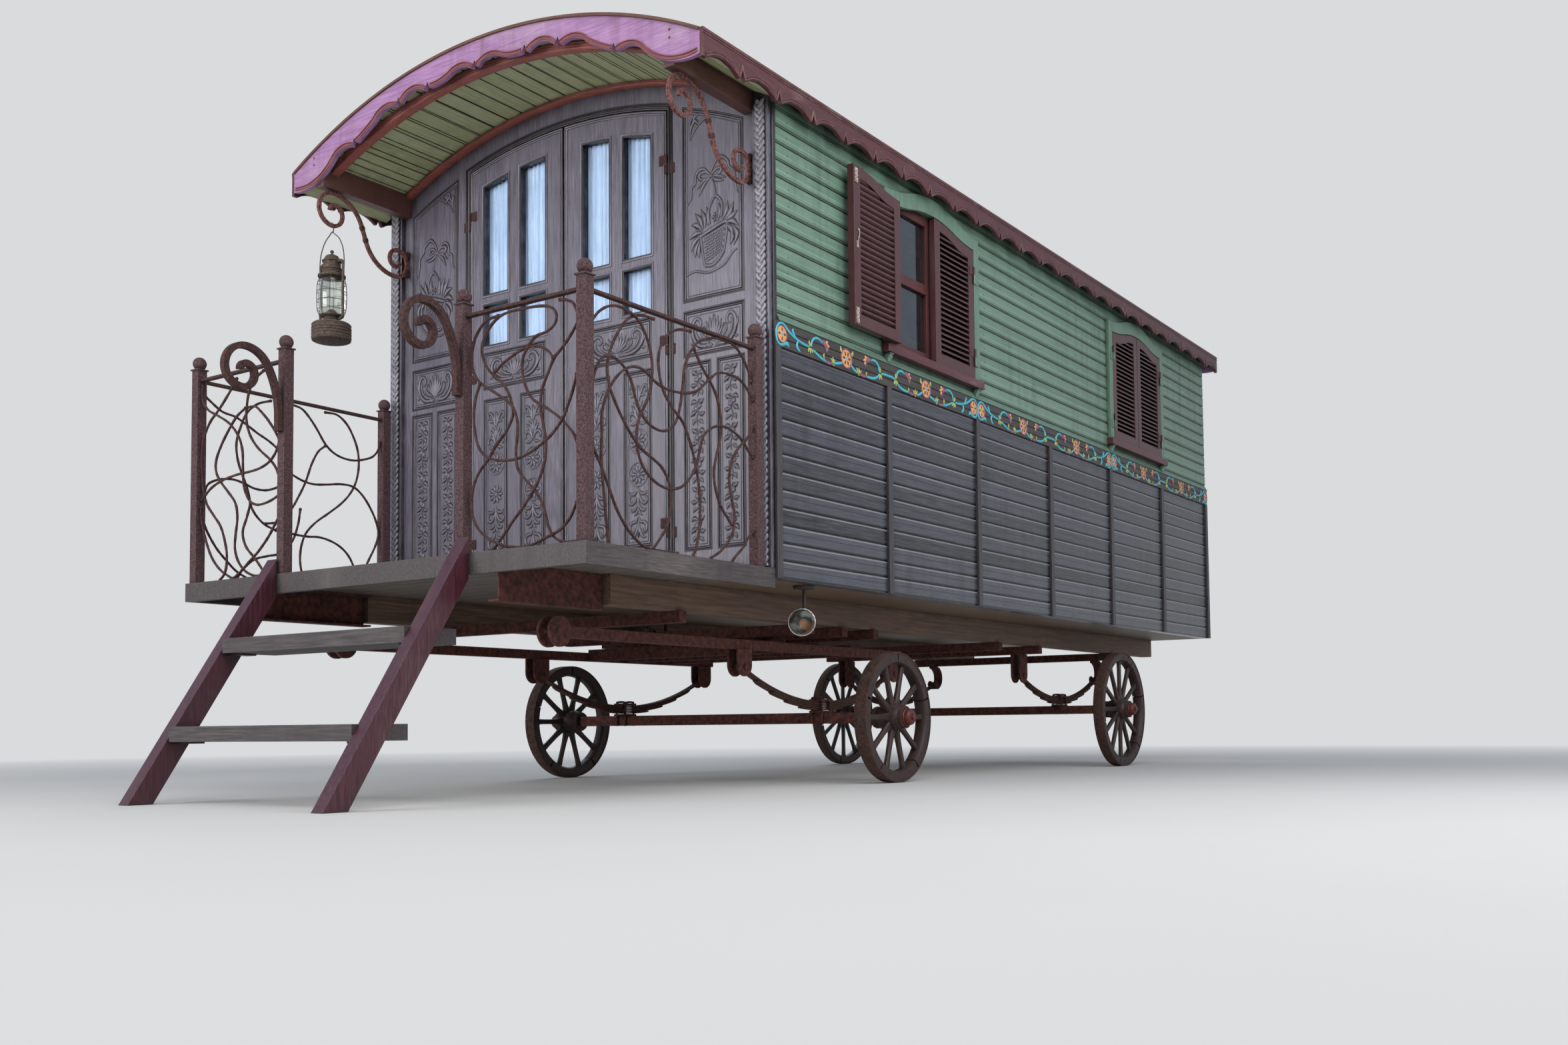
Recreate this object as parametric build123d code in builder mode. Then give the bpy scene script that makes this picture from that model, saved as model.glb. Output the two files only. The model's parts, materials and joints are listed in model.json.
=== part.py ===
from build123d import *
import os
from math import atan, cos, degrees, radians, sin, sqrt, tan

# A show wagon: a boarded house with a bowed roof, a porch and stairs, on two leaf-sprung axles.
# X is the width, -Y is the porch end, Z is up from the ground, and all sizes are in millimetres.
# Places along the wagon are measured back from the outer face of its front wall.

# Fits and gaps
seat_gap = 0.3
running_gap = 0.3
leaf_edge_gap = 5.0
leaf_meeting_gap = 8.0

# House
house_length = 5600.0
house_width = 2400.0
wall_base_z = 900.0
wall_thickness = 60.0
floor_thickness = 40.0
board_pitch = 76.0
lower_board_count = 13
upper_board_pitch = 74.0
upper_first_joint = 37.0
groove_height = 7.0
groove_depth = 5.0
frieze_height = 109.0
frieze_thickness = 12.0
frieze_board_count = 3
frieze_joint = 4.0
frieze_joint_depth = 4.0
batten_count = 7
batten_width = 40.0
batten_thickness = 14.0
corner_post_width = 80.0
corner_post_proud = 20.0

# Roof and canopy
roof_apex_z = 3330.0
roof_radius = 2672.0
roof_thickness = 62.0
eave_overhang = 58.0
canopy_reach = 570.0
rear_overhang = 120.0
soffit_thickness = 15.0
soffit_board_count = 25
soffit_groove_width = 7.0
soffit_groove_depth = 5.0
fascia_thickness = 20.0
fascia_notch_half = 18.0
fascia_tail_depth = 93.0
# The notches of a fascia's lower edge: place across, depth at the point and depth at its lips.
# Places are hundredths of half the roof's width, and depths are below the fascia's upper edge.
fascia_notches = (
    (0.0, 98.0, 134.0),
    (24.3, 96.0, 132.0),
    (39.8, 86.0, 122.0),
    (64.6, 120.0, 150.0),
)
# The edge from each notch to the next: one crest, or a crest, the middle of the slope and a belly.
fascia_waves = (
    ((6.8, 106.0), (12.4, 119.0), (18.3, 134.0)),
    ((32.0, 97.0),),
    ((46.5, 98.0), (52.9, 119.0), (59.3, 142.0)),
    ((70.0, 126.0), (77.2, 137.0), (86.6, 156.0)),
)
valance_thickness = 17.0
valance_depth = 118.0
valance_arch_pitch = 262.0
valance_arch_rise = 34.0
valance_notch_half = 17.0
valance_notch_rise = 42.0
valance_lip = 8.0
rib_width = 40.0
wall_rib_depth = 18.0
front_rib_depth = 38.0
front_rib_setback = 50.0
canopy_beam_x = 1088.0
canopy_beam_width = 54.0
canopy_beam_bottom_z = 2915.0
scroll_bar_width = 18.0
scroll_bar_thickness = 14.0
scroll_low_z = 2591.0
scroll_turn = 69.0
scroll_wall_loop = 78.0
scroll_sweeps = (196.0, 183.0)
scroll_inner_loops = (62.0, 50.0, 38.0, 26.0)
scroll_outer_loops = (85.0, 78.0, 60.0, 45.0, 30.0)

# Doors and front panels
door_apex_z = 3128.0
door_half_width = 628.0
door_thickness = 40.0
door_bottom_gap = 10.0
door_pivot_proud = 6.0
knuckle_radius = 5.5
knuckle_length = 45.0
hinge_plate_width = 44.0
hinge_plate_thickness = 3.0
door_hinge_heights = (260.0, 1080.0, 1900.0)
pane_edges = ((117.0, 287.0), (367.0, 537.0))
lower_pane_bottom = 1255.0
lower_pane_top = 1462.0
upper_pane_bottom = 1510.0
arch_rail_height = 110.0
glass_thickness = 4.0
mid_panel_edges = (125.0, 529.0)
mid_panel_bottom = 1045.0
mid_panel_top = 1217.0
low_panel_edges = ((125.0, 281.0), (373.0, 529.0))
low_panel_bottom = 190.0
low_panel_top = 985.0
panel_recess = 9.0
panel_margin = 12.0
panel_raise = 6.0
curtain_thickness = 16.0
curtain_margin = 14.0
side_panel_edges = (722.0, 1046.0)
side_low_edges = ((722.0, 863.0), (905.0, 1046.0))
side_low_bottom = 153.0
side_low_top = 974.0
side_small_bottom = 1010.0
side_small_top = 1206.0
side_tall_bottom = 1256.0
side_top_rail = 97.0

# Windows and shutters
first_window_place = 1400.0
window_spacing = 2800.0
window_width = 860.0
window_sill_height = 1190.0
window_head_height = 1890.0
window_head_rise = 52.0
casing_width = 58.0
casing_thickness = 22.0
casing_head_depth = 62.0
casing_crest_rise = 22.0
sill_height = 40.0
sill_horn = 12.0
sill_proud = 40.0
sash_thickness = 36.0
sash_setback = 17.0
sash_bar = 50.0
shutter_thickness = 34.0
shutter_border = 54.0
shutter_pivot_proud = 6.0
open_leaf = "shutter_right_1_front"
open_leaf_turn = 180.0
shutter_hinge_heights = (120.0, 560.0)
slat_count = 22
slat_thickness = 7.0
slat_width = 46.0
slat_tilt = 40.0
rear_window_width = 620.0

# Porch
deck_depth = 1135.0
deck_top_z = 940.0
deck_board_count = 10
deck_board_gap = 5.0
deck_fascia_height = 82.0
deck_fascia_thickness = 30.0
post_side = 45.0
post_height = 962.0
post_cap_side = 56.0
post_cap_thickness = 6.0
post_ball_radius = 30.0
post_edge_inset = 12.0
stair_post_x = 543.0
wall_post_setback = 85.0
rail_bar_height = 14.0
rail_bar_width = 25.0
rail_top_height = 925.0
tendril_width = 12.0
tendril_bend_share = 0.45
handrail_bar = 26.0
handrail_foot_height = 605.0
handrail_rise = 60.0
handrail_bends = (
    (420.0, 30.0),
    (125.0, 60.0),
    (95.0, 90.0),
    (80.0, 90.0),
    (60.0, 90.0),
    (42.0, 90.0),
    (25.0, 100.0),
)

# Stairs
stringer_x = 578.0
stringer_width = 62.0
stringer_depth = 88.0
stringer_head_height = 62.0
stringer_slope = 57.0
tread_tops = (300.0, 655.0)
tread_depth = 250.0
tread_thickness = 60.0
tread_lip = 28.0
bracket_thickness = 8.0
bracket_length = 60.0
bracket_depth = 90.0

# Chassis
beam_x = 740.0
beam_width = 80.0
beam_height = 125.0
beam_front = -560.0
beam_rear = 5540.0
channel_height = 146.0
channel_width = 60.0
channel_thickness = 8.0
member_side = 50.0
member_half_length = 800.0
member_places = (-120.0, 880.0, 1180.0, 1480.0, 2940.0, 3510.0, 4750.0)
ring_radius = 350.0
ring_width = 60.0
ring_thickness = 12.0
king_pin_radius = 14.0

# Running gear
front_axle_y = 1180.0
rear_axle_y = 4130.0
front_wheel_radius = 318.0
rear_wheel_radius = 372.0
front_spoke_count = 10
rear_spoke_count = 12
wheel_x = 1075.0
rim_width = 66.0
rim_depth = 56.0
nave_radius = 64.0
nave_end_radius = 50.0
nave_inner_length = 105.0
nave_outer_length = 70.0
hub_cap_radius = 42.0
hub_cap_length = 38.0
hub_nut_radius = 17.0
hub_nut_length = 10.0
spoke_width = 40.0
spoke_thickness = 30.0
axle_side = 55.0
axle_shoulder = 957.0
spindle_radius = 22.0
spindle_length = 165.0
bolster_places = (880.0, 1180.0, 1480.0)
side_bar_x = 650.0
side_bar_side = 45.0
side_bar_drop = 16.0
side_bar_front = -750.0
side_bar_rear = 1960.0
spring_width = 44.0
spring_leaf_thickness = 9.0
spring_leaf_count = 5
spring_eye_radius = 18.0
spring_pin_radius = 10.0
front_spring_half_length = 690.0
front_spring_eye_z = 560.0
rear_spring_half_length = 620.0
rear_spring_eye_z = 590.0
clamp_length = 110.0
clamp_thickness = 12.0
hanger_width = 110.0
hanger_thickness = 10.0
scroll_iron_radius = 86.0
drawbar_plate_radius = 62.0
drawbar_plate_thickness = 14.0
drawbar_bore_radius = 11.0

# Lamps and lantern
lamp_mounts = (
    ((1150.0, 270.0, 730.0), (0.45, -0.85)),
    ((-615.0, 1328.0, 790.0), (-0.9, -0.43)),
)
lamp_radius = 60.0
lamp_depth = 80.0
lamp_socket_radius = 24.0
lamp_socket_length = 60.0
lamp_stem_side = 20.0
lantern_cap_z = 2600.0
lantern_glass_top_z = 2484.0
lantern_glass_bottom_z = 2296.0
lantern_base_z = 2169.0
lantern_base_top_z = 2260.0
lantern_base_radius = 95.0
lantern_neck_radius = 40.0
lantern_glass_radius = 62.0
lantern_cap_radius = 66.0
lantern_tube_radius = 8.0
lantern_tube_x = 84.0
lantern_rod_radius = 5.0

# Worked-out places
half_width = house_width / 2
inner_half_width = half_width - wall_thickness
roof_half_width = half_width + eave_overhang
deck_bottom_z = deck_top_z - floor_thickness
roof_centre_z = roof_apex_z - roof_radius
roof_inner_radius = roof_radius - roof_thickness
soffit_radius = roof_inner_radius - soffit_thickness
roof_front_y = -canopy_reach + fascia_thickness
roof_rear_y = house_length + rear_overhang - fascia_thickness
frieze_z = wall_base_z + lower_board_count * board_pitch
upper_wall_z = frieze_z + frieze_height
deck_front = -(deck_depth + deck_fascia_thickness)
stringer_head_z = deck_top_z + stringer_head_height
stair_reach = -deck_front + stringer_head_z / tan(radians(stringer_slope))
front_wall_y = (stair_reach - house_length - rear_overhang) / 2
door_arch_radius = door_apex_z - roof_centre_z
side_tall_top_radius = soffit_radius - wall_rib_depth - side_top_rail
door_opening_half = door_half_width + leaf_edge_gap
beam_bottom_z = wall_base_z - beam_height
ring_top_z = beam_bottom_z - member_side
lower_ring_top_z = ring_top_z - ring_thickness - running_gap
bolster_top_z = lower_ring_top_z - ring_thickness
side_bar_top_z = bolster_top_z - side_bar_drop
side_bar_bottom_z = side_bar_top_z - side_bar_side
corner_post_x = half_width - 5 - corner_post_width / 2
rail_post_x = half_width - post_edge_inset - post_side / 2
front_post_y = deck_front + post_edge_inset + post_side / 2
window_sill_z = wall_base_z + window_sill_height
window_head_z = wall_base_z + window_head_height
window_top_z = window_head_z + window_head_rise
window_centres = (first_window_place, first_window_place + window_spacing)

os.makedirs("parts", exist_ok=True)


def front_plane(y):
    """Faces the porch: local x is the width and local y is the height."""
    return Plane(origin=(0, front_wall_y + y, 0), x_dir=(1, 0, 0), z_dir=(0, -1, 0))


def side_plane(x):
    """Faces the right-hand side: local x runs back from the front wall and local y is the height."""
    return Plane(origin=(x, front_wall_y, 0), x_dir=(0, 1, 0), z_dir=(1, 0, 0))


def level_plane(z):
    """Faces up: local x is the width and local y runs back from the front wall."""
    return Plane(origin=(0, front_wall_y, z))


def box_between(corner, opposite, mode=Mode.ADD):
    """A square-cornered solid between two corners, y measured back from the front wall."""
    centre = [(a + b) / 2 for a, b in zip(corner, opposite)]
    size = [abs(b - a) for a, b in zip(corner, opposite)]
    with Locations((centre[0], front_wall_y + centre[1], centre[2])):
        Box(*size, mode=mode)


def rectangle_between(left, right, bottom, top, mode=Mode.ADD):
    """A rectangle of the sketch being built, given by its four edges."""
    with Locations(((left + right) / 2, (bottom + top) / 2)):
        Rectangle(right - left, top - bottom, mode=mode)


def save(part, name):
    part.label = name
    export_step(part, f"parts/{name}.step")


def under_roof(radius):
    """Trims the sketch being built to what lies below the bow of this radius."""
    with Locations((0, roof_centre_z)):
        Circle(radius, mode=Mode.INTERSECT)


def roof_band(inner, outer, half):
    """Adds a band of the roof's bow, between two radii, to the sketch being built."""
    with Locations((0, roof_centre_z)):
        Circle(outer)
        Circle(inner, mode=Mode.SUBTRACT)
    with Locations((0, roof_apex_z)):
        Rectangle(2 * half, roof_radius, mode=Mode.INTERSECT)


def bend_line(start, heading, bends):
    """Adds tangent arcs to the line being built; each bend is a radius and a turn, left if above zero."""
    direction = Vector(1, 0).rotate(Axis.Z, heading)
    point = Vector(*start)
    for radius, turn in bends:
        arc = JernArc(start=point, tangent=direction, radius=radius, arc_size=turn)
        point = arc @ 1
        direction = arc % 1
    return point, direction


# Floor
with BuildPart() as floor:
    box_between(
        (-inner_half_width, 0, wall_base_z),
        (inner_half_width, house_length, wall_base_z + floor_thickness),
    )
save(floor.part, "floor")

# Side walls, boarded in two heights, with window openings
lower_joints = [wall_base_z + board_pitch * i for i in range(1, lower_board_count)]
upper_joint_count = int((roof_apex_z - upper_wall_z) / upper_board_pitch)
upper_joints = [
    upper_wall_z + upper_first_joint + upper_board_pitch * i for i in range(upper_joint_count)
]

with BuildPart() as lower_walls:
    with BuildSketch(front_plane(0)):
        rectangle_between(inner_half_width, half_width, wall_base_z, upper_wall_z)
        with Locations([(half_width, z) for z in lower_joints]):
            Rectangle(2 * groove_depth, groove_height, mode=Mode.SUBTRACT)
    extrude(amount=-house_length)
    mirror(about=Plane.YZ)
save(lower_walls.part, "lower_walls")

with BuildPart() as upper_walls:
    with BuildSketch(front_plane(0)):
        rectangle_between(inner_half_width, half_width, upper_wall_z, roof_apex_z)
        with Locations([(half_width, z) for z in upper_joints]):
            Rectangle(2 * groove_depth, groove_height, mode=Mode.SUBTRACT)
        under_roof(roof_inner_radius - seat_gap)
    extrude(amount=-house_length)
    with BuildSketch(side_plane(half_width)):
        with Locations([(y, (window_sill_z + window_top_z) / 2) for y in window_centres]):
            Rectangle(window_width, window_top_z - window_sill_z)
    extrude(amount=-wall_thickness, mode=Mode.SUBTRACT)
    mirror(about=Plane.YZ)
save(upper_walls.part, "upper_walls")

# Rear wall, between the side walls, with one small fixed window
with BuildPart() as rear_wall:
    with BuildSketch(front_plane(house_length - wall_thickness)):
        rectangle_between(-inner_half_width, inner_half_width, deck_top_z, roof_apex_z)
        under_roof(roof_inner_radius - seat_gap)
        rectangle_between(
            -rear_window_width / 2,
            rear_window_width / 2,
            window_sill_z,
            window_head_z,
            mode=Mode.SUBTRACT,
        )
    extrude(amount=-wall_thickness)
    with BuildSketch(front_plane(house_length)):
        with Locations([(0, z) for z in lower_joints[1:] + upper_joints]):
            Rectangle(2 * inner_half_width, groove_height)
    extrude(amount=groove_depth, mode=Mode.SUBTRACT)
save(rear_wall.part, "rear_wall")


# Front wall: a fixed panelled frame each side of the arched door opening
def side_panel_outline(inset):
    """Adds the outlines of the fixed front panels, both sides, to the sketch being built."""
    left, right = side_panel_edges
    rectangle_between(
        left + inset, right - inset, wall_base_z + side_tall_bottom + inset, roof_apex_z
    )
    under_roof(side_tall_top_radius - inset)
    rectangle_between(
        left + inset,
        right - inset,
        wall_base_z + side_small_bottom + inset,
        wall_base_z + side_small_top - inset,
    )
    for low_left, low_right in side_low_edges:
        rectangle_between(
            low_left + inset,
            low_right - inset,
            wall_base_z + side_low_bottom + inset,
            wall_base_z + side_low_top - inset,
        )
    mirror(about=Plane.YZ)


with BuildPart() as front_wall:
    with BuildSketch(front_plane(0)):
        rectangle_between(-inner_half_width, inner_half_width, deck_top_z, roof_apex_z)
        under_roof(roof_inner_radius - seat_gap)
    extrude(amount=-wall_thickness)
    with BuildSketch(front_plane(0)):
        rectangle_between(-door_opening_half, door_opening_half, deck_top_z, roof_apex_z)
        under_roof(door_arch_radius + leaf_edge_gap)
    extrude(amount=-wall_thickness, mode=Mode.SUBTRACT)
    with BuildSketch(front_plane(0)):
        side_panel_outline(0)
    extrude(amount=-panel_recess, mode=Mode.SUBTRACT)
    for sign in (-1, 1):
        for height in door_hinge_heights:
            z = wall_base_z + height
            with Locations((sign * door_half_width, front_wall_y - door_pivot_proud, z)):
                Cylinder(
                    knuckle_radius,
                    knuckle_length,
                    align=(Align.CENTER, Align.CENTER, Align.MAX),
                )
            box_between(
                (sign * door_half_width, -hinge_plate_thickness, z - knuckle_length),
                (sign * (door_half_width + hinge_plate_width), 0, z),
            )
save(front_wall.part, "front_wall")

with BuildPart() as side_panels:
    with BuildSketch(front_plane(panel_recess)):
        side_panel_outline(panel_margin)
    extrude(amount=panel_raise)
save(side_panels.part, "side_panels")

# Roof, its boarded soffit over the porch, and its trim
with BuildPart() as roof:
    with BuildSketch(front_plane(roof_front_y)):
        roof_band(roof_inner_radius, roof_radius, roof_half_width)
    extrude(amount=-(roof_rear_y - roof_front_y))
save(roof.part, "roof")

soffit_board_angle = 2 * degrees(atan(roof_half_width / soffit_radius)) / soffit_board_count
with BuildPart() as soffit:
    with BuildSketch(front_plane(roof_front_y)):
        roof_band(soffit_radius, roof_inner_radius - seat_gap, roof_half_width)
        with Locations((0, roof_centre_z)):
            with PolarLocations(
                soffit_radius,
                soffit_board_count - 1,
                start_angle=90 - soffit_board_angle * (soffit_board_count / 2 - 1),
                angular_range=soffit_board_angle * (soffit_board_count - 2),
                endpoint=True,
            ):
                Rectangle(2 * soffit_groove_depth, soffit_groove_width, mode=Mode.SUBTRACT)
    extrude(amount=roof_front_y)
save(soffit.part, "soffit")

fascia_radius = roof_radius + 4


def below_fascia_top(share, depth):
    """The point of the fascia this far across, in hundredths, and this deep below its upper edge."""
    x = roof_half_width * share / 100
    return (x, roof_centre_z + sqrt((fascia_radius - depth) ** 2 - x**2))


with BuildPart() as fascias:
    for face in (-canopy_reach, house_length + rear_overhang - fascia_thickness):
        with BuildSketch(front_plane(face)):
            with BuildLine():
                notch_share = 100 * fascia_notch_half / roof_half_width
                ends = [(share - notch_share, lips) for share, _, lips in fascia_notches[1:]]
                ends.append((100, fascia_tail_depth))
                for (share, point_depth, lips), wave, end in zip(fascia_notches, fascia_waves, ends):
                    point = below_fascia_top(share, point_depth)
                    lip = below_fascia_top(share + notch_share, lips)
                    next_lip = below_fascia_top(*end)
                    if share > 0:
                        Line(below_fascia_top(share - notch_share, lips), point)
                    Line(point, lip)
                    if len(wave) == 1:
                        ThreePointArc(lip, below_fascia_top(*wave[0]), next_lip)
                    else:
                        crest, slope, belly = [below_fascia_top(*place) for place in wave]
                        ThreePointArc(lip, crest, slope)
                        ThreePointArc(slope, belly, next_lip)
                Line(next_lip, below_fascia_top(100, 0))
                ThreePointArc(
                    below_fascia_top(100, 0), below_fascia_top(50, 0), below_fascia_top(0, 0)
                )
                Line(below_fascia_top(0, 0), below_fascia_top(0, fascia_notches[0][1]))
            make_face()
            mirror(about=Plane.YZ)
        extrude(amount=-fascia_thickness)
save(fascias.part, "fascias")

roof_edge_z = roof_centre_z + sqrt(roof_radius**2 - roof_half_width**2)
valance_top_z = roof_edge_z + 3
valance_bottom_z = valance_top_z - valance_depth
valance_length = house_length + rear_overhang + canopy_reach
valance_arch_count = round(valance_length / valance_arch_pitch)
valance_step = valance_length / valance_arch_count
arch_half = valance_step / 2 - valance_notch_half - valance_lip
arch_radius = (arch_half**2 + valance_arch_rise**2) / (2 * valance_arch_rise)
with BuildPart() as eave_valances:
    with BuildSketch(side_plane(roof_half_width)):
        rectangle_between(
            -canopy_reach, house_length + rear_overhang, valance_bottom_z, valance_top_z
        )
        with Locations(
            [
                (
                    -canopy_reach + valance_step * (i + 0.5),
                    valance_bottom_z + valance_arch_rise - arch_radius,
                )
                for i in range(valance_arch_count)
            ]
        ):
            Circle(arch_radius, mode=Mode.SUBTRACT)
        with Locations(
            [
                (-canopy_reach + valance_step * i, valance_bottom_z)
                for i in range(1, valance_arch_count)
            ]
        ):
            Polygon(
                (-valance_notch_half, 0),
                (valance_notch_half, 0),
                (0, valance_notch_rise),
                align=None,
                mode=Mode.SUBTRACT,
            )
    extrude(amount=valance_thickness)
    mirror(about=Plane.YZ)
save(eave_valances.part, "eave_valances")

# Canopy beams and ribs under the soffit
front_rib_y = roof_front_y + front_rib_setback
with BuildPart() as canopy_frame:
    with BuildSketch(front_plane(roof_front_y)):
        for sign in (-1, 1):
            with Locations((sign * canopy_beam_x, (canopy_beam_bottom_z + roof_apex_z) / 2)):
                Rectangle(canopy_beam_width, roof_apex_z - canopy_beam_bottom_z)
        under_roof(soffit_radius - seat_gap)
    extrude(amount=roof_front_y)
    for rib_y, rib_depth in ((front_rib_y, front_rib_depth), (-rib_width, wall_rib_depth)):
        with BuildSketch(front_plane(rib_y)):
            roof_band(soffit_radius - rib_depth, soffit_radius - seat_gap, canopy_beam_x)
        extrude(amount=-rib_width)
save(canopy_frame.part, "canopy_frame")

# Scrolled iron brackets from the wall up to the canopy beams
turn_rise = 1 - cos(radians(scroll_turn))
scroll_run = (
    canopy_beam_bottom_z - scroll_bar_width / 2 - scroll_low_z - sum(scroll_sweeps) * turn_rise
) / sin(radians(scroll_turn))
with BuildPart() as scroll_brackets:
    with BuildSketch(side_plane(canopy_beam_x)):
        with BuildLine() as scroll_line:
            wall_point = (-scroll_bar_width / 2, scroll_low_z + scroll_wall_loop)
            point, direction = bend_line(
                wall_point, 270, ((scroll_wall_loop, -90), (scroll_sweeps[0], -scroll_turn))
            )
            stem = Line(point, point + direction * scroll_run)
            scroll_top, direction = bend_line(
                tuple(stem @ 1)[:2], 180 - scroll_turn, ((scroll_sweeps[1], scroll_turn),)
            )
            bend_line(
                tuple(scroll_top)[:2], 180, [(radius, 90) for radius in scroll_outer_loops]
            )
        trace(line_width=scroll_bar_width)
    extrude(amount=scroll_bar_thickness / 2, both=True)
    with BuildSketch(side_plane(canopy_beam_x)):
        with BuildLine():
            bend_line(wall_point, 90, [(radius, 90) for radius in scroll_inner_loops])
        trace(line_width=scroll_bar_width)
    extrude(amount=scroll_bar_thickness / 2, both=True)
    mirror(about=Plane.YZ)
save(scroll_brackets.part, "scroll_brackets")

# Lantern hanging from the left-hand bracket
lantern_y = scroll_top.X - scroll_outer_loops[0] + scroll_outer_loops[1]
lantern_hook_z = scroll_top.Y - scroll_outer_loops[0] - scroll_outer_loops[1] - scroll_bar_width / 2
lantern_place = (-canopy_beam_x, front_wall_y + lantern_y)


def upright_drum(radius, bottom, top, mode=Mode.ADD):
    """A drum of the lantern, standing between two heights."""
    with Locations((*lantern_place, (bottom + top) / 2)):
        Cylinder(radius, top - bottom, mode=mode)


with BuildPart() as lantern_frame:
    upright_drum(lantern_base_radius, lantern_base_z, lantern_base_top_z)
    upright_drum(lantern_neck_radius, lantern_base_top_z, lantern_glass_bottom_z)
    upright_drum(lantern_cap_radius, lantern_glass_top_z, lantern_glass_top_z + 20)
    upright_drum(lantern_neck_radius, lantern_glass_top_z + 20, lantern_cap_z)
    upright_drum(lantern_rod_radius, lantern_cap_z, lantern_hook_z)
    for sign in (-1, 1):
        with Locations(
            (
                lantern_place[0] + sign * lantern_tube_x,
                lantern_place[1],
                (lantern_base_top_z + lantern_cap_z) / 2,
            )
        ):
            Cylinder(lantern_tube_radius, lantern_cap_z - lantern_base_top_z)
    with Locations((*lantern_place, lantern_cap_z - lantern_tube_radius)):
        Box(2 * lantern_tube_x, 2 * lantern_tube_radius, 2 * lantern_tube_radius)
save(lantern_frame.part, "lantern_frame")

with BuildPart() as lantern_glass:
    upright_drum(lantern_glass_radius, lantern_glass_bottom_z, lantern_glass_top_z)
save(lantern_glass.part, "lantern_glass")

# Trim of the walls
with BuildPart() as corner_posts:
    with BuildSketch(front_plane(0)):
        for sign in (-1, 1):
            with Locations((sign * corner_post_x, (deck_top_z + roof_apex_z) / 2)):
                Rectangle(corner_post_width, roof_apex_z - deck_top_z)
        under_roof(soffit_radius - seat_gap)
    extrude(amount=corner_post_proud)
save(corner_posts.part, "corner_posts")

batten_step = (house_length - batten_width) / (batten_count - 1)
with BuildPart() as battens:
    for i in range(batten_count):
        box_between(
            (half_width, batten_step * i, wall_base_z),
            (half_width + batten_thickness, batten_step * i + batten_width, frieze_z),
        )
    mirror(about=Plane.YZ)
save(battens.part, "battens")

frieze_board_height = frieze_height / frieze_board_count
with BuildPart() as frieze:
    with BuildSketch(front_plane(0)):
        rectangle_between(half_width, half_width + frieze_thickness, frieze_z, upper_wall_z)
        with Locations(
            [
                (half_width + frieze_thickness, frieze_z + frieze_board_height * i)
                for i in range(1, frieze_board_count)
            ]
        ):
            Rectangle(2 * frieze_joint_depth, frieze_joint, mode=Mode.SUBTRACT)
    extrude(amount=-house_length)
    mirror(about=Plane.YZ)
save(frieze.part, "frieze")

# Windows: casings and sills outside, sashes and glass in the wall's thickness
casing_half = window_width / 2 + casing_width
casing_face_x = half_width + casing_thickness
leaf_right = window_width / 2 - leaf_edge_gap


def ogee_outline(left, right, bottom, low_top, high_top):
    """Adds a face with an S-curved top, from the high left end down to the low right end."""
    span = right - left
    rise = high_top - low_top
    turn = 2 * degrees(atan(rise / span))
    radius = (span**2 + rise**2) / (4 * rise)
    with BuildLine() as outline:
        Line((left, high_top), (left, bottom))
        Line((left, bottom), (right, bottom))
        Line((right, bottom), (right, low_top))
        bend_line((right, low_top), 180, ((radius, -turn), (radius, turn)))
    make_face(outline.edges())


with BuildPart() as one_casing:
    for sign in (-1, 1):
        box_between(
            (half_width, sign * window_width / 2, window_sill_z),
            (casing_face_x, sign * casing_half, window_head_z - seat_gap),
        )
    with BuildSketch(side_plane(half_width)) as casing_head:
        ogee_outline(
            seat_gap / 2,
            casing_half,
            window_head_z,
            window_head_z + casing_head_depth,
            window_top_z + casing_head_depth + casing_crest_rise,
        )
        with BuildSketch(mode=Mode.SUBTRACT):
            ogee_outline(0, window_width / 2, window_sill_z, window_head_z, window_top_z)
        mirror(about=Plane.YZ)
    extrude(amount=casing_thickness)
    for place in shutter_hinge_heights:
        for sign in (-1, 1):
            z = window_sill_z + place
            with Locations(
                (casing_face_x + shutter_pivot_proud, front_wall_y + sign * leaf_right, z)
            ):
                Cylinder(
                    knuckle_radius,
                    knuckle_length,
                    align=(Align.CENTER, Align.CENTER, Align.MAX),
                )
            box_between(
                (casing_face_x, sign * leaf_right, z - knuckle_length),
                (
                    casing_face_x + hinge_plate_thickness,
                    sign * (leaf_right + hinge_plate_width),
                    z,
                ),
            )

rear_casing_half = rear_window_width / 2 + casing_width
with BuildPart() as window_casings:
    with Locations([(0, centre, 0) for centre in window_centres]):
        add(one_casing.part)
    mirror(about=Plane.YZ)
    for sign in (-1, 1):
        box_between(
            (sign * rear_window_width / 2, house_length, window_sill_z),
            (sign * rear_casing_half, house_length + casing_thickness, window_head_z - seat_gap),
        )
    box_between(
        (-rear_casing_half, house_length, window_head_z),
        (rear_casing_half, house_length + casing_thickness, window_head_z + casing_width),
    )
save(window_casings.part, "window_casings")

with BuildPart() as window_sills:
    for centre in window_centres:
        box_between(
            (half_width, centre - casing_half - sill_horn, window_sill_z - sill_height),
            (half_width + sill_proud, centre + casing_half + sill_horn, window_sill_z),
        )
    mirror(about=Plane.YZ)
    box_between(
        (-rear_casing_half - sill_horn, house_length, window_sill_z - sill_height),
        (rear_casing_half + sill_horn, house_length + sill_proud, window_sill_z),
    )
save(window_sills.part, "window_sills")


def window_panes(centre, width, bottom, top):
    """Adds four panes, two high and two wide, that fill a sash's openings."""
    pane_width = (width - 3 * sash_bar) / 2
    pane_height = (top - bottom - 3 * sash_bar) / 2
    with Locations((centre, (bottom + top) / 2)):
        with GridLocations(pane_width + sash_bar, pane_height + sash_bar, 2, 2):
            Rectangle(pane_width, pane_height)


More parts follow.
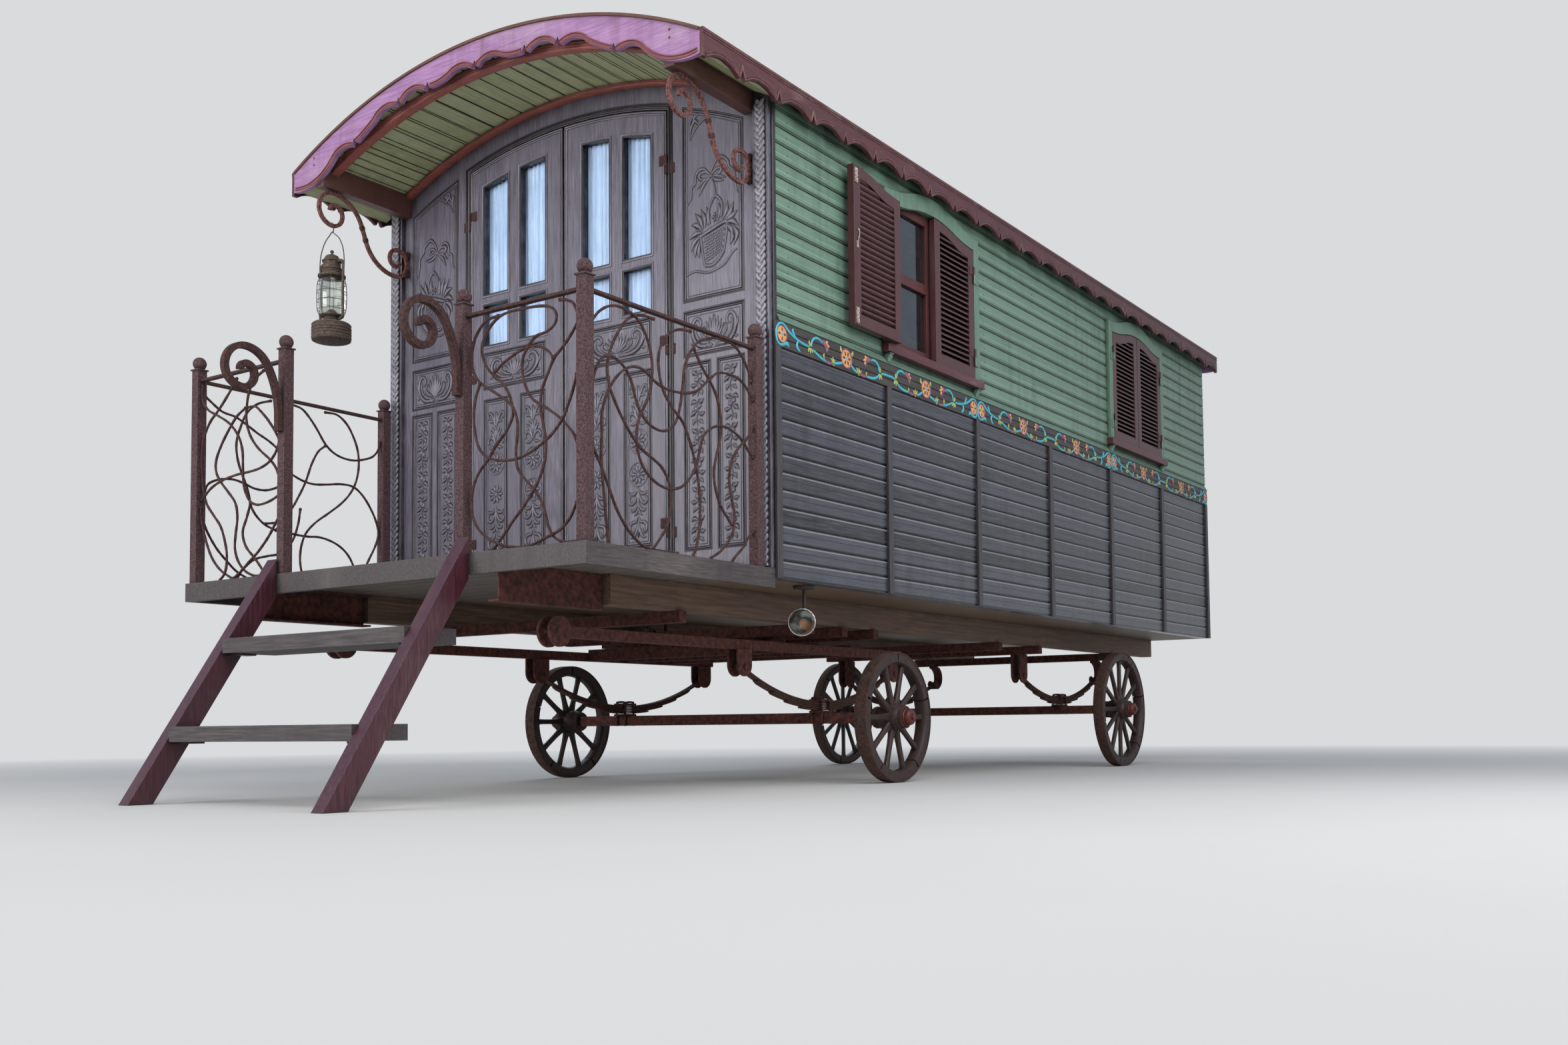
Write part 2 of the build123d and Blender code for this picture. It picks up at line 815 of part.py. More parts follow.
def sash_bars(centre, width, bottom, top):
    """Adds a sash's stiles, rails and upright bars, a hairline apart at their joints."""
    half_rise = (top - bottom - sash_bar) / 2
    with Locations((centre, (bottom + top) / 2)):
        with GridLocations(width - sash_bar, 0, 2, 1):
            Rectangle(sash_bar, top - bottom)
        with GridLocations(0, half_rise, 1, 3):
            Rectangle(width - 2 * (sash_bar + seat_gap), sash_bar)
        with GridLocations(0, half_rise, 1, 2):
            Rectangle(sash_bar, half_rise - sash_bar - 2 * seat_gap)


with BuildPart() as window_sashes:
    with BuildSketch(side_plane(half_width - sash_setback)):
        for centre in window_centres:
            sash_bars(centre, window_width, window_sill_z, window_top_z)
    extrude(amount=-sash_thickness)
    mirror(about=Plane.YZ)
    with BuildSketch(front_plane(house_length - sash_setback)):
        sash_bars(0, rear_window_width, window_sill_z, window_head_z)
    extrude(amount=sash_thickness)
save(window_sashes.part, "window_sashes")

glass_setback = sash_setback + (sash_thickness - glass_thickness) / 2
with BuildPart() as window_glass:
    with BuildSketch(side_plane(half_width - glass_setback)):
        for centre in window_centres:
            window_panes(centre, window_width, window_sill_z, window_top_z)
    extrude(amount=-glass_thickness)
    mirror(about=Plane.YZ)
    with BuildSketch(front_plane(house_length - glass_setback)):
        window_panes(0, rear_window_width, window_sill_z, window_head_z)
    extrude(amount=glass_thickness)
save(window_glass.part, "window_glass")

# Shutter leaves, made once for the rear half of a right-hand window centred on the front wall
leaf_left = leaf_meeting_gap / 2
leaf_bottom = window_sill_z + leaf_edge_gap
leaf_low_top = window_head_z - leaf_edge_gap
leaf_high_top = window_top_z - leaf_edge_gap
slat_step = (leaf_low_top - leaf_bottom - shutter_border) / (slat_count + 1)
leaf_opening = (
    leaf_left + shutter_border,
    leaf_right - shutter_border,
    leaf_bottom + shutter_border,
    leaf_low_top - shutter_border,
    leaf_high_top - shutter_border,
)
slat_plane = Plane(
    origin=(casing_face_x - shutter_thickness / 2, front_wall_y + leaf_left, 0),
    x_dir=(0, 0, 1),
    z_dir=(0, 1, 0),
)
with BuildPart() as shutter_leaf:
    with BuildSketch(slat_plane):
        with Locations(
            [
                (leaf_bottom + shutter_border + slat_step * (i + 0.5), 0)
                for i in range(slat_count + 1)
            ]
        ):
            Rectangle(slat_thickness, slat_width, rotation=slat_tilt)
    extrude(amount=leaf_right - leaf_left)
    with BuildSketch(side_plane(casing_face_x - 3)):
        ogee_outline(*leaf_opening)
    extrude(amount=-(shutter_thickness - 6), mode=Mode.INTERSECT)
    with BuildSketch(side_plane(casing_face_x)):
        ogee_outline(leaf_left, leaf_right, leaf_bottom, leaf_low_top, leaf_high_top)
        with BuildSketch(mode=Mode.SUBTRACT):
            ogee_outline(*leaf_opening)
    extrude(amount=-shutter_thickness)
    for place in shutter_hinge_heights:
        z = window_sill_z + place
        with Locations((casing_face_x + shutter_pivot_proud, front_wall_y + leaf_right, z)):
            Cylinder(
                knuckle_radius,
                knuckle_length,
                align=(Align.CENTER, Align.CENTER, Align.MIN),
            )
        box_between(
            (casing_face_x, leaf_right - hinge_plate_width, z),
            (casing_face_x + hinge_plate_thickness, leaf_right, z + knuckle_length),
        )

rear_leaf = shutter_leaf.part
front_leaf = mirror(rear_leaf, about=Plane.XZ.offset(-front_wall_y))
for number, centre in enumerate(window_centres, 1):
    for end, leaf in (("front", front_leaf), ("rear", rear_leaf)):
        placed = Pos(0, centre, 0) * leaf
        save(mirror(placed, about=Plane.YZ), f"shutter_left_{number}_{end}")
        if f"shutter_right_{number}_{end}" == open_leaf:
            pivot_y = front_wall_y + centre - leaf_right
            pivot = Pos(casing_face_x + shutter_pivot_proud, pivot_y, 0)
            placed = pivot * Rot(0, 0, open_leaf_turn) * pivot.inverse() * placed
        save(placed, f"shutter_right_{number}_{end}")


# Doors: a framed leaf with four panes over three raised panels, its glass and its curtain
def door_panes(mode=Mode.ADD):
    """Adds the right-hand leaf's four panes to the sketch being built."""
    with BuildSketch() as panes:
        for left, right in pane_edges:
            rectangle_between(left, right, wall_base_z + upper_pane_bottom, roof_apex_z)
        under_roof(door_arch_radius - arch_rail_height)
        for left, right in pane_edges:
            rectangle_between(
                left, right, wall_base_z + lower_pane_bottom, wall_base_z + lower_pane_top
            )
    add(panes.sketch, mode=mode)


def door_panels(inset):
    """Adds the right-hand leaf's solid panels to the sketch being built."""
    for left, right in low_panel_edges:
        rectangle_between(
            left + inset,
            right - inset,
            wall_base_z + low_panel_bottom + inset,
            wall_base_z + low_panel_top - inset,
        )
    rectangle_between(
        mid_panel_edges[0] + inset,
        mid_panel_edges[1] - inset,
        wall_base_z + mid_panel_bottom + inset,
        wall_base_z + mid_panel_top - inset,
    )


with BuildPart() as door_leaf:
    with BuildSketch(front_plane(0)):
        rectangle_between(
            leaf_meeting_gap / 2, door_half_width, deck_top_z + door_bottom_gap, roof_apex_z
        )
        under_roof(door_arch_radius)
        door_panes(mode=Mode.SUBTRACT)
    extrude(amount=-door_thickness)
    with BuildSketch(front_plane(0)):
        door_panels(0)
    extrude(amount=-panel_recess, mode=Mode.SUBTRACT)
    with BuildSketch(front_plane(panel_recess)):
        door_panels(panel_margin)
    extrude(amount=panel_raise)
    for height in door_hinge_heights:
        z = wall_base_z + height
        with Locations((door_half_width, front_wall_y - door_pivot_proud, z)):
            Cylinder(
                knuckle_radius,
                knuckle_length,
                align=(Align.CENTER, Align.CENTER, Align.MIN),
            )
        box_between(
            (door_half_width - hinge_plate_width, -hinge_plate_thickness, z),
            (door_half_width, 0, z + knuckle_length),
        )

with BuildPart() as door_glass:
    with BuildSketch(front_plane((door_thickness - glass_thickness) / 2)):
        door_panes()
    extrude(amount=-glass_thickness)

with BuildPart() as door_curtain:
    with BuildSketch(front_plane(door_thickness)):
        rectangle_between(
            pane_edges[0][0] - curtain_margin,
            pane_edges[1][1] + curtain_margin,
            wall_base_z + lower_pane_bottom - curtain_margin,
            roof_apex_z,
        )
        under_roof(door_arch_radius - arch_rail_height + curtain_margin)
    extrude(amount=-curtain_thickness)

for piece, name in ((door_leaf, "door"), (door_glass, "door_glass"), (door_curtain, "curtain")):
    save(piece.part, f"{name}_right")
    save(mirror(piece.part, about=Plane.YZ), f"{name}_left")

# Porch deck of boards along the width, with a fascia on three sides
deck_half = half_width - deck_fascia_thickness
deck_pitch = (deck_depth + deck_board_gap) / deck_board_count
with BuildPart() as deck_boards:
    for i in range(deck_board_count):
        front = -deck_depth + deck_pitch * i
        box_between(
            (-deck_half, front, deck_bottom_z),
            (deck_half, front + deck_pitch - deck_board_gap, deck_top_z),
        )
save(deck_boards.part, "deck_boards")

with BuildPart() as deck_fascia:
    box_between(
        (-half_width, deck_front, deck_top_z - deck_fascia_height),
        (half_width, 0, deck_top_z),
    )
    box_between(
        (-deck_half, -deck_depth, deck_top_z - deck_fascia_height),
        (deck_half, 0, deck_top_z),
        mode=Mode.SUBTRACT,
    )
save(deck_fascia.part, "deck_fascia")

# Rail posts with caps and balls
post_places = [
    (rail_post_x, -wall_post_setback),
    (rail_post_x, front_post_y),
    (stair_post_x, front_post_y),
]
cap_top_z = deck_top_z + post_height + post_cap_thickness
with BuildPart() as rail_posts:
    for x, y in post_places:
        box_between(
            (x - post_side / 2, y - post_side / 2, deck_top_z),
            (x + post_side / 2, y + post_side / 2, deck_top_z + post_height),
        )
        box_between(
            (x - post_cap_side / 2, y - post_cap_side / 2, deck_top_z + post_height),
            (x + post_cap_side / 2, y + post_cap_side / 2, cap_top_z),
        )
        with Locations((x, front_wall_y + y, cap_top_z + post_ball_radius - 3)):
            Sphere(post_ball_radius)
    mirror(about=Plane.YZ)
save(rail_posts.part, "rail_posts")

# Rails: a top bar over curling tendrils. A rod's points are shares of its panel's length and height,
# in hundredths, and each of its bends is as wide as the runs beside it allow.
rail_top_z = deck_top_z + rail_top_height
front_rods = (
    ((28.5, 99.5), (8.5, 97.5), (0, 83), (9.5, 70.5), (34.5, 62.5), (49.5, 51.5), (43.5, 35), (64, 22),
     (74.5, 3.5), (101.5, 0)),
    ((101.5, 35), (85, 50.5), (53.5, 61.5), (47.5, 79), (66, 86), (82.5, 89), (76, 99.5), (26, 99.5),
     (10.5, 84.5), (27.5, 71.5), (43.5, 61.5), (37, 48.5), (10.5, 36), (-1, 21), (14, 3.5), (52, -0.5),
     (85, 5.5), (101.5, 17.5)),
    ((11.5, 72), (3.5, 56), (15.5, 37.5), (50, 34.5), (83, 46), (101.5, 70.5)),
    ((101.5, 89.5), (74.5, 74.5), (63, 58), (73.5, 40.5), (62.5, 23.5), (22.5, -1)),
    ((21.5, 74.5), (57, 84), (80.5, 75.5)),
    ((81.5, 99.5), (94.5, 97.5), (101.5, 90)),
)
side_rods = (
    ((-1, 86), (9, 98), (26, 99.5), (35.5, 84.5), (35, 67), (25, 51.5), (27.5, 34), (45, 26), (60, 32),
     (65, 55), (79, 63), (101, 49)),
    ((-1, 59.5), (6, 77), (20.5, 77.5), (28, 56), (43, 48.5), (53, 62.5), (54.5, 85.5), (68, 98),
     (88, 102), (101, 82.5)),
    ((37, 99.5), (21.5, 97.5), (7.5, 72.5), (14, 54), (30, 40), (47, 34), (47.5, 14.5), (34.5, -1)),
    ((10.5, -1), (5, 36), (7.5, 59.5), (24, 79), (44, 68), (62, 70.5), (76, 86), (92, 85), (101, 74.5)),
    ((60, 92), (77.5, 74.5), (80.5, 57), (70, 38.5), (77, 23.5), (88, 16)),
    ((60, 99.5), (43, 96.5), (36, 77), (50, 59.5), (59, 49.5), (66, 25), (65, 9), (59, -1)),
    ((-1, 48.5), (5, 32), (17, 9), (33, -0.5), (50, -1)),
    ((101, 65.5), (85, 48.5), (83.5, 32), (88.5, 17.5), (80, 5.5), (70, -1)),
    ((101, 17.5), (92, 6.5), (85, -1)),
)


def tendril_panel(rods, length):
    """Adds a panel's rods, cut off at its posts, deck and top bar, to the sketch being built."""
    height = rail_top_height - rail_bar_height
    for rod in rods:
        places = [Vector(length * x / 100, height * y / 100) for x, y in rod]
        radii = []
        for before, corner, after in zip(places, places[1:], places[2:]):
            arriving = corner - before
            leaving = after - corner
            run = min(arriving.length, leaving.length)
            radii.append(tendril_bend_share * run / tan(radians(arriving.get_angle(leaving)) / 2))
        with BuildLine() as tendril:
            FilletPolyline(*places, radius=radii)
        trace(tendril.edges(), line_width=tendril_width)
    with Locations((length / 2, height / 2)):
        Rectangle(length, height, mode=Mode.INTERSECT)


front_span = (stair_post_x + post_side / 2, rail_post_x - post_side / 2)
side_span = (front_post_y + post_side / 2, -wall_post_setback - post_side / 2)
with BuildPart() as rail_front:
    box_between(
        (front_span[0], front_post_y - rail_bar_width / 2, rail_top_z - rail_bar_height),
        (front_span[1], front_post_y + rail_bar_width / 2, rail_top_z),
    )
    with BuildSketch(
        Plane(
            origin=(front_span[0], front_wall_y + front_post_y, deck_top_z),
            x_dir=(1, 0, 0),
            z_dir=(0, -1, 0),
        )
    ):
        tendril_panel(front_rods, front_span[1] - front_span[0])
    extrude(amount=tendril_width / 2, both=True)
    mirror(about=Plane.YZ)
save(rail_front.part, "rail_front")

with BuildPart() as rail_sides:
    box_between(
        (rail_post_x - rail_bar_width / 2, side_span[0], rail_top_z - rail_bar_height),
        (rail_post_x + rail_bar_width / 2, side_span[1], rail_top_z),
    )
    with BuildSketch(
        Plane(
            origin=(rail_post_x, front_wall_y + side_span[0], deck_top_z),
            x_dir=(0, 1, 0),
            z_dir=(1, 0, 0),
        )
    ):
        tendril_panel(side_rods, side_span[1] - side_span[0])
    extrude(amount=tendril_width / 2, both=True)
    mirror(about=Plane.YZ)
save(rail_sides.part, "rail_sides")

# Curled handrails on the stair posts
handrail_start = (
    front_post_y - post_side / 2 - handrail_bar / 2,
    deck_top_z + handrail_foot_height,
)
with BuildPart() as handrails:
    with BuildSketch(side_plane(stair_post_x)):
        with BuildLine():
            Line(handrail_start, (handrail_start[0], handrail_start[1] + handrail_rise))
            bend_line(
                (handrail_start[0], handrail_start[1] + handrail_rise), 90, handrail_bends
            )
        trace(line_width=handrail_bar)
    extrude(amount=handrail_bar / 2, both=True)
    mirror(about=Plane.YZ)
save(handrails.part, "handrails")

# Stairs: two stringers hooked on the deck, with two treads between them
slope_tan = tan(radians(stringer_slope))
stringer_inner_x = stringer_x - stringer_width / 2
with BuildPart() as stair_stringers:
    with BuildSketch(side_plane(stringer_inner_x)):
        Polygon(
            (deck_front, stringer_head_z),
            (-stair_reach, 0),
            (-stair_reach + stringer_depth / sin(radians(stringer_slope)), 0),
            (deck_front, stringer_head_z - stringer_depth / cos(radians(stringer_slope))),
            align=None,
        )
    extrude(amount=stringer_width)
    for top in tread_tops:
        front = -stair_reach + top / slope_tan
        box_between(
            (stringer_inner_x - bracket_length, front, top - tread_thickness - bracket_thickness),
            (stringer_inner_x, front + bracket_depth, top - tread_thickness),
        )
    mirror(about=Plane.YZ)
save(stair_stringers.part, "stair_stringers")

with BuildPart() as stair_treads:
    for top in tread_tops:
        front = -stair_reach + top / slope_tan - tread_lip
        box_between(
            (-stringer_inner_x, front, top - tread_thickness),
            (stringer_inner_x, front + tread_depth, top),
        )
save(stair_treads.part, "stair_treads")

# Chassis: two timber beams, iron cross-members and the fixed upper ring of the turntable
with BuildPart() as main_beams:
    box_between(
        (beam_x - beam_width / 2, beam_front, beam_bottom_z),
        (beam_x + beam_width / 2, beam_rear, wall_base_z),
    )
    mirror(about=Plane.YZ)
save(main_beams.part, "main_beams")

with BuildPart() as cross_members:
    for place in member_places:
        box_between(
            (-member_half_length, place - member_side / 2, ring_top_z),
            (member_half_length, place + member_side / 2, beam_bottom_z),
        )
    with BuildSketch(level_plane(ring_top_z)):
        with Locations((0, front_axle_y)):
            Circle(ring_radius)
            Circle(ring_radius - ring_width, mode=Mode.SUBTRACT)
    extrude(amount=-ring_thickness)
    with Locations((0, front_wall_y + front_axle_y, (ring_top_z + beam_bottom_z) / 2)):
        Cylinder(king_pin_radius + running_gap, member_side, mode=Mode.SUBTRACT)
save(cross_members.part, "cross_members")

with BuildPart() as deck_channels:
    with BuildSketch(front_plane(-deck_depth)):
        rectangle_between(
            beam_x - channel_width, beam_x, deck_bottom_z - channel_height, deck_bottom_z
        )
        rectangle_between(
            beam_x - channel_width,
            beam_x - channel_thickness,
            deck_bottom_z - channel_height + channel_thickness,
            deck_bottom_z - channel_thickness,
            mode=Mode.SUBTRACT,
        )
    extrude(amount=-(beam_front + deck_depth))
    mirror(about=Plane.YZ)
save(deck_channels.part, "deck_channels")


# Springs: stacked leaves on the axle, rolled into an eye at each end
def spring_pair(axle_y, axle_top, eye_z, half_length):
    """Adds the springs of one axle, both sides, to the part being built."""
    stack = spring_leaf_count * spring_leaf_thickness
    rise = eye_z - (axle_top + clamp_thickness + stack - spring_leaf_thickness / 2)
    radius = (half_length**2 + rise**2) / (2 * rise)
    centre_z = eye_z - rise + radius
    with BuildSketch(side_plane(side_bar_x)) as profile:
        for i in range(spring_leaf_count):
            inner = radius + spring_leaf_thickness * (i - 0.5)
            reach = half_length * (1 - i / (spring_leaf_count + 0.5))
            with BuildSketch():
                with Locations((axle_y, centre_z)):
                    Circle(inner + spring_leaf_thickness)
                    Circle(inner, mode=Mode.SUBTRACT)
                with Locations((axle_y, centre_z - radius)):
                    Rectangle(2 * reach, radius, mode=Mode.INTERSECT)
        with Locations((axle_y - half_length, eye_z), (axle_y + half_length, eye_z)):
            Circle(spring_eye_radius)
            Circle(spring_pin_radius + seat_gap, mode=Mode.SUBTRACT)
        rectangle_between(
            axle_y - clamp_length / 2,
            axle_y + clamp_length / 2,
            axle_top,
            axle_top + stack + 2 * clamp_thickness,
        )
    extrude(profile.sketch, amount=spring_width / 2, both=True)
    mirror(about=Plane.YZ)


def hanger_plates(eye_y, eye_z, top_z):
    """Adds the pair of plates and the pin that hold a right-hand spring eye."""
    for sign in (-1, 1):
        with BuildSketch(side_plane(side_bar_x + sign * side_bar_side / 2)) as plate:
            rectangle_between(
                eye_y - hanger_width / 2, eye_y + hanger_width / 2, eye_z + 8, top_z
            )
            with Locations((eye_y, eye_z + 8)):
                Circle(hanger_width / 2)
        extrude(plate.sketch, amount=sign * hanger_thickness)
    with BuildSketch(side_plane(side_bar_x)) as pin:
        with Locations((eye_y, eye_z)):
            Circle(spring_pin_radius)
    extrude(pin.sketch, amount=side_bar_side / 2, both=True)


front_axle_top = front_wheel_radius + axle_side / 2
rear_axle_top = rear_wheel_radius + axle_side / 2
with BuildPart() as rear_springs:
    spring_pair(rear_axle_y, rear_axle_top, rear_spring_eye_z, rear_spring_half_length)
save(rear_springs.part, "rear_springs")

with BuildPart() as front_springs:
    spring_pair(front_axle_y, front_axle_top, front_spring_eye_z, front_spring_half_length)
save(front_springs.part, "front_springs")

scroll_centre_z = ring_top_z - scroll_iron_radius
rear_eye_y = rear_axle_y + rear_spring_half_length
with BuildPart() as rear_hangers:
    hanger_plates(rear_axle_y - rear_spring_half_length, rear_spring_eye_z, ring_top_z)
    with BuildSketch(side_plane(side_bar_x)):
        with Locations((rear_eye_y, scroll_centre_z)):
            Circle(scroll_iron_radius)
            Circle(scroll_iron_radius - 14, mode=Mode.SUBTRACT)
        with Locations((rear_eye_y + scroll_iron_radius / 2, scroll_centre_z)):
            Rectangle(scroll_iron_radius, 2 * scroll_iron_radius, mode=Mode.INTERSECT)
    extrude(amount=side_bar_side / 2 + hanger_thickness, both=True)
    for sign in (-1, 1):
        with BuildSketch(side_plane(side_bar_x + sign * side_bar_side / 2)):
            with Locations((rear_eye_y, rear_spring_eye_z)):
                Circle(26)
            rectangle_between(
                rear_eye_y,
                rear_eye_y + 26,
                ring_top_z - 2 * scroll_iron_radius,
                rear_spring_eye_z,
            )
        extrude(amount=sign * hanger_thickness)
    with BuildSketch(side_plane(side_bar_x)):
        with Locations((rear_eye_y, rear_spring_eye_z)):
            Circle(spring_pin_radius)
    extrude(amount=side_bar_side / 2, both=True)
    mirror(about=Plane.YZ)
save(rear_hangers.part, "rear_hangers")

with BuildPart() as front_hangers:
    hanger_plates(front_axle_y - front_spring_half_length, front_spring_eye_z, side_bar_bottom_z)
    hanger_plates(front_axle_y + front_spring_half_length, front_spring_eye_z, side_bar_bottom_z)
    mirror(about=Plane.YZ)
save(front_hangers.part, "front_hangers")


# Axles and wheels
def axle(place, height):
    """Adds a square axle with round ends to the part being built."""
    box_between(
        (-axle_shoulder, place - axle_side / 2, height - axle_side / 2),
        (axle_shoulder, place + axle_side / 2, height + axle_side / 2),
    )
    with Locations((0, front_wall_y + place, height)):
        Cylinder(spindle_radius, 2 * (axle_shoulder + spindle_length), rotation=(0, 90, 0))


with BuildPart() as front_axle:
    axle(front_axle_y, front_wheel_radius)
save(front_axle.part, "front_axle")

with BuildPart() as rear_axle:
    axle(rear_axle_y, rear_wheel_radius)
save(rear_axle.part, "rear_axle")


def wheel(place, radius, spoke_count):
    """Adds a spoked wheel on the right-hand side, standing on the ground, to the part being built."""
    centre = (wheel_x, front_wall_y + place, radius)
    wheel_plane = Plane(origin=centre, x_dir=(0, 1, 0), z_dir=(1, 0, 0))
    with BuildSketch(wheel_plane) as rim:
        Circle(radius)
        Circle(radius - rim_depth, mode=Mode.SUBTRACT)
    extrude(rim.sketch, amount=rim_width / 2, both=True)
    with BuildSketch(wheel_plane) as spokes:
        with PolarLocations((nave_radius + radius - rim_depth) / 2, spoke_count):
            Rectangle(radius - rim_depth - nave_radius + 12, spoke_thickness)
    extrude(spokes.sketch, amount=spoke_width / 2, both=True)
    with BuildSketch(Plane(origin=centre, x_dir=(1, 0, 0), z_dir=(0, -1, 0))) as nave:
        Polygon(
            (-nave_inner_length, 0),
            (-nave_inner_length, nave_end_radius),
            (-spoke_width / 2 - 6, nave_radius),
            (spoke_width / 2 + 6, nave_radius),
            (nave_outer_length, nave_end_radius),
            (nave_outer_length, hub_cap_radius),
            (nave_outer_length + hub_cap_length, hub_cap_radius - 6),
            (nave_outer_length + hub_cap_length, hub_nut_radius),
            (nave_outer_length + hub_cap_length + hub_nut_length, hub_nut_radius),
            (nave_outer_length + hub_cap_length + hub_nut_length, 0),
            align=None,
        )
    revolve(nave.sketch, axis=Axis(centre, (1, 0, 0)))
    bore_depth = axle_shoulder + spindle_length - (wheel_x - nave_inner_length) + 3
    with BuildSketch(wheel_plane.offset(-nave_inner_length)) as bore:
        Circle(spindle_radius + running_gap)
    extrude(bore.sketch, amount=bore_depth, mode=Mode.SUBTRACT)


with BuildPart() as front_wheel:
    wheel(front_axle_y, front_wheel_radius, front_spoke_count)

with BuildPart() as rear_wheel:
    wheel(rear_axle_y, rear_wheel_radius, rear_spoke_count)

for piece, name in ((front_wheel, "front_wheel"), (rear_wheel, "rear_wheel")):
    save(piece.part, f"{name}_right")
    save(mirror(piece.part, about=Plane.YZ), f"{name}_left")

# Steered carriage: lower ring, bolsters and king pin, and the side bars that take a drawbar
with BuildPart() as turntable:
    with BuildSketch(level_plane(lower_ring_top_z)):
        with Locations((0, front_axle_y)):
            Circle(ring_radius)
            Circle(ring_radius - ring_width, mode=Mode.SUBTRACT)
    extrude(amount=-ring_thickness)
    for place in bolster_places:
        box_between(
            (-side_bar_x + side_bar_side / 2, place - member_side / 2, side_bar_bottom_z),
            (side_bar_x - side_bar_side / 2, place + member_side / 2, bolster_top_z),
        )
    with Locations((0, front_wall_y + front_axle_y, (bolster_top_z + beam_bottom_z) / 2)):
        Cylinder(king_pin_radius, beam_bottom_z - bolster_top_z)
save(turntable.part, "turntable")

drawbar_z = side_bar_bottom_z + side_bar_side / 2
with BuildPart() as carriage_bars:
    box_between(
        (side_bar_x - side_bar_side / 2, side_bar_front, side_bar_bottom_z),
        (side_bar_x + side_bar_side / 2, side_bar_rear, side_bar_top_z),
    )
    for sign in (-1, 1):
        with BuildSketch(side_plane(side_bar_x + sign * side_bar_side / 2)):
            with Locations((side_bar_front, drawbar_z)):
                Circle(drawbar_plate_radius)
        extrude(amount=sign * drawbar_plate_thickness)
    with BuildSketch(side_plane(side_bar_x)):
        with Locations((side_bar_front - 26, drawbar_z)):
            Circle(drawbar_bore_radius)
    extrude(amount=side_bar_side, both=True, mode=Mode.SUBTRACT)
    mirror(about=Plane.YZ)
save(carriage_bars.part, "carriage_bars")

# Spot lamps on stems under the floor, one at the side and one between the beams
with BuildPart() as spot_lamps:
    for (lamp_x, lamp_y, lamp_z), (aim_x, aim_y) in lamp_mounts:
        lamp_plane = Plane(
            origin=(lamp_x, front_wall_y + lamp_y, lamp_z),
            x_dir=(0, 0, 1),
            z_dir=(aim_x, aim_y, 0),
        )
        with BuildSketch(lamp_plane) as lamp_front:
            Circle(lamp_radius)
        with BuildSketch(lamp_plane.offset(-lamp_depth)) as lamp_back:
            Circle(lamp_socket_radius)
        loft([lamp_front.sketch.face(), lamp_back.sketch.face()])
        extrude(lamp_back.sketch, amount=-lamp_socket_length)
        stem_place = lamp_plane.offset(-lamp_depth - lamp_socket_length / 2).origin
        with Locations((stem_place.X, stem_place.Y, (lamp_z + wall_base_z) / 2)):
            Box(lamp_stem_side, lamp_stem_side, wall_base_z - lamp_z)
save(spot_lamps.part, "spot_lamps")
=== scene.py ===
import json
import math
import bpy
import bmesh
import numpy as np
from mathutils import Matrix, Vector

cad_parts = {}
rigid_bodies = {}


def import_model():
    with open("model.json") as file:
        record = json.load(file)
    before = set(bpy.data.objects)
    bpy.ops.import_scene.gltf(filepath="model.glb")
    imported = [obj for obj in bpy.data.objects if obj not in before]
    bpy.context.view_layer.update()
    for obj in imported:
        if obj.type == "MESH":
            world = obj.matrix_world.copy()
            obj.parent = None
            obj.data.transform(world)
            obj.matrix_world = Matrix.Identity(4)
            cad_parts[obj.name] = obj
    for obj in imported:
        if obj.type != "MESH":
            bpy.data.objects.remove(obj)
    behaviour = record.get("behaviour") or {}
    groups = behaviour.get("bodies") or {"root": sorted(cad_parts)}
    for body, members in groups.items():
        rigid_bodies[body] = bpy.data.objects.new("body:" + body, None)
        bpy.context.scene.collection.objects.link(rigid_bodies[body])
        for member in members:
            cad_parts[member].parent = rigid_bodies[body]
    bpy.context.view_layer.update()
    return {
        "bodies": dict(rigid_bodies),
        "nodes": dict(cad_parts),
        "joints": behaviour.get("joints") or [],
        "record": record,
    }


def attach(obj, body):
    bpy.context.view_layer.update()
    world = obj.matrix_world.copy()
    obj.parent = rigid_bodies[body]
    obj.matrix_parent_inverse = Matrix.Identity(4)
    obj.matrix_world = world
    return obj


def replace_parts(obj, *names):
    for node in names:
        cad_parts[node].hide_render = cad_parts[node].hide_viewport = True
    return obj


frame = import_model()
nodes = frame["nodes"]
print("frame loaded")

# Places are given in millimetres, with y measured back from the front wall's outer face.
frontWallY = -1.952147
randomSource = np.random.default_rng(7)
bothSides = ((1, "Right"), (-1, "Left"))


def toFrame(points):
    # Metres in the shared frame = millimetres / 1000, with the front wall's place added to y.
    return np.asarray(points, float) * 0.001 + np.array([0.0, frontWallY, 0.0])


def tone(red, green, blue):
    # Display value c in 0..255 to linear light: ((c/255 + 0.055) / 1.055) ** 2.4 above the toe.
    shares = np.array([red, green, blue]) / 255.0
    linear = np.where(shares <= 0.04045, shares / 12.92, ((shares + 0.055) / 1.055) ** 2.4)
    return (float(linear[0]), float(linear[1]), float(linear[2]), 1.0)


def track(*parts):
    # Points from their coordinates, where a single number stands for all of them.
    return np.stack(np.broadcast_arrays(*parts), -1).astype(float)


def unit(vectors):
    return vectors / np.linalg.norm(vectors, axis=1)[:, None]


def reached(path):
    # The distance along the path to each of its points.
    return np.concatenate([[0.0], np.cumsum(np.linalg.norm(np.diff(path, axis=0), axis=1))])


def fullTurn(parts):
    return np.linspace(0, 2 * math.pi, parts, endpoint=False)


# The roof, the doors and their panes are bowed about one height on the middle plane.
bowCentre = 658.0


def bowHeight(radius, across):
    # Height = centre + sqrt(radius squared - across squared).
    return bowCentre + np.sqrt(radius ** 2 - across ** 2)


# Shapes are dictionaries of points, grain coordinates and four- or three-cornered faces.

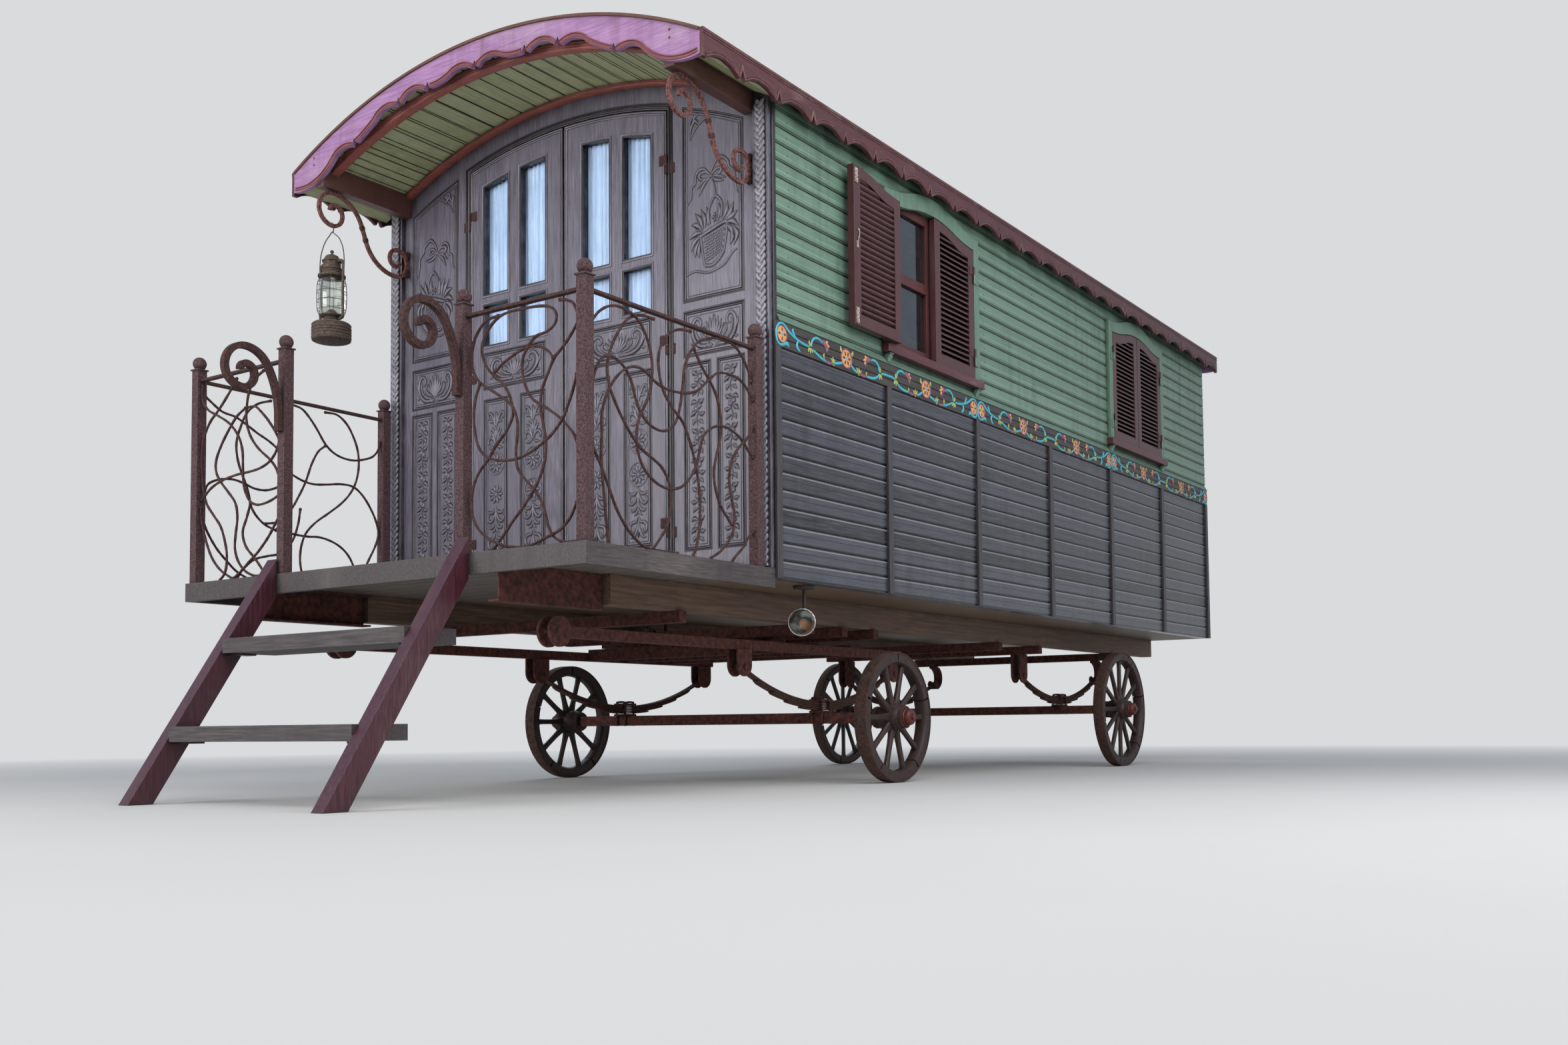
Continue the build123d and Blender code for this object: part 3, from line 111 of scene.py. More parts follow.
def makeShape(points, grain, quads, tris=None):
    tris = np.zeros((0, 3), int) if tris is None else np.asarray(tris, int).reshape(-1, 3)
    return {"points": np.asarray(points, float).reshape(-1, 3),
            "grain": np.asarray(grain, float).reshape(-1, 3),
            "quads": np.asarray(quads, int).reshape(-1, 4),
            "tris": tris}


def joined(shapes):
    starts = np.cumsum([0] + [len(shape["points"]) for shape in shapes])
    return {"points": np.concatenate([shape["points"] for shape in shapes]),
            "grain": np.concatenate([shape["grain"] for shape in shapes]),
            "quads": np.concatenate([shape["quads"] + start for shape, start in zip(shapes, starts)]),
            "tris": np.concatenate([shape["tris"] + start for shape, start in zip(shapes, starts)])}


def moved(shape, offset, fresh=False):
    grain = shape["grain"]
    if fresh:
        # Another stretch of the same wood or metal, so that copies don't look alike.
        grain = grain + randomSource.uniform(-3.0, 3.0, 3)
    return dict(shape, points=shape["points"] + np.array(offset, float), grain=grain)


def sheetQuads(rows, columns, closeRows=False, closeColumns=False):
    rowIndex = np.arange(rows if closeRows else rows - 1)
    columnIndex = np.arange(columns if closeColumns else columns - 1)
    i, j = np.meshgrid(rowIndex, columnIndex, indexing="ij")
    iNext, jNext = (i + 1) % rows, (j + 1) % columns
    return np.stack([i * columns + j, iNext * columns + j,
                     iNext * columns + jNext, i * columns + jNext], -1).reshape(-1, 4)


def closedByFans(rings, grain, endGrain):
    # Joins rings of corners, and closes each end with triangles about its ring's middle.
    count, corners = rings.shape[:2]
    around = np.arange(corners)
    ahead = (around + 1) % corners
    firstMiddle, lastRing = count * corners, (count - 1) * corners
    low = np.stack([np.full(corners, firstMiddle), ahead, around], 1)
    high = np.stack([np.full(corners, firstMiddle + 1), lastRing + around, lastRing + ahead], 1)
    middles = np.stack([rings[0].mean(0), rings[-1].mean(0)])
    return makeShape(np.concatenate([rings.reshape(-1, 3), middles]),
                     np.concatenate([grain.reshape(-1, 3), endGrain]),
                     sheetQuads(count, corners, closeColumns=True), np.concatenate([low, high]))


def skin(path, across, normal, a, b, closed):
    # Each corner is path + across * a + normal * b; the grain runs along the path, with a and b across it.
    rings = path[:, None] + across[:, None] * a[..., None] + normal[:, None] * b[..., None]
    length = reached(path)
    grain = np.stack([np.broadcast_to(length[:, None], a.shape), a, b], -1) * 0.001
    if closed:
        return makeShape(rings, grain, sheetQuads(*a.shape, closeRows=True, closeColumns=True))
    return closedByFans(rings, grain, [[0, 0, 0], [length[-1] * 0.001, 0, 0]])


def sweep(path, section, normal, scale=None, closed=False):
    # A section carried along a path, with across = tangent x normal.
    path = np.asarray(path, float)
    count = len(path)
    if closed:
        tangent = np.roll(path, -1, 0) - np.roll(path, 1, 0)
    else:
        tangent = np.gradient(path, axis=0)
    tangent = unit(tangent)
    normal = np.broadcast_to(np.asarray(normal, float), (count, 3))
    normal = unit(normal - tangent * (normal * tangent).sum(1)[:, None])
    scale = np.ones((count, 2)) if scale is None else np.asarray(scale, float)
    if scale.ndim == 1:
        scale = np.stack([scale, scale], 1)
    section = np.asarray(section, float)
    a = section[None, :, 0] * scale[:, None, 0]
    b = section[None, :, 1] * scale[:, None, 1]
    return skin(path, np.cross(tangent, normal), normal, a, b, closed)


def mouldAlong(path, section, normal, closed=False):
    # Mitred corners: each ring lies in its corner's bisecting plane, wider there by 1 / cos(half the turn).
    path = np.asarray(path, float)
    ahead = np.roll(path, -1, 0) - path
    ahead /= np.maximum(np.linalg.norm(ahead, axis=1), 1e-9)[:, None]
    behind = np.roll(ahead, 1, 0)
    if not closed:
        behind[0], ahead[-1] = ahead[0], behind[-1]
    tangent = unit(ahead + behind)
    spread = 1.0 / np.clip((ahead * tangent).sum(1), 0.3, 1.0)
    normal = np.broadcast_to(np.asarray(normal, float), path.shape)
    across = unit(np.cross(tangent, normal))
    section = np.asarray(section, float)
    a = section[None, :, 0] * spread[:, None]
    b = np.broadcast_to(section[None, :, 1], a.shape)
    return skin(path, across, normal, a, b, closed)


def circleSection(radius, sides):
    angle = fullTurn(sides)
    return np.stack([np.cos(angle) * radius, np.sin(angle) * radius], 1)


def domeSection(width, height, sides, sunk=0.6):
    # Half an ellipse standing on the surface, with a base a little below it.
    angle = np.linspace(0, math.pi, sides)
    arc = np.stack([np.cos(angle) * width / 2, np.sin(angle) * height], 1)
    return np.concatenate([arc, [[-width / 2, -sunk], [width / 2, -sunk]]])


def blockSection(width, height, bevel):
    w, h = width / 2, height / 2
    return np.array([[w - bevel, -h], [w, -h + bevel], [w, h - bevel], [w - bevel, h],
                     [-w + bevel, h], [-w, h - bevel], [-w, -h + bevel], [-w + bevel, -h]])


def turnedRings(profile, centre, axis, sides):
    # Places of (radius, along) about the axis: outward = cos * one + sin * two, both across the axis.
    axis = np.asarray(axis, float) / np.linalg.norm(axis)
    helper = np.array([0.0, 0.0, 1.0]) if abs(axis[2]) < 0.9 else np.array([0.0, 1.0, 0.0])
    one = np.cross(axis, helper)
    one /= np.linalg.norm(one)
    two = np.cross(axis, one)
    angle = fullTurn(sides)
    outward = np.cos(angle)[:, None] * one + np.sin(angle)[:, None] * two
    rings = (np.asarray(centre, float) + profile[:, None, 1:2] * axis
             + profile[:, None, 0:1] * outward[None])
    return angle, rings


def lathe(profile, centre, axis, sides):
    # Turns (radius, place along the axis) about the axis, and closes both ends.
    profile = np.asarray(profile, float)
    angle, rings = turnedRings(profile, centre, axis, sides)
    grain = np.stack([np.broadcast_to(profile[:, 1:2], (len(profile), sides)),
                      profile[:, 0:1] * np.cos(angle), profile[:, 0:1] * np.sin(angle)], -1) * 0.001
    endGrain = np.array([[profile[0, 1], 0, 0], [profile[-1, 1], 0, 0]]) * 0.001
    return closedByFans(rings, grain, endGrain)


def sweepRing(profile, centre, axis, sides):
    # A closed (radius, along) profile turned about the axis into a ring with a hole.
    profile = np.asarray(profile, float)
    angle, rings = turnedRings(profile, centre, axis, sides)
    shape = (sides, len(profile))
    grain = np.stack([np.broadcast_to(angle[:, None] * profile[:, 0].mean(), shape),
                      np.broadcast_to(profile[None, :, 0], shape),
                      np.broadcast_to(profile[None, :, 1], shape)], -1) * 0.001
    return makeShape(rings.transpose(1, 0, 2), grain, sheetQuads(*shape, closeRows=True, closeColumns=True))


def smoothLine(points, step):
    # Catmull-Rom: a cubic through every point, resampled at about one step apart.
    points = np.asarray(points, float)
    padded = np.concatenate([2 * points[:1] - points[1:2], points, 2 * points[-1:] - points[-2:-1]])
    pieces = []
    for k in range(len(padded) - 3):
        a, b, c, d = padded[k:k + 4]
        parts = max(2, int(np.linalg.norm(c - b) / step))
        t = np.linspace(0, 1, parts, endpoint=False)[:, None]
        pieces.append(0.5 * (2 * b + (c - a) * t + (2 * a - 5 * b + 4 * c - d) * t ** 2
                             + (3 * b - 3 * c + d - a) * t ** 3))
    return np.concatenate(pieces + [points[-1:]])


def newPiece(name, shape, body, material, angle=35.0, closed=True):
    mesh = bpy.data.meshes.new(name)
    faces = [tuple(face) for kind in ("quads", "tris") for face in shape[kind].tolist()]
    mesh.from_pydata(toFrame(shape["points"]).tolist(), [], faces)
    attribute = mesh.attributes.new("grainAt", "FLOAT_VECTOR", "POINT")
    attribute.data.foreach_set("vector", shape["grain"].astype(np.float32).ravel())
    if closed:
        work = bmesh.new()
        work.from_mesh(mesh)
        bmesh.ops.recalc_face_normals(work, faces=work.faces)
        work.to_mesh(mesh)
        work.free()
    mesh.shade_smooth()
    mesh.set_sharp_from_angle(angle=math.radians(angle))
    piece = bpy.data.objects.new(name, mesh)
    bpy.context.scene.collection.objects.link(piece)
    mesh.materials.append(material)
    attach(piece, body)
    return piece


# Shader building.

class Net:
    def __init__(self, tree):
        self.tree = tree

    def add(self, kind, inputs=None, **settings):
        made = self.tree.nodes.new(kind)
        for key, value in settings.items():
            setattr(made, key, value)
        for key, value in (inputs or {}).items():
            socket = made.inputs[key]
            if isinstance(value, bpy.types.NodeSocket):
                self.link(value, socket)
            else:
                socket.default_value = value
        return made

    def link(self, source, socket):
        self.tree.links.new(source, socket)

    def maths(self, operation, a, b=0.5, clamped=False):
        return self.add("ShaderNodeMath", {0: a, 1: b}, operation=operation, use_clamp=clamped).outputs[0]

    def vector(self, operation, a, b=None, amount=None):
        inputs = {0: a}
        if b is not None:
            inputs[1] = b
        if amount is not None:
            inputs["Scale"] = amount
        made = self.add("ShaderNodeVectorMath", inputs, operation=operation)
        return made.outputs["Value"] if operation == "DOT_PRODUCT" else made.outputs["Vector"]

    def spread(self, value, fromLow, fromHigh, toLow=0.0, toHigh=1.0):
        return self.add("ShaderNodeMapRange", {"Value": value, "From Min": fromLow, "From Max": fromHigh,
                                               "To Min": toLow, "To Max": toHigh}).outputs["Result"]

    def blend(self, share, first, second):
        return self.add("ShaderNodeMix", {0: share, 6: first, 7: second}, data_type="RGBA").outputs[2]

    def noise(self, place, scale, detail, roughness=0.55):
        return self.add("ShaderNodeTexNoise",
                        {"Vector": place, "Scale": scale, "Detail": detail, "Roughness": roughness})


def startGroup(name, inputs, outputs):
    tree = bpy.data.node_groups.new(name, "ShaderNodeTree")
    for label, kind, value in inputs:
        socket = tree.interface.new_socket(label, in_out="INPUT", socket_type=kind)
        if value is not None:
            socket.default_value = value
    for label, kind in outputs:
        tree.interface.new_socket(label, in_out="OUTPUT", socket_type=kind)
    net = Net(tree)
    return net, net.add("NodeGroupInput").outputs, net.add("NodeGroupOutput").inputs


floatKind, vectorKind = "NodeSocketFloat", "NodeSocketVector"


def makeWoodGrain():
    # Grain runs along x. Lines is streaks per metre across, and waver bends them.
    net, given, put = startGroup(
        "woodGrain",
        [("Vector", vectorKind, None), ("Lines", floatKind, 120.0), ("Waver", floatKind, 0.02)],
        [("Grain", floatKind), ("Pores", floatKind), ("Tone", floatKind)])
    slow = net.noise(given["Vector"], 2.3, 2.0)
    shift = net.vector("SUBTRACT", slow.outputs["Color"], (0.5, 0.5, 0.5))
    shift = net.vector("SCALE", shift, amount=given["Waver"])
    wavered = net.vector("ADD", given["Vector"], shift)
    stretched = net.vector("MULTIPLY", wavered, (0.05, 1.0, 1.0))
    grain = net.noise(stretched, given["Lines"], 5.0, 0.65)
    fine = net.vector("MULTIPLY", wavered, (0.03, 1.0, 1.0))
    pores = net.noise(fine, net.maths("MULTIPLY", given["Lines"], 4.0), 2.0)
    broad = net.noise(net.vector("MULTIPLY", given["Vector"], (0.5, 1.0, 1.0)), 3.1, 3.0)
    for source, label in ((grain, "Grain"), (pores, "Pores"), (broad, "Tone")):
        net.link(source.outputs["Fac"], put[label])
    return net.tree


def makeBoardTone():
    # One random value per board, from the board's number: floor((place - start) / pitch).
    net, given, put = startGroup(
        "boardTone",
        [("Place", floatKind, 0.0), ("Start", floatKind, 0.0), ("Pitch", floatKind, 0.08)],
        [("Tone", floatKind), ("Other", floatKind), ("Share", floatKind)])
    counted = net.maths("DIVIDE", net.maths("SUBTRACT", given["Place"], given["Start"]), given["Pitch"])
    number = net.maths("FLOOR", counted)
    net.link(net.maths("SUBTRACT", counted, number), put["Share"])
    white = net.add("ShaderNodeTexWhiteNoise", {"W": net.maths("ADD", number, 0.37)}, noise_dimensions="1D")
    net.link(white.outputs["Value"], put["Tone"])
    split = net.add("ShaderNodeSeparateColor", {"Color": white.outputs["Color"]})
    net.link(split.outputs[1], put["Other"])
    return net.tree


def makeEdgeWear():
    # Where the rounded normal leaves the face's own, there is an edge; noise breaks it up.
    net, given, put = startGroup(
        "edgeWear",
        [("Vector", vectorKind, None), ("Radius", floatKind, 0.004), ("Patches", floatKind, 18.0)],
        [("Mask", floatKind), ("Normal", vectorKind)])
    rounded = net.add("ShaderNodeBevel", {"Radius": given["Radius"]}, samples=4)
    flat = net.add("ShaderNodeNewGeometry").outputs["Normal"]
    match = net.vector("DOT_PRODUCT", rounded.outputs["Normal"], flat)
    edge = net.spread(match, 0.995, 0.86)
    broken = net.spread(net.noise(given["Vector"], given["Patches"], 5.0, 0.7).outputs["Fac"], 0.44, 0.60)
    net.link(net.maths("MULTIPLY", edge, broken, True), put["Mask"])
    net.link(rounded.outputs["Normal"], put["Normal"])
    return net.tree


def makeDustFall():
    # Dust lies on what faces up: the normal's z, spread, times patchy noise.
    net, given, put = startGroup("dustFall", [("Vector", vectorKind, None)], [("Mask", floatKind)])
    normal = net.add("ShaderNodeNewGeometry").outputs["Normal"]
    up = net.spread(net.add("ShaderNodeSeparateXYZ", {0: normal}).outputs["Z"], 0.35, 0.95)
    patchy = net.spread(net.noise(given["Vector"], 9.0, 5.0, 0.65).outputs["Fac"], 0.3, 0.65)
    net.link(net.maths("MULTIPLY", up, patchy, True), put["Mask"])
    return net.tree


def makeCreviceDirtAndShade():
    # Painted shade, with some dirt, where little light gets in: one minus the ambient occlusion nearby
    # darkens the colour.
    net, given, put = startGroup(
        "creviceDirtAndShade", [("Vector", vectorKind, None), ("Reach", floatKind, 0.03)], [("Mask", floatKind)])
    opened = net.add("ShaderNodeAmbientOcclusion", {"Distance": given["Reach"]}, samples=4)
    shut = net.spread(opened.outputs["AO"], 0.92, 0.45)
    patchy = net.spread(net.noise(given["Vector"], 14.0, 4.0, 0.6).outputs["Fac"], 0.25, 0.6, 0.35, 1.0)
    net.link(net.maths("MULTIPLY", shut, patchy, True), put["Mask"])
    return net.tree


def makeRainStain():
    # Long stains that run down: noise squeezed along z.
    net, given, put = startGroup("rainStain", [("Vector", vectorKind, None)], [("Mask", floatKind)])
    drawnOut = net.vector("MULTIPLY", given["Vector"], (1.0, 1.0, 0.09))
    streaks = net.noise(drawnOut, 16.0, 4.0, 0.6).outputs["Fac"]
    broad = net.noise(given["Vector"], 1.7, 2.0).outputs["Fac"]
    both = net.maths("MULTIPLY", net.spread(streaks, 0.45, 0.75), net.spread(broad, 0.4, 0.65), True)
    net.link(both, put["Mask"])
    return net.tree


def makeRustPatch():
    # Patches of rust with pits in them.
    net, given, put = startGroup(
        "rustPatch",
        [("Vector", vectorKind, None), ("Scale", floatKind, 24.0), ("Cover", floatKind, 0.5)],
        [("Mask", floatKind), ("Pits", floatKind), ("Hue", floatKind)])
    broad = net.noise(given["Vector"], given["Scale"], 6.0, 0.72).outputs["Fac"]
    low = net.maths("SUBTRACT", 0.92, given["Cover"])
    mask = net.maths("MULTIPLY", net.maths("SUBTRACT", broad, net.maths("MULTIPLY", low, 0.62)), 7.0, True)
    fine = net.noise(given["Vector"], net.maths("MULTIPLY", given["Scale"], 9.0), 4.0, 0.7).outputs["Fac"]
    hue = net.noise(given["Vector"], net.maths("MULTIPLY", given["Scale"], 2.6), 4.0, 0.6).outputs["Fac"]
    net.link(mask, put["Mask"])
    net.link(fine, put["Pits"])
    net.link(hue, put["Hue"])
    return net.tree


woodGrain, boardTone, edgeWear = makeWoodGrain(), makeBoardTone(), makeEdgeWear()
dustFall, creviceDirtAndShade = makeDustFall(), makeCreviceDirtAndShade()
rainStain, rustPatch = makeRainStain(), makeRustPatch()


def startMaterial(name):
    material = bpy.data.materials.new(name)
    material.use_nodes = True
    material.node_tree.nodes.clear()
    net = Net(material.node_tree)
    shader = net.add("ShaderNodeBsdfPrincipled")
    output = net.add("ShaderNodeOutputMaterial")
    net.link(shader.outputs[0], output.inputs["Surface"])
    return material, net, shader


def groupNode(net, group, inputs):
    return net.add("ShaderNodeGroup", inputs, node_tree=group).outputs


def mixedSurface(net, share, first, second):
    # The material shows a mix of two shaders in place of the first alone.
    both = net.add("ShaderNodeMixShader", {0: share, 1: first.outputs[0], 2: second.outputs[0]})
    output = [node for node in net.tree.nodes if node.type == "OUTPUT_MATERIAL"][0]
    net.link(both.outputs[0], output.inputs["Surface"])


def surfacePlace(net, own):
    # New pieces carry grainAt; the carried-over nodes use their object coordinates.
    if own:
        return net.add("ShaderNodeAttribute", attribute_name="grainAt").outputs["Vector"]
    return net.add("ShaderNodeTexCoord").outputs["Object"]


def woodMaterial(name, look, own=False):
    material, net, shader = startMaterial(name)
    place = surfacePlace(net, own)
    split = net.add("ShaderNodeSeparateXYZ", {0: place}).outputs
    order = {"x": "XYZ", "y": "YXZ", "z": "ZXY"}[look.get("along", "x")]
    along = net.add("ShaderNodeCombineXYZ", {0: split[order[0]], 1: split[order[1]],
                                             2: split[order[2]]}).outputs[0]
    board = None
    if "boards" in look:
        axis, start, pitch = look["boards"]
        board = groupNode(net, boardTone, {"Place": split[axis], "Start": start, "Pitch": pitch})
        jump = net.add("ShaderNodeCombineXYZ", {0: net.maths("MULTIPLY", board["Tone"], 9.0),
                                                1: net.maths("MULTIPLY", board["Other"], 5.0),
                                                2: 0.0}).outputs[0]
        along = net.vector("ADD", along, jump)
    grain = groupNode(net, woodGrain, {"Vector": along, "Lines": look.get("lines", 120.0)})
    edge = groupNode(net, edgeWear, {"Vector": place, "Radius": look.get("edge", 0.003),
                                     "Patches": look.get("patches", 22.0)})
    dirtAndShade = groupNode(net, creviceDirtAndShade, {"Vector": place, "Reach": look.get("reach", 0.03)})
    dust = groupNode(net, dustFall, {"Vector": place})
    stain = groupNode(net, rainStain, {"Vector": place})
    body = net.blend(net.spread(grain["Grain"], 0.36, 0.66), look["dark"], look["light"])
    body = net.blend(net.spread(grain["Tone"], 0.35, 0.65, 0.0, look.get("cloud", 0.45)), body,
                     look["second"])
    if board:
        body = net.blend(net.spread(board["Tone"], 0.0, 1.0, 0.0, look.get("vary", 0.35)), body,
                         look["boardTint"])
        for low, high, strength, tint in look.get("boardLinesAndLight", ()):
            # A line stands between these shares of each board: distance from its middle, inverted. Dark lines
            # are the joints with painted shade in them; light lines are painted highlights along the board
            # edges.
            away = net.maths("ABSOLUTE", net.maths("SUBTRACT", board["Share"], (low + high) / 2))
            body = net.blend(net.spread(away, (high - low) / 4, (high - low) / 2, strength, 0.0), body, tint)
    if "sunk" in look:
        # Below this height of the stroke's own section the colour darkens: painted shade at the stroke's
        # foot, with dark patina in the hollow.
        low = net.spread(split["Z"], look["sunk"] * 0.45, look["sunk"], 0.92, 0.0)
        body = net.blend(low, body, look["dirtAndShade"])
    if "beyond" in look:
        # Past this distance from the middle plane the node is the side beams, which have their own tint.
        outer = net.spread(net.maths("ABSOLUTE", split["X"]), look["beyond"] - 0.001, look["beyond"], 0.0,
                           0.8)
        body = net.blend(outer, body, look["beyondTint"])
    chips = net.spread(net.maths("ADD", net.maths("MULTIPLY", grain["Pores"], 0.5),
                                 net.maths("MULTIPLY", grain["Tone"], 0.7)), look.get("chipFrom", 0.72), 0.80)
    body = net.blend(net.maths("MAXIMUM", net.maths("MULTIPLY", edge["Mask"], look["wear"]),
                               net.maths("MULTIPLY", chips, look.get("chips", 0.3))), body, look["under"])
    body = net.blend(net.maths("MULTIPLY", stain["Mask"], look.get("stain", 0.3)), body, look["dirtAndShade"])
    # Painted shade with dirt: the ambient-occlusion mask darkens the colour in crevices.
    body = net.blend(net.maths("MULTIPLY", dirtAndShade["Mask"], look.get("grimeAndShade", 0.7)), body, look["dirtAndShade"])
    body = net.blend(net.maths("MULTIPLY", dust["Mask"], look.get("dust", 0.35)), body,
                     look.get("dustTint", tone(132, 124, 114)))
    net.link(body, shader.inputs["Base Color"])
    roughLow, roughHigh = look.get("rough", (0.42, 0.68))
    rough = net.spread(net.maths("ADD", net.maths("MULTIPLY", grain["Grain"], 0.6),
                                 net.maths("MULTIPLY", dirtAndShade["Mask"], 0.4)), 0.2, 0.7, roughLow, roughHigh)
    net.link(rough, shader.inputs["Roughness"])
    height = net.maths("ADD", net.maths("MULTIPLY", grain["Grain"], 0.7),
                       net.maths("MULTIPLY", grain["Pores"], 0.3))
    height = net.maths("SUBTRACT", height, net.maths("MULTIPLY", chips, 0.4))
    bump = net.add("ShaderNodeBump", {"Strength": look["bump"], "Distance": 0.0012,
                                      "Height": height, "Normal": edge["Normal"]})
    net.link(bump.outputs[0], shader.inputs["Normal"])
    return material


def ironMaterial(name, look, own=False):
    material, net, shader = startMaterial(name)
    place = surfacePlace(net, own)
    rust = groupNode(net, rustPatch, {"Vector": place, "Scale": look["scale"], "Cover": look["cover"]})
    edge = groupNode(net, edgeWear, {"Vector": place, "Radius": 0.002, "Patches": 40.0})
    dirtAndShade = groupNode(net, creviceDirtAndShade, {"Vector": place, "Reach": 0.02})
    dust = groupNode(net, dustFall, {"Vector": place})
    rusty = net.blend(net.spread(rust["Hue"], 0.35, 0.68), look["rustDark"], look["rustLight"])
    paint = net.blend(net.spread(rust["Pits"], 0.35, 0.65), look["paint"], look["paintLight"])
    body = net.blend(rust["Mask"], paint, rusty)
    body = net.blend(net.maths("MULTIPLY", edge["Mask"], 0.5), body, look["worn"])
    # Painted shade with dirt: the ambient-occlusion mask darkens the colour in crevices.
    body = net.blend(net.maths("MULTIPLY", dirtAndShade["Mask"], 0.6), body, look["dirtAndShade"])
    body = net.blend(net.maths("MULTIPLY", dust["Mask"], look.get("dust", 0.3)), body, tone(140, 128, 116))
    net.link(body, shader.inputs["Base Color"])
    net.link(net.spread(rust["Mask"], 0.0, 1.0, look.get("gloss", 0.42), 0.86), shader.inputs["Roughness"])
    net.link(net.spread(rust["Mask"], 0.0, 1.0, look["metal"], 0.0), shader.inputs["Metallic"])
    hammer = net.add("ShaderNodeTexVoronoi", {"Vector": place, "Scale": look.get("hammerScale", 90.0)},
                     feature="SMOOTH_F1")
    height = net.maths("ADD", net.maths("MULTIPLY", hammer.outputs["Distance"], look["hammer"]),
                       net.maths("MULTIPLY", rust["Pits"], net.spread(rust["Mask"], 0.0, 1.0, 0.2, 0.8)))
    bump = net.add("ShaderNodeBump", {"Strength": look["bump"], "Distance": 0.0018,
                                      "Height": height, "Normal": edge["Normal"]})
    net.link(bump.outputs[0], shader.inputs["Normal"])
    return material


def glassMaterial(name, tint, smear, roughness, own=False):
    # Clear glass with smears; rays from the lamps pass straight through it.
    material, net, shader = startMaterial(name)
    place = surfacePlace(net, own)
    smudge = net.noise(place, 6.0, 5.0, 0.6).outputs["Fac"]
    fine = net.noise(place, 55.0, 3.0, 0.6).outputs["Fac"]
    film = net.maths("MULTIPLY", net.spread(smudge, 0.45, 0.85), net.spread(fine, 0.3, 0.7, 0.85, 1.0))
    net.link(net.blend(film, tint, smear), shader.inputs["Base Color"])
    net.link(net.spread(film, 0.0, 1.0, roughness, roughness + 0.08), shader.inputs["Roughness"])
    shader.inputs["Transmission Weight"].default_value = 1.0
    shader.inputs["IOR"].default_value = 1.45
    wave = net.noise(place, 4.0, 1.0).outputs["Fac"]
    bump = net.add("ShaderNodeBump", {"Strength": 0.12, "Distance": 0.004, "Height": wave})
    net.link(bump.outputs[0], shader.inputs["Normal"])
    clear = net.add("ShaderNodeBsdfTransparent", {"Color": tint})
    lampRay = net.add("ShaderNodeLightPath").outputs["Is Shadow Ray"]
    mixedSurface(net, lampRay, shader, clear)
    return material


def laceMaterial(name):
    material, net, shader = startMaterial(name)
    place = surfacePlace(net, True)
    flat = net.vector("MULTIPLY", place, (1.0, 1.0, 0.0))
    hanging = net.vector("MULTIPLY", place, (1.0, 0.03, 0.0))
    mesh = net.add("ShaderNodeTexVoronoi", {"Vector": flat, "Scale": 420.0}, voronoi_dimensions="2D",
                   feature="DISTANCE_TO_EDGE")
    threads = net.spread(mesh.outputs["Distance"], 0.10, 0.16, 0.8, 0.0)
    runs = net.spread(net.noise(hanging, 190.0, 3.0, 0.6).outputs["Fac"], 0.42, 0.60)
    closed = net.maths("MAXIMUM", threads, runs)
    shade = net.noise(hanging, 34.0, 3.0).outputs["Fac"]
    net.link(net.blend(net.spread(shade, 0.36, 0.62), tone(226, 230, 236), tone(250, 250, 250)),
                       shader.inputs["Base Color"])
    net.link(net.spread(closed, 0.0, 1.0, 0.76, 1.0), shader.inputs["Alpha"])
    net.link(net.spread(shade, 0.3, 0.7, 0.75, 0.95), shader.inputs["Roughness"])
    shader.inputs["Sheen Weight"].default_value = 0.3
    bump = net.add("ShaderNodeBump", {"Strength": 0.4, "Distance": 0.0006, "Height": closed})
    net.link(bump.outputs[0], shader.inputs["Normal"])
    return material


# Looks of the wood, each with its own colours.

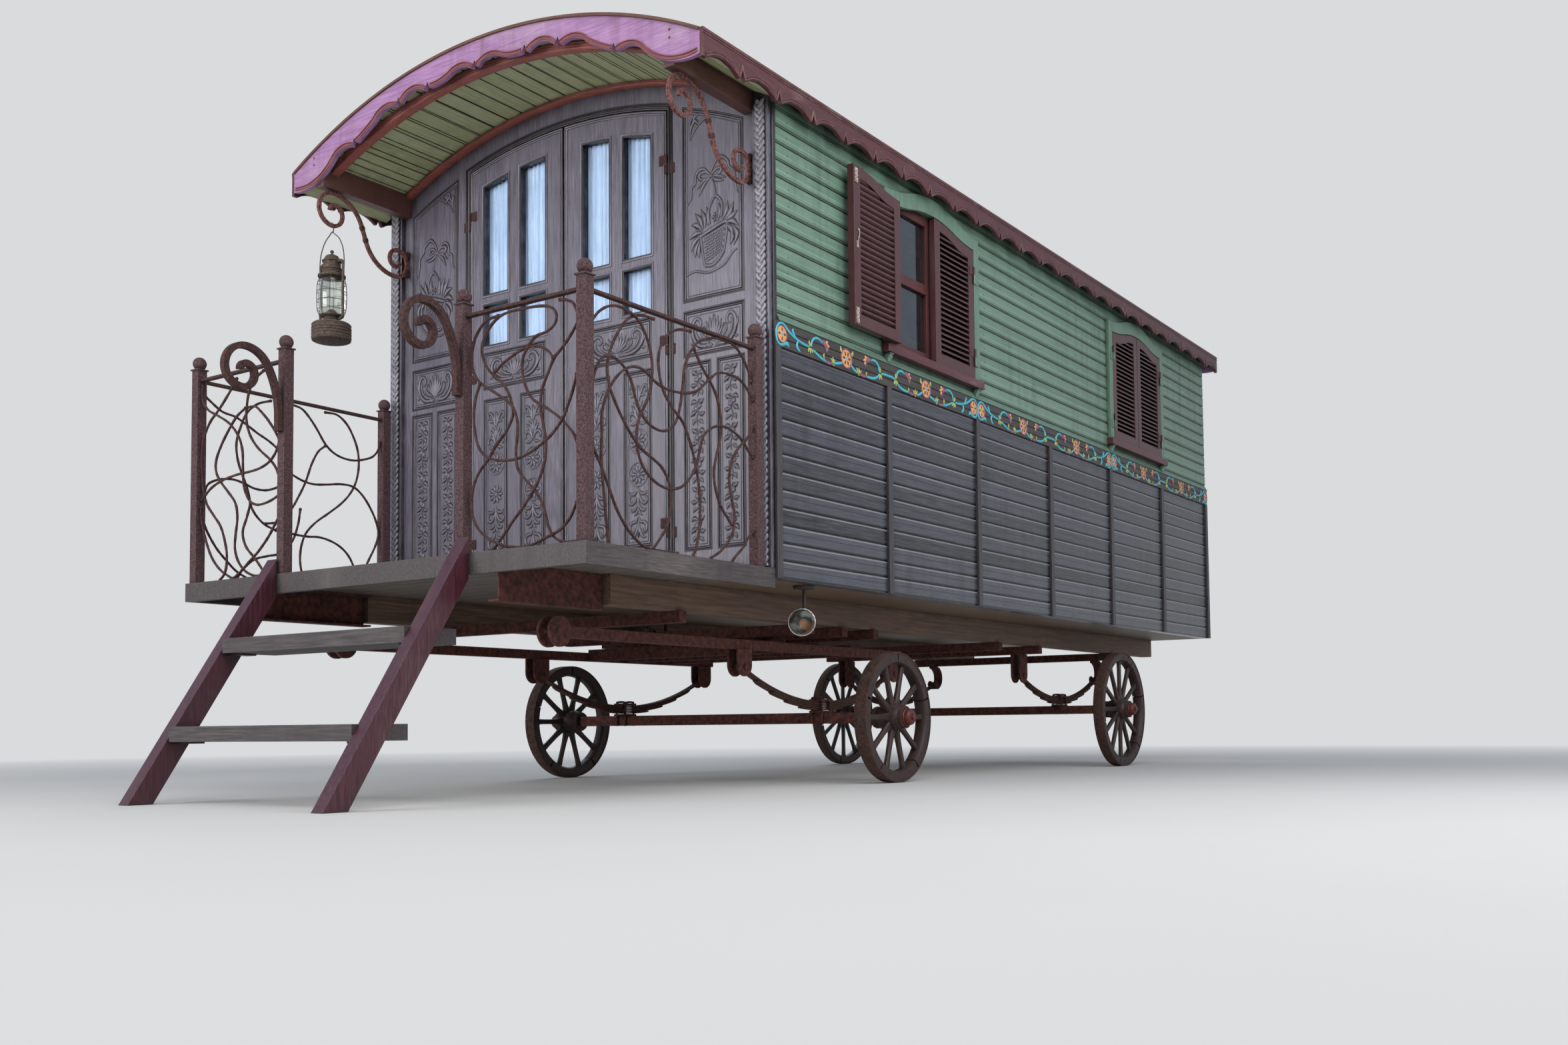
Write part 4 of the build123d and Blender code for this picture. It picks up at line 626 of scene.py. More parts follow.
friezePaint = dict(own=True, wear=0.35, bump=0.2, lines=260.0, edge=0.001, patches=90.0, rough=(0.4, 0.6),
                   grimeAndShade=0.7, reach=0.006, dust=0.15)
looks = {
    "stainedFront": dict(along="z", dark=tone(82, 75, 85), light=tone(132, 127, 143),
                         second=tone(100, 96, 110), under=tone(176, 166, 164), dirtAndShade=tone(8, 6, 7), wear=0.8,
                         rough=(0.30, 0.52), bump=0.4, lines=150.0, chips=0.12, stain=0.4, grimeAndShade=1.0,
                         reach=0.07, dust=0.08, cloud=0.7),
    # Sage boards: the dark line is a joint with painted shade in it; the light line is a painted highlight on
    # the board's edge.
    "sageBoards": dict(along="y", boards=("Z", 1.9965, 0.074), dark=tone(85, 112, 95),
                       light=tone(112, 141, 120), second=tone(97, 127, 107), boardTint=tone(127, 154, 137),
                       vary=0.4, under=tone(124, 116, 98), dirtAndShade=tone(26, 36, 28), wear=0.3,
                       rough=(0.38, 0.58), bump=0.25, lines=110.0, chips=0.12, stain=0.45, grimeAndShade=1.0,
                       reach=0.03, dust=0.08, boardLinesAndLight=[(0.56, 0.72, 0.9, tone(40, 58, 47)),
                                                       (0.90, 0.98, 0.5, tone(146, 174, 154))]),
    "sageTrim": dict(along="z", dark=tone(86, 113, 96), light=tone(112, 142, 121), second=tone(98, 128, 109),
                     under=tone(124, 116, 98), dirtAndShade=tone(26, 36, 28), wear=0.45, bump=0.22, lines=110.0,
                     rough=(0.38, 0.56), stain=0.3, grimeAndShade=0.95, dust=0.08),
    # Lower boards: the dark lines are joints with painted shade at the foot of each board; the light line is
    # a painted highlight on the bead edge.
    "lowerBoards": dict(along="y", boards=("Z", 0.9, 0.076), dark=tone(22, 20, 23), light=tone(72, 72, 80),
                        second=tone(42, 41, 46), boardTint=tone(106, 110, 122), vary=0.34,
                        under=tone(140, 138, 138), dirtAndShade=tone(9, 7, 7), wear=0.5, rough=(0.22, 0.42),
                        bump=0.55, lines=130.0, chips=0.2, stain=0.5, grimeAndShade=1.0, reach=0.03, dust=0.05,
                        boardLinesAndLight=[(0.0, 0.16, 0.9, tone(7, 6, 7)), (0.86, 0.97, 0.6, tone(160, 160, 164)),
                                 (0.55, 0.62, 0.7, tone(14, 12, 13))]),
    "battenWood": dict(along="z", dark=tone(46, 40, 42), light=tone(76, 72, 76), second=tone(58, 56, 60),
                       under=tone(108, 102, 100), dirtAndShade=tone(20, 17, 17), wear=0.55, bump=0.4, lines=130.0),
    "friezeWood": dict(along="y", dark=tone(44, 38, 36), light=tone(70, 64, 62), second=tone(56, 52, 52),
                       under=tone(98, 92, 88), dirtAndShade=tone(20, 17, 15), wear=0.5, bump=0.45, lines=120.0),
    "maroonTrim": dict(along="y", dark=tone(66, 26, 30), light=tone(96, 46, 50), second=tone(84, 40, 46),
                       under=tone(150, 128, 130), dirtAndShade=tone(26, 14, 14), wear=0.7, bump=0.35, chips=0.5,
                       chipFrom=0.66, rough=(0.35, 0.55)),
    "sashWood": dict(along="z", dark=tone(58, 22, 22), light=tone(92, 38, 34), second=tone(74, 30, 30),
                     under=tone(120, 84, 72), dirtAndShade=tone(20, 10, 10), wear=0.5, bump=0.3),
    "shutterPaint": dict(along="z", dark=tone(62, 29, 31), light=tone(88, 48, 47), second=tone(75, 38, 40),
                         under=tone(140, 112, 106), dirtAndShade=tone(16, 8, 8), wear=0.5, bump=0.28,
                         rough=(0.34, 0.54), lines=140.0, chips=0.12, grimeAndShade=0.95, reach=0.02, dust=0.04),
    "fasciaPaint": dict(along="x", dark=tone(138, 96, 142), light=tone(178, 136, 180),
                        second=tone(158, 116, 162), under=tone(206, 190, 200), dirtAndShade=tone(88, 44, 44),
                        wear=0.5, bump=0.3, stain=0.9, rough=(0.45, 0.66), chips=0.35, chipFrom=0.69,
                        dust=0.04),
    "valancePaint": dict(along="y", dark=tone(62, 26, 29), light=tone(96, 47, 50), second=tone(80, 37, 42),
                         under=tone(182, 146, 134), dirtAndShade=tone(20, 10, 10), wear=0.7, bump=0.35, chips=0.4,
                         chipFrom=0.68, rough=(0.40, 0.64), dust=0.06),
    "roofSkin": dict(along="y", dark=tone(70, 60, 58), light=tone(104, 92, 88), second=tone(84, 76, 70),
                     under=tone(124, 114, 104), dirtAndShade=tone(34, 28, 24), wear=0.4, bump=0.5, lines=30.0,
                     rough=(0.7, 0.9), dust=0.5, dustTint=tone(120, 118, 96)),
    # Soffit paint: brightened as painted light, standing in for light bounced up under the eaves.
    "soffitPaintWithPaintedLight": dict(along="y", boards=("X", -1.2, 0.096), dark=tone(152, 160, 116),
                        light=tone(196, 202, 156), second=tone(176, 182, 138), boardTint=tone(212, 214, 172),
                        vary=0.35, under=tone(128, 112, 92), dirtAndShade=tone(40, 40, 30), wear=0.3, bump=0.25,
                        grimeAndShade=0.95, rough=(0.5, 0.7), dust=0.04,
                        boardLinesAndLight=[(0.0, 0.11, 0.9, tone(40, 40, 30))]),
    # Rib paint: brightened as painted light, standing in for light bounced up under the porch roof.
    "ribPaintWithPaintedLight": dict(along="x", dark=tone(138, 70, 60), light=tone(184, 110, 96), second=tone(162, 90, 80),
                     under=tone(190, 156, 142), dirtAndShade=tone(48, 20, 18), wear=0.6, bump=0.35,
                     rough=(0.42, 0.62), dust=0.04, beyond=1.061, beyondTint=tone(62, 50, 46)),
    "deckBoards": dict(along="x", dark=tone(78, 68, 62), light=tone(126, 116, 108), second=tone(100, 90, 86),
                       under=tone(156, 144, 134), dirtAndShade=tone(34, 28, 24), wear=0.6, bump=0.7, lines=110.0,
                       rough=(0.62, 0.85), stain=0.2, dust=0.15),
    "deckFascia": dict(along="y", dark=tone(44, 38, 39), light=tone(84, 75, 75), second=tone(62, 55, 57),
                       under=tone(132, 120, 112), dirtAndShade=tone(20, 15, 15), wear=0.8, bump=0.6, lines=110.0,
                       rough=(0.5, 0.76), stain=0.5, chips=0.4, chipFrom=0.66, dust=0.1),
    "stairPaint": dict(along="z", dark=tone(50, 19, 29), light=tone(88, 42, 54), second=tone(70, 31, 43),
                       under=tone(146, 120, 114), dirtAndShade=tone(16, 7, 9), wear=0.7, bump=0.45, chips=0.3,
                       chipFrom=0.68, rough=(0.28, 0.50), dust=0.06),
    "treadWood": dict(along="x", dark=tone(46, 41, 42), light=tone(90, 82, 82), second=tone(67, 61, 63),
                      under=tone(134, 124, 118), dirtAndShade=tone(22, 17, 17), wear=0.8, bump=0.7, lines=110.0,
                      rough=(0.55, 0.8), dust=0.1),
    "beamWood": dict(along="y", dark=tone(84, 62, 50), light=tone(130, 104, 86), second=tone(104, 84, 72),
                     under=tone(150, 126, 106), dirtAndShade=tone(30, 22, 18), wear=0.5, bump=0.6, lines=80.0,
                     rough=(0.6, 0.82), dust=0.1),
    "paintTurquoise": dict(friezePaint, dark=tone(40, 150, 172), light=tone(92, 200, 214),
                           second=tone(64, 178, 196), under=tone(70, 62, 60), dirtAndShade=tone(26, 40, 44)),
    "paintPurple": dict(friezePaint, dark=tone(110, 62, 88), light=tone(160, 104, 132),
                        second=tone(136, 84, 116), under=tone(70, 62, 60), dirtAndShade=tone(36, 22, 30)),
    "paintOrange": dict(friezePaint, dark=tone(206, 138, 82), light=tone(240, 182, 122),
                        second=tone(224, 158, 100), under=tone(80, 66, 60), dirtAndShade=tone(60, 36, 24)),
    "paintLime": dict(friezePaint, dark=tone(140, 148, 66), light=tone(190, 196, 104),
                      second=tone(164, 172, 84), under=tone(70, 66, 56), dirtAndShade=tone(36, 40, 20)),
    "paintUmber": dict(friezePaint, dark=tone(58, 38, 42), light=tone(92, 64, 66), second=tone(74, 50, 56),
                       under=tone(100, 84, 80), dirtAndShade=tone(24, 16, 16), wear=0.3),
    # Wheel wood and hub: dark brown and red, darkened further as painted shade for the shadow under the
    # wagon.
    "shadedWheelWood": dict(own=True, dark=tone(34, 19, 17), light=tone(62, 38, 33), second=tone(48, 29, 27),
                      under=tone(96, 72, 60), dirtAndShade=tone(16, 10, 9), wear=0.5, bump=0.5, lines=140.0,
                      rough=(0.5, 0.75), chips=0.25, dust=0.1),
    "shadedHubRed": dict(own=True, dark=tone(70, 18, 17), light=tone(108, 34, 30), second=tone(88, 26, 25),
                   under=tone(80, 58, 52), dirtAndShade=tone(22, 9, 8), wear=0.7, bump=0.3, lines=140.0,
                   rough=(0.4, 0.6), chips=0.3, edge=0.002, dust=0.08),
    # Carving and beads: the light colour, paler than the front's own wood, is a painted highlight; the dark
    # below the sunk height is painted shade with patina.
    "carvedWoodWithPaintedLight": dict(own=True, dark=tone(86, 79, 89), light=tone(146, 140, 156), second=tone(114, 108, 124),
                       under=tone(186, 176, 176), dirtAndShade=tone(6, 5, 6), wear=0.6, bump=0.25, lines=220.0,
                       edge=0.0012, patches=70.0, rough=(0.28, 0.48), grimeAndShade=0.9, reach=0.009, dust=0.04,
                       sunk=0.0030),
    # Braid: the pale light colour and strong edge wear are painted highlights; the dark below the sunk height
    # is painted shade with patina.
    "braidWoodWithPaintedLight": dict(own=True, dark=tone(86, 80, 88), light=tone(176, 172, 184), second=tone(130, 126, 138),
                      under=tone(206, 200, 198), dirtAndShade=tone(7, 6, 7), wear=0.8, bump=0.4, lines=220.0,
                      edge=0.0018, patches=60.0, rough=(0.26, 0.46), grimeAndShade=1.0, reach=0.012, dust=0.05,
                      sunk=0.0050),
    # Black bead: dark paint; as outlines round panels, panes, leaves and the door opening it is also painted
    # shadow.
    "blackPaintAndShadow": dict(own=True, dark=tone(26, 22, 25), light=tone(56, 51, 56), second=tone(38, 34, 39),
                      under=tone(120, 114, 112), dirtAndShade=tone(9, 8, 8), wear=0.6, bump=0.3, lines=200.0,
                      edge=0.0015, patches=60.0, rough=(0.3, 0.5), dust=0.1),
    "sageMould": dict(own=True, dark=tone(86, 113, 96), light=tone(112, 142, 121), second=tone(98, 128, 109),
                      under=tone(124, 116, 98), dirtAndShade=tone(26, 36, 28), wear=0.45, bump=0.22, lines=110.0,
                      rough=(0.38, 0.56), grimeAndShade=0.95, reach=0.016, dust=0.1),
    "cappingWood": dict(own=True, dark=tone(70, 44, 36), light=tone(122, 82, 68), second=tone(94, 62, 54),
                        under=tone(160, 132, 116), dirtAndShade=tone(32, 18, 14), wear=0.6, bump=0.6, lines=100.0,
                        rough=(0.6, 0.85), stain=0.4),
    "salmonBead": dict(own=True, dark=tone(92, 38, 42), light=tone(158, 86, 82), second=tone(122, 58, 60),
                       under=tone(206, 176, 164), dirtAndShade=tone(34, 14, 15), wear=0.6, bump=0.3, lines=160.0,
                       rough=(0.40, 0.60), chips=0.35, edge=0.0018, patches=50.0, dust=0.04),
    "maroonMould": dict(own=True, dark=tone(68, 30, 33), light=tone(112, 62, 62), second=tone(90, 46, 50),
                        under=tone(200, 168, 154), dirtAndShade=tone(20, 10, 10), wear=0.8, bump=0.35, lines=120.0,
                        chips=0.45, chipFrom=0.66, edge=0.0018, patches=40.0, rough=(0.40, 0.64), dust=0.06),
    "ribMould": dict(own=True, dark=tone(112, 48, 46), light=tone(172, 96, 88), second=tone(144, 74, 70),
                     under=tone(196, 160, 148), dirtAndShade=tone(36, 15, 15), wear=0.6, bump=0.3, lines=140.0,
                     rough=(0.40, 0.60), edge=0.0018, dust=0.04),
    "interiorWood": dict(along="x", dark=tone(90, 70, 52), light=tone(128, 102, 78), second=tone(106, 86, 66),
                         under=tone(140, 118, 96), dirtAndShade=tone(40, 30, 24), wear=0.3, bump=0.3),
}
wood = {name: woodMaterial(name, look) for name, look in looks.items() if not look.get("own")}
woodOwn = {name: woodMaterial(name, look, True) for name, look in looks.items() if look.get("own")}

ironLooks = {
    "railIron": dict(paint=tone(28, 14, 16), paintLight=tone(50, 29, 31), rustDark=tone(36, 20, 20),
                     rustLight=tone(84, 51, 47), worn=tone(112, 82, 78), dirtAndShade=tone(12, 7, 7), gloss=0.34,
                     scale=30.0, cover=0.45, hammer=0.9, hammerScale=110.0, bump=0.7, metal=0.1, dust=0.04),
    "postIron": dict(paint=tone(44, 27, 31), paintLight=tone(82, 58, 64), rustDark=tone(48, 30, 33),
                     rustLight=tone(104, 76, 78), worn=tone(160, 130, 130), dirtAndShade=tone(16, 9, 10), gloss=0.30,
                     scale=60.0, cover=0.5, hammer=1.6, hammerScale=110.0, bump=1.0, metal=0.1, dust=0.04),
    "bracketIron": dict(paint=tone(66, 34, 34), paintLight=tone(110, 68, 66), rustDark=tone(62, 34, 33),
                        rustLight=tone(140, 92, 86), worn=tone(168, 128, 122), dirtAndShade=tone(20, 11, 11),
                        gloss=0.36, scale=34.0, cover=0.55, hammer=1.4, hammerScale=95.0, bump=1.0, metal=0.1,
                        dust=0.04),
    "carriageIron": dict(paint=tone(56, 24, 24), paintLight=tone(84, 40, 39), rustDark=tone(50, 26, 22),
                         rustLight=tone(106, 58, 48), worn=tone(122, 86, 76), dirtAndShade=tone(14, 8, 8), gloss=0.36,
                         scale=16.0, cover=0.5, hammer=0.25, bump=0.45, metal=0.1, dust=0.08),
    # Tyre iron: darkened as painted shade for the shadow under the wagon.
    "shadedTyreIron": dict(paint=tone(30, 21, 19), paintLight=tone(50, 37, 34), rustDark=tone(38, 24, 20),
                     rustLight=tone(82, 54, 44), worn=tone(120, 108, 100), dirtAndShade=tone(12, 8, 8),
                     scale=26.0, cover=0.5, hammer=0.2, bump=0.5, metal=0.3, dust=0.12),
    "springIron": dict(paint=tone(44, 25, 23), paintLight=tone(68, 42, 38), rustDark=tone(44, 27, 22),
                       rustLight=tone(92, 58, 47), worn=tone(110, 84, 76), dirtAndShade=tone(12, 8, 7),
                       scale=22.0, cover=0.5, hammer=0.15, bump=0.45, metal=0.2, dust=0.1),
    "lanternTin": dict(paint=tone(70, 66, 62), paintLight=tone(112, 106, 98), rustDark=tone(56, 45, 40),
                       rustLight=tone(100, 82, 70), worn=tone(168, 162, 152), dirtAndShade=tone(22, 18, 16),
                       scale=34.0, cover=0.45, hammer=0.05, bump=0.35, metal=0.7, gloss=0.35),
    "nailIron": dict(paint=tone(40, 36, 34), paintLight=tone(70, 62, 58), rustDark=tone(70, 44, 34),
                     rustLight=tone(126, 80, 60), worn=tone(150, 140, 130), dirtAndShade=tone(20, 15, 13),
                     scale=60.0, cover=0.6, hammer=0.1, bump=0.3, metal=0.3),
    "paleIron": dict(paint=tone(214, 210, 204), paintLight=tone(234, 232, 228), rustDark=tone(128, 104, 90),
                     rustLight=tone(176, 152, 136), worn=tone(150, 140, 132), dirtAndShade=tone(70, 58, 52),
                     scale=70.0, cover=0.28, hammer=0.2, bump=0.5, metal=0.1),
    "blackEnamel": dict(paint=tone(20, 21, 22), paintLight=tone(38, 39, 41), rustDark=tone(44, 30, 24),
                        rustLight=tone(78, 56, 44), worn=tone(96, 92, 88), dirtAndShade=tone(12, 11, 10),
                        scale=40.0, cover=0.25, hammer=0.05, bump=0.2, metal=0.0, gloss=0.3),
    "lampSilver": dict(paint=tone(196, 198, 198), paintLight=tone(222, 224, 224),
                       rustDark=tone(150, 144, 136), rustLight=tone(178, 172, 162), worn=tone(230, 230, 228),
                       dirtAndShade=tone(110, 106, 100), scale=30.0, cover=0.2, hammer=0.02, bump=0.1, metal=0.95,
                       gloss=0.12),
    "lampAmber": dict(paint=tone(214, 142, 66), paintLight=tone(240, 184, 110), rustDark=tone(190, 110, 50),
                      rustLight=tone(226, 150, 80), worn=tone(240, 200, 150), dirtAndShade=tone(120, 70, 30),
                      scale=40.0, cover=0.3, hammer=0.02, bump=0.1, metal=0.0, gloss=0.3),
}
iron = {name: ironMaterial(name, ironLooks[name])
        for name in ("railIron", "postIron", "bracketIron", "carriageIron")}
ironOwn = {name: ironMaterial(name + "Own", look, True) for name, look in ironLooks.items()
           if name not in ("postIron", "bracketIron")}
# The panes' bluish tint and smear colour are a painted reflection of the sky.
paneGlassWithPaintedSky = glassMaterial("paneGlassWithPaintedSky", tone(224, 236, 250), tone(206, 220, 236), 0.0)
lanternGlass = glassMaterial("lanternGlass", tone(232, 234, 226), tone(206, 206, 192), 0.10, own=True)
lampGlass = glassMaterial("lampGlass", tone(226, 228, 226), tone(196, 196, 190), 0.10, own=True)
lace = laceMaterial("lace")
print("materials made")

# Each carried-over node's finish.
finishes = {
    "stainedFront": ["front_wall", "side_panels", "corner_posts", "door_left", "door_right"],
    "sageBoards": ["upper_walls"],
    "sageTrim": ["window_casings"],
    "lowerBoards": ["lower_walls", "rear_wall"],
    "battenWood": ["battens"],
    "friezeWood": ["frieze"],
    "maroonTrim": ["window_sills"],
    "sashWood": ["window_sashes"],
    "shutterPaint": [name for name in nodes if name.startswith("shutter_")],
    "fasciaPaint": ["fascias"],
    "valancePaint": ["eave_valances"],
    "roofSkin": ["roof"],
    "soffitPaintWithPaintedLight": ["soffit"],
    "ribPaintWithPaintedLight": ["canopy_frame"],
    "deckBoards": ["deck_boards"],
    "deckFascia": ["deck_fascia"],
    "stairPaint": ["stair_stringers"],
    "treadWood": ["stair_treads"],
    "beamWood": ["main_beams"],
    "interiorWood": ["floor"],
}
ironFinishes = {
    "postIron": ["rail_posts"],
    "bracketIron": ["scroll_brackets"],
    "railIron": ["rail_front", "rail_sides", "handrails", "lantern_frame"],
    "carriageIron": ["cross_members", "deck_channels", "rear_springs", "rear_hangers", "rear_axle",
                     "turntable", "carriage_bars", "front_hangers", "front_springs", "front_axle",
                     "spot_lamps", "front_wheel_left", "front_wheel_right", "rear_wheel_left",
                     "rear_wheel_right"],
}


def dress(names, material):
    for name in names:
        nodes[name].data.materials.clear()
        nodes[name].data.materials.append(material)


for look, names in finishes.items():
    dress(names, wood[look])
for look, names in ironFinishes.items():
    dress(names, iron[look])
dress(["window_glass", "door_glass_left", "door_glass_right"], paneGlassWithPaintedSky)
dress(["lantern_glass"], lanternGlass)
dress(["curtain_left", "curtain_right"], lace)

# Rails: rolled top bars over tendrils bent from round rod, each drawn in its panel's plane.
# A panel's points are (place along the panel, height above the deck).
railPanels = {
    "frontRight": {"fixed": "y", "at": -1130.5, "span": (565.5, 1143.0), "rods": [
        [(730, 890), (670, 885), (635, 865), (600, 825), (585, 780), (582, 735), (595, 690), (630, 650),
         (695, 610), (760, 570), (805, 535), (832, 480), (833, 420), (825, 360), (835, 295), (875, 250),
         (915, 210), (945, 170), (965, 125), (980, 75), (1010, 30), (1060, 8), (1125, 5)],
        [(1130, 345), (1110, 390), (1075, 430), (1030, 470), (970, 510), (905, 550), (872, 600), (856, 655),
         (858, 705), (885, 745), (925, 778), (985, 788), (1025, 812), (1028, 850), (1000, 875), (945, 888),
         (870, 892), (790, 893), (735, 883), (690, 855), (655, 815), (643, 770), (655, 725), (690, 680),
         (740, 640), (780, 590), (800, 535), (800, 495), (765, 445), (715, 402), (670, 350), (625, 310),
         (597, 265), (583, 210), (590, 145), (625, 90), (680, 50), (755, 20), (840, 5), (900, 8), (970, 28),
         (1045, 52), (1095, 90), (1130, 145)],
        [(635, 645), (612, 590), (603, 530), (608, 460), (630, 395), (675, 358), (740, 340), (815, 337),
         (885, 350), (950, 375), (1010, 408), (1060, 455), (1090, 510), (1110, 560), (1125, 610)],
        [(1135, 800), (1100, 760), (1055, 720), (1010, 685), (980, 635), (955, 590), (945, 540), (952, 480),
         (968, 425), (977, 370), (973, 315), (945, 250), (905, 200), (855, 150), (805, 108), (755, 60),
         (700, 8)],
        [(712, 683), (755, 707), (810, 725), (860, 742), (905, 747), (945, 738), (985, 715), (1012, 688)],
        [(1045, 895), (1085, 885), (1112, 868), (1130, 840)]]},
    "sideRight": {"fixed": "x", "at": 1165.5, "span": (-1108.0, -107.5), "rods": [
        [(-1100, 800), (-1060, 845), (-1015, 875), (-965, 890), (-910, 888), (-850, 870), (-810, 835),
         (-780, 785), (-763, 730), (-760, 670), (-772, 605), (-800, 550), (-830, 500), (-845, 440),
         (-838, 375), (-810, 320), (-760, 280), (-700, 257), (-640, 254), (-580, 270), (-530, 310),
         (-492, 360), (-470, 425), (-445, 490), (-395, 530), (-330, 550), (-265, 545), (-200, 522),
         (-150, 485), (-112, 455)],
        [(-1100, 570), (-1078, 630), (-1045, 678), (-1000, 696), (-950, 690), (-900, 660), (-868, 615),
         (-848, 565), (-815, 515), (-760, 480), (-695, 470), (-640, 492), (-605, 535), (-585, 600),
         (-575, 665), (-565, 735), (-535, 800), (-485, 855), (-425, 885), (-350, 905), (-280, 910),
         (-215, 895), (-165, 858), (-125, 812), (-112, 775)],
        [(-745, 893), (-800, 893), (-855, 880), (-905, 848), (-945, 800), (-975, 755), (-1000, 705),
         (-1014, 650), (-1007, 595), (-980, 540), (-935, 478), (-880, 422), (-820, 380), (-755, 355),
         (-700, 330), (-662, 290), (-643, 240), (-645, 175), (-663, 115), (-700, 68), (-755, 12)],
        [(-1005, 5), (-1018, 80), (-1030, 165), (-1043, 245), (-1050, 320), (-1047, 400), (-1045, 475),
         (-1020, 545), (-975, 612), (-920, 660), (-860, 686), (-800, 684), (-740, 656), (-680, 640),
         (-605, 638), (-530, 648), (-470, 672), (-410, 720), (-350, 762), (-280, 772), (-205, 765),
         (-150, 735), (-112, 695)],
        [(-505, 828), (-455, 768), (-405, 728), (-362, 685), (-332, 630), (-320, 560), (-332, 490),
         (-360, 425), (-380, 360), (-372, 295), (-335, 228), (-255, 160)],
        [(-520, 895), (-585, 888), (-645, 862), (-690, 815), (-714, 755), (-712, 690), (-690, 625),
         (-640, 570), (-580, 525), (-540, 465), (-508, 400), (-482, 330), (-465, 260), (-460, 185),
         (-466, 110), (-490, 40), (-510, 8)],
        [(-1103, 405), (-1085, 345), (-1055, 295), (-1015, 220), (-970, 145), (-915, 85), (-850, 38),
         (-780, 10), (-615, 6)],
        [(-112, 580), (-150, 530), (-205, 485), (-250, 425), (-266, 350), (-255, 275), (-240, 215),
         (-248, 145), (-285, 88), (-340, 40), (-395, 10)],
        [(-112, 145), (-160, 95), (-210, 50), (-250, 10)]]},
    "frontLeft": {"fixed": "y", "at": -1130.5, "span": (-1143.0, -565.5), "rods": [
        [(-700, 895), (-765, 868), (-805, 820), (-817, 755), (-812, 690), (-780, 620), (-725, 558),
         (-655, 505), (-612, 462), (-580, 410)],
        [(-895, 890), (-965, 815), (-1025, 760), (-1075, 720), (-1115, 660), (-1135, 590), (-1138, 510),
         (-1130, 430), (-1105, 355), (-1055, 300), (-1000, 245), (-965, 180), (-943, 110), (-950, 40),
         (-985, 5)],
        [(-1135, 890), (-1135, 830), (-1090, 775), (-1015, 738), (-940, 695), (-880, 635), (-848, 565),
         (-838, 480), (-825, 405), (-785, 340), (-735, 315), (-680, 315), (-625, 327), (-580, 345)],
        [(-820, 748), (-885, 720), (-945, 670), (-1000, 610), (-1038, 545), (-1035, 490), (-995, 440),
         (-935, 388), (-882, 335), (-867, 270), (-880, 200), (-888, 140), (-870, 85), (-825, 38), (-765, 12),
         (-700, 6)],
        [(-815, 752), (-750, 745), (-690, 702), (-640, 645), (-580, 580)],
        [(-1135, 375), (-1060, 420), (-975, 448), (-880, 463), (-790, 466), (-715, 472), (-650, 490),
         (-605, 525), (-580, 575)],
        [(-1135, 340), (-1138, 280), (-1110, 195), (-1055, 115), (-990, 50), (-915, 8)],
        [(-785, 330), (-812, 265), (-830, 205), (-805, 140), (-755, 88), (-700, 35), (-665, 10)],
        [(-580, 255), (-640, 175), (-715, 120), (-780, 78), (-840, 32), (-885, 8)]]},
    "sideLeft": {"fixed": "x", "at": -1165.5, "span": (-1108.0, -107.5), "rods": [
        [(-640, 900), (-585, 888), (-540, 850), (-495, 800), (-450, 745), (-400, 708), (-340, 688),
         (-275, 684), (-215, 697), (-160, 720), (-125, 760), (-112, 800)],
        [(-450, 895), (-380, 895), (-320, 860), (-275, 800), (-247, 735), (-240, 660), (-255, 585),
         (-290, 520), (-345, 462), (-420, 405), (-500, 348), (-555, 290), (-580, 225), (-585, 155),
         (-570, 85), (-540, 8)],
        [(-445, 730), (-485, 695), (-525, 625), (-560, 540), (-600, 460), (-640, 390), (-700, 330),
         (-780, 310)],
        [(-660, 575), (-590, 545), (-520, 532), (-440, 540), (-360, 553), (-285, 552), (-230, 525),
         (-180, 475), (-135, 405), (-115, 335), (-135, 270), (-175, 200), (-215, 130), (-250, 60), (-270, 8)],
        [(-720, 290), (-640, 278), (-550, 274), (-470, 278), (-395, 262), (-335, 230), (-290, 180),
         (-262, 110), (-250, 8)],
        [(-1103, 400), (-1080, 455), (-1025, 485), (-960, 495), (-900, 484), (-845, 468), (-780, 468),
         (-720, 488), (-670, 520)],
        [(-1103, 290), (-1075, 225), (-1035, 165), (-980, 115), (-925, 72), (-860, 40), (-790, 8)],
        [(-1100, 850), (-1020, 800), (-945, 788), (-885, 763), (-825, 730), (-760, 698), (-700, 655),
         (-660, 600)],
        [(-760, 895), (-825, 870), (-880, 820), (-915, 745), (-938, 670), (-935, 600), (-915, 535),
         (-880, 460), (-850, 370), (-790, 312), (-720, 285)],
        [(-940, 8), (-900, 80), (-840, 135), (-770, 158), (-700, 178), (-630, 240), (-600, 320),
         (-590, 400)]]},
}
railLook = {"deckTop": 940.0, "rod": 5.6, "rodSides": 8, "step": 12.0, "overrun": 6.0, "highest": 906.0,
            "barTop": 925.0, "barHalf": 7.0, "weave": 4.5,
            "blob": [(0.0, -8.5), (5.0, -6.5), (7.6, -2.5), (7.8, 2.0), (5.8, 6.0), (0.0, 8.0)]}
railBar = [(-12.5, -7.0), (-11.0, -8.0), (11.0, -8.0), (12.5, -7.0), (12.5, -2.5), (9.5, 1.5), (9.0, 4.5),
           (5.0, 6.6), (0.0, 7.0), (-5.0, 6.6), (-9.0, 4.5), (-9.5, 1.5), (-12.5, -2.5)]


def panelPlace(panel, flat):
    # (along, height) to (x, y, z): the fixed coordinate is the panel's plane.
    along, height = np.asarray(flat, float).T
    height = height + railLook["deckTop"]
    return track(along, panel["at"], height) if panel["fixed"] == "y" else track(panel["at"], along, height)


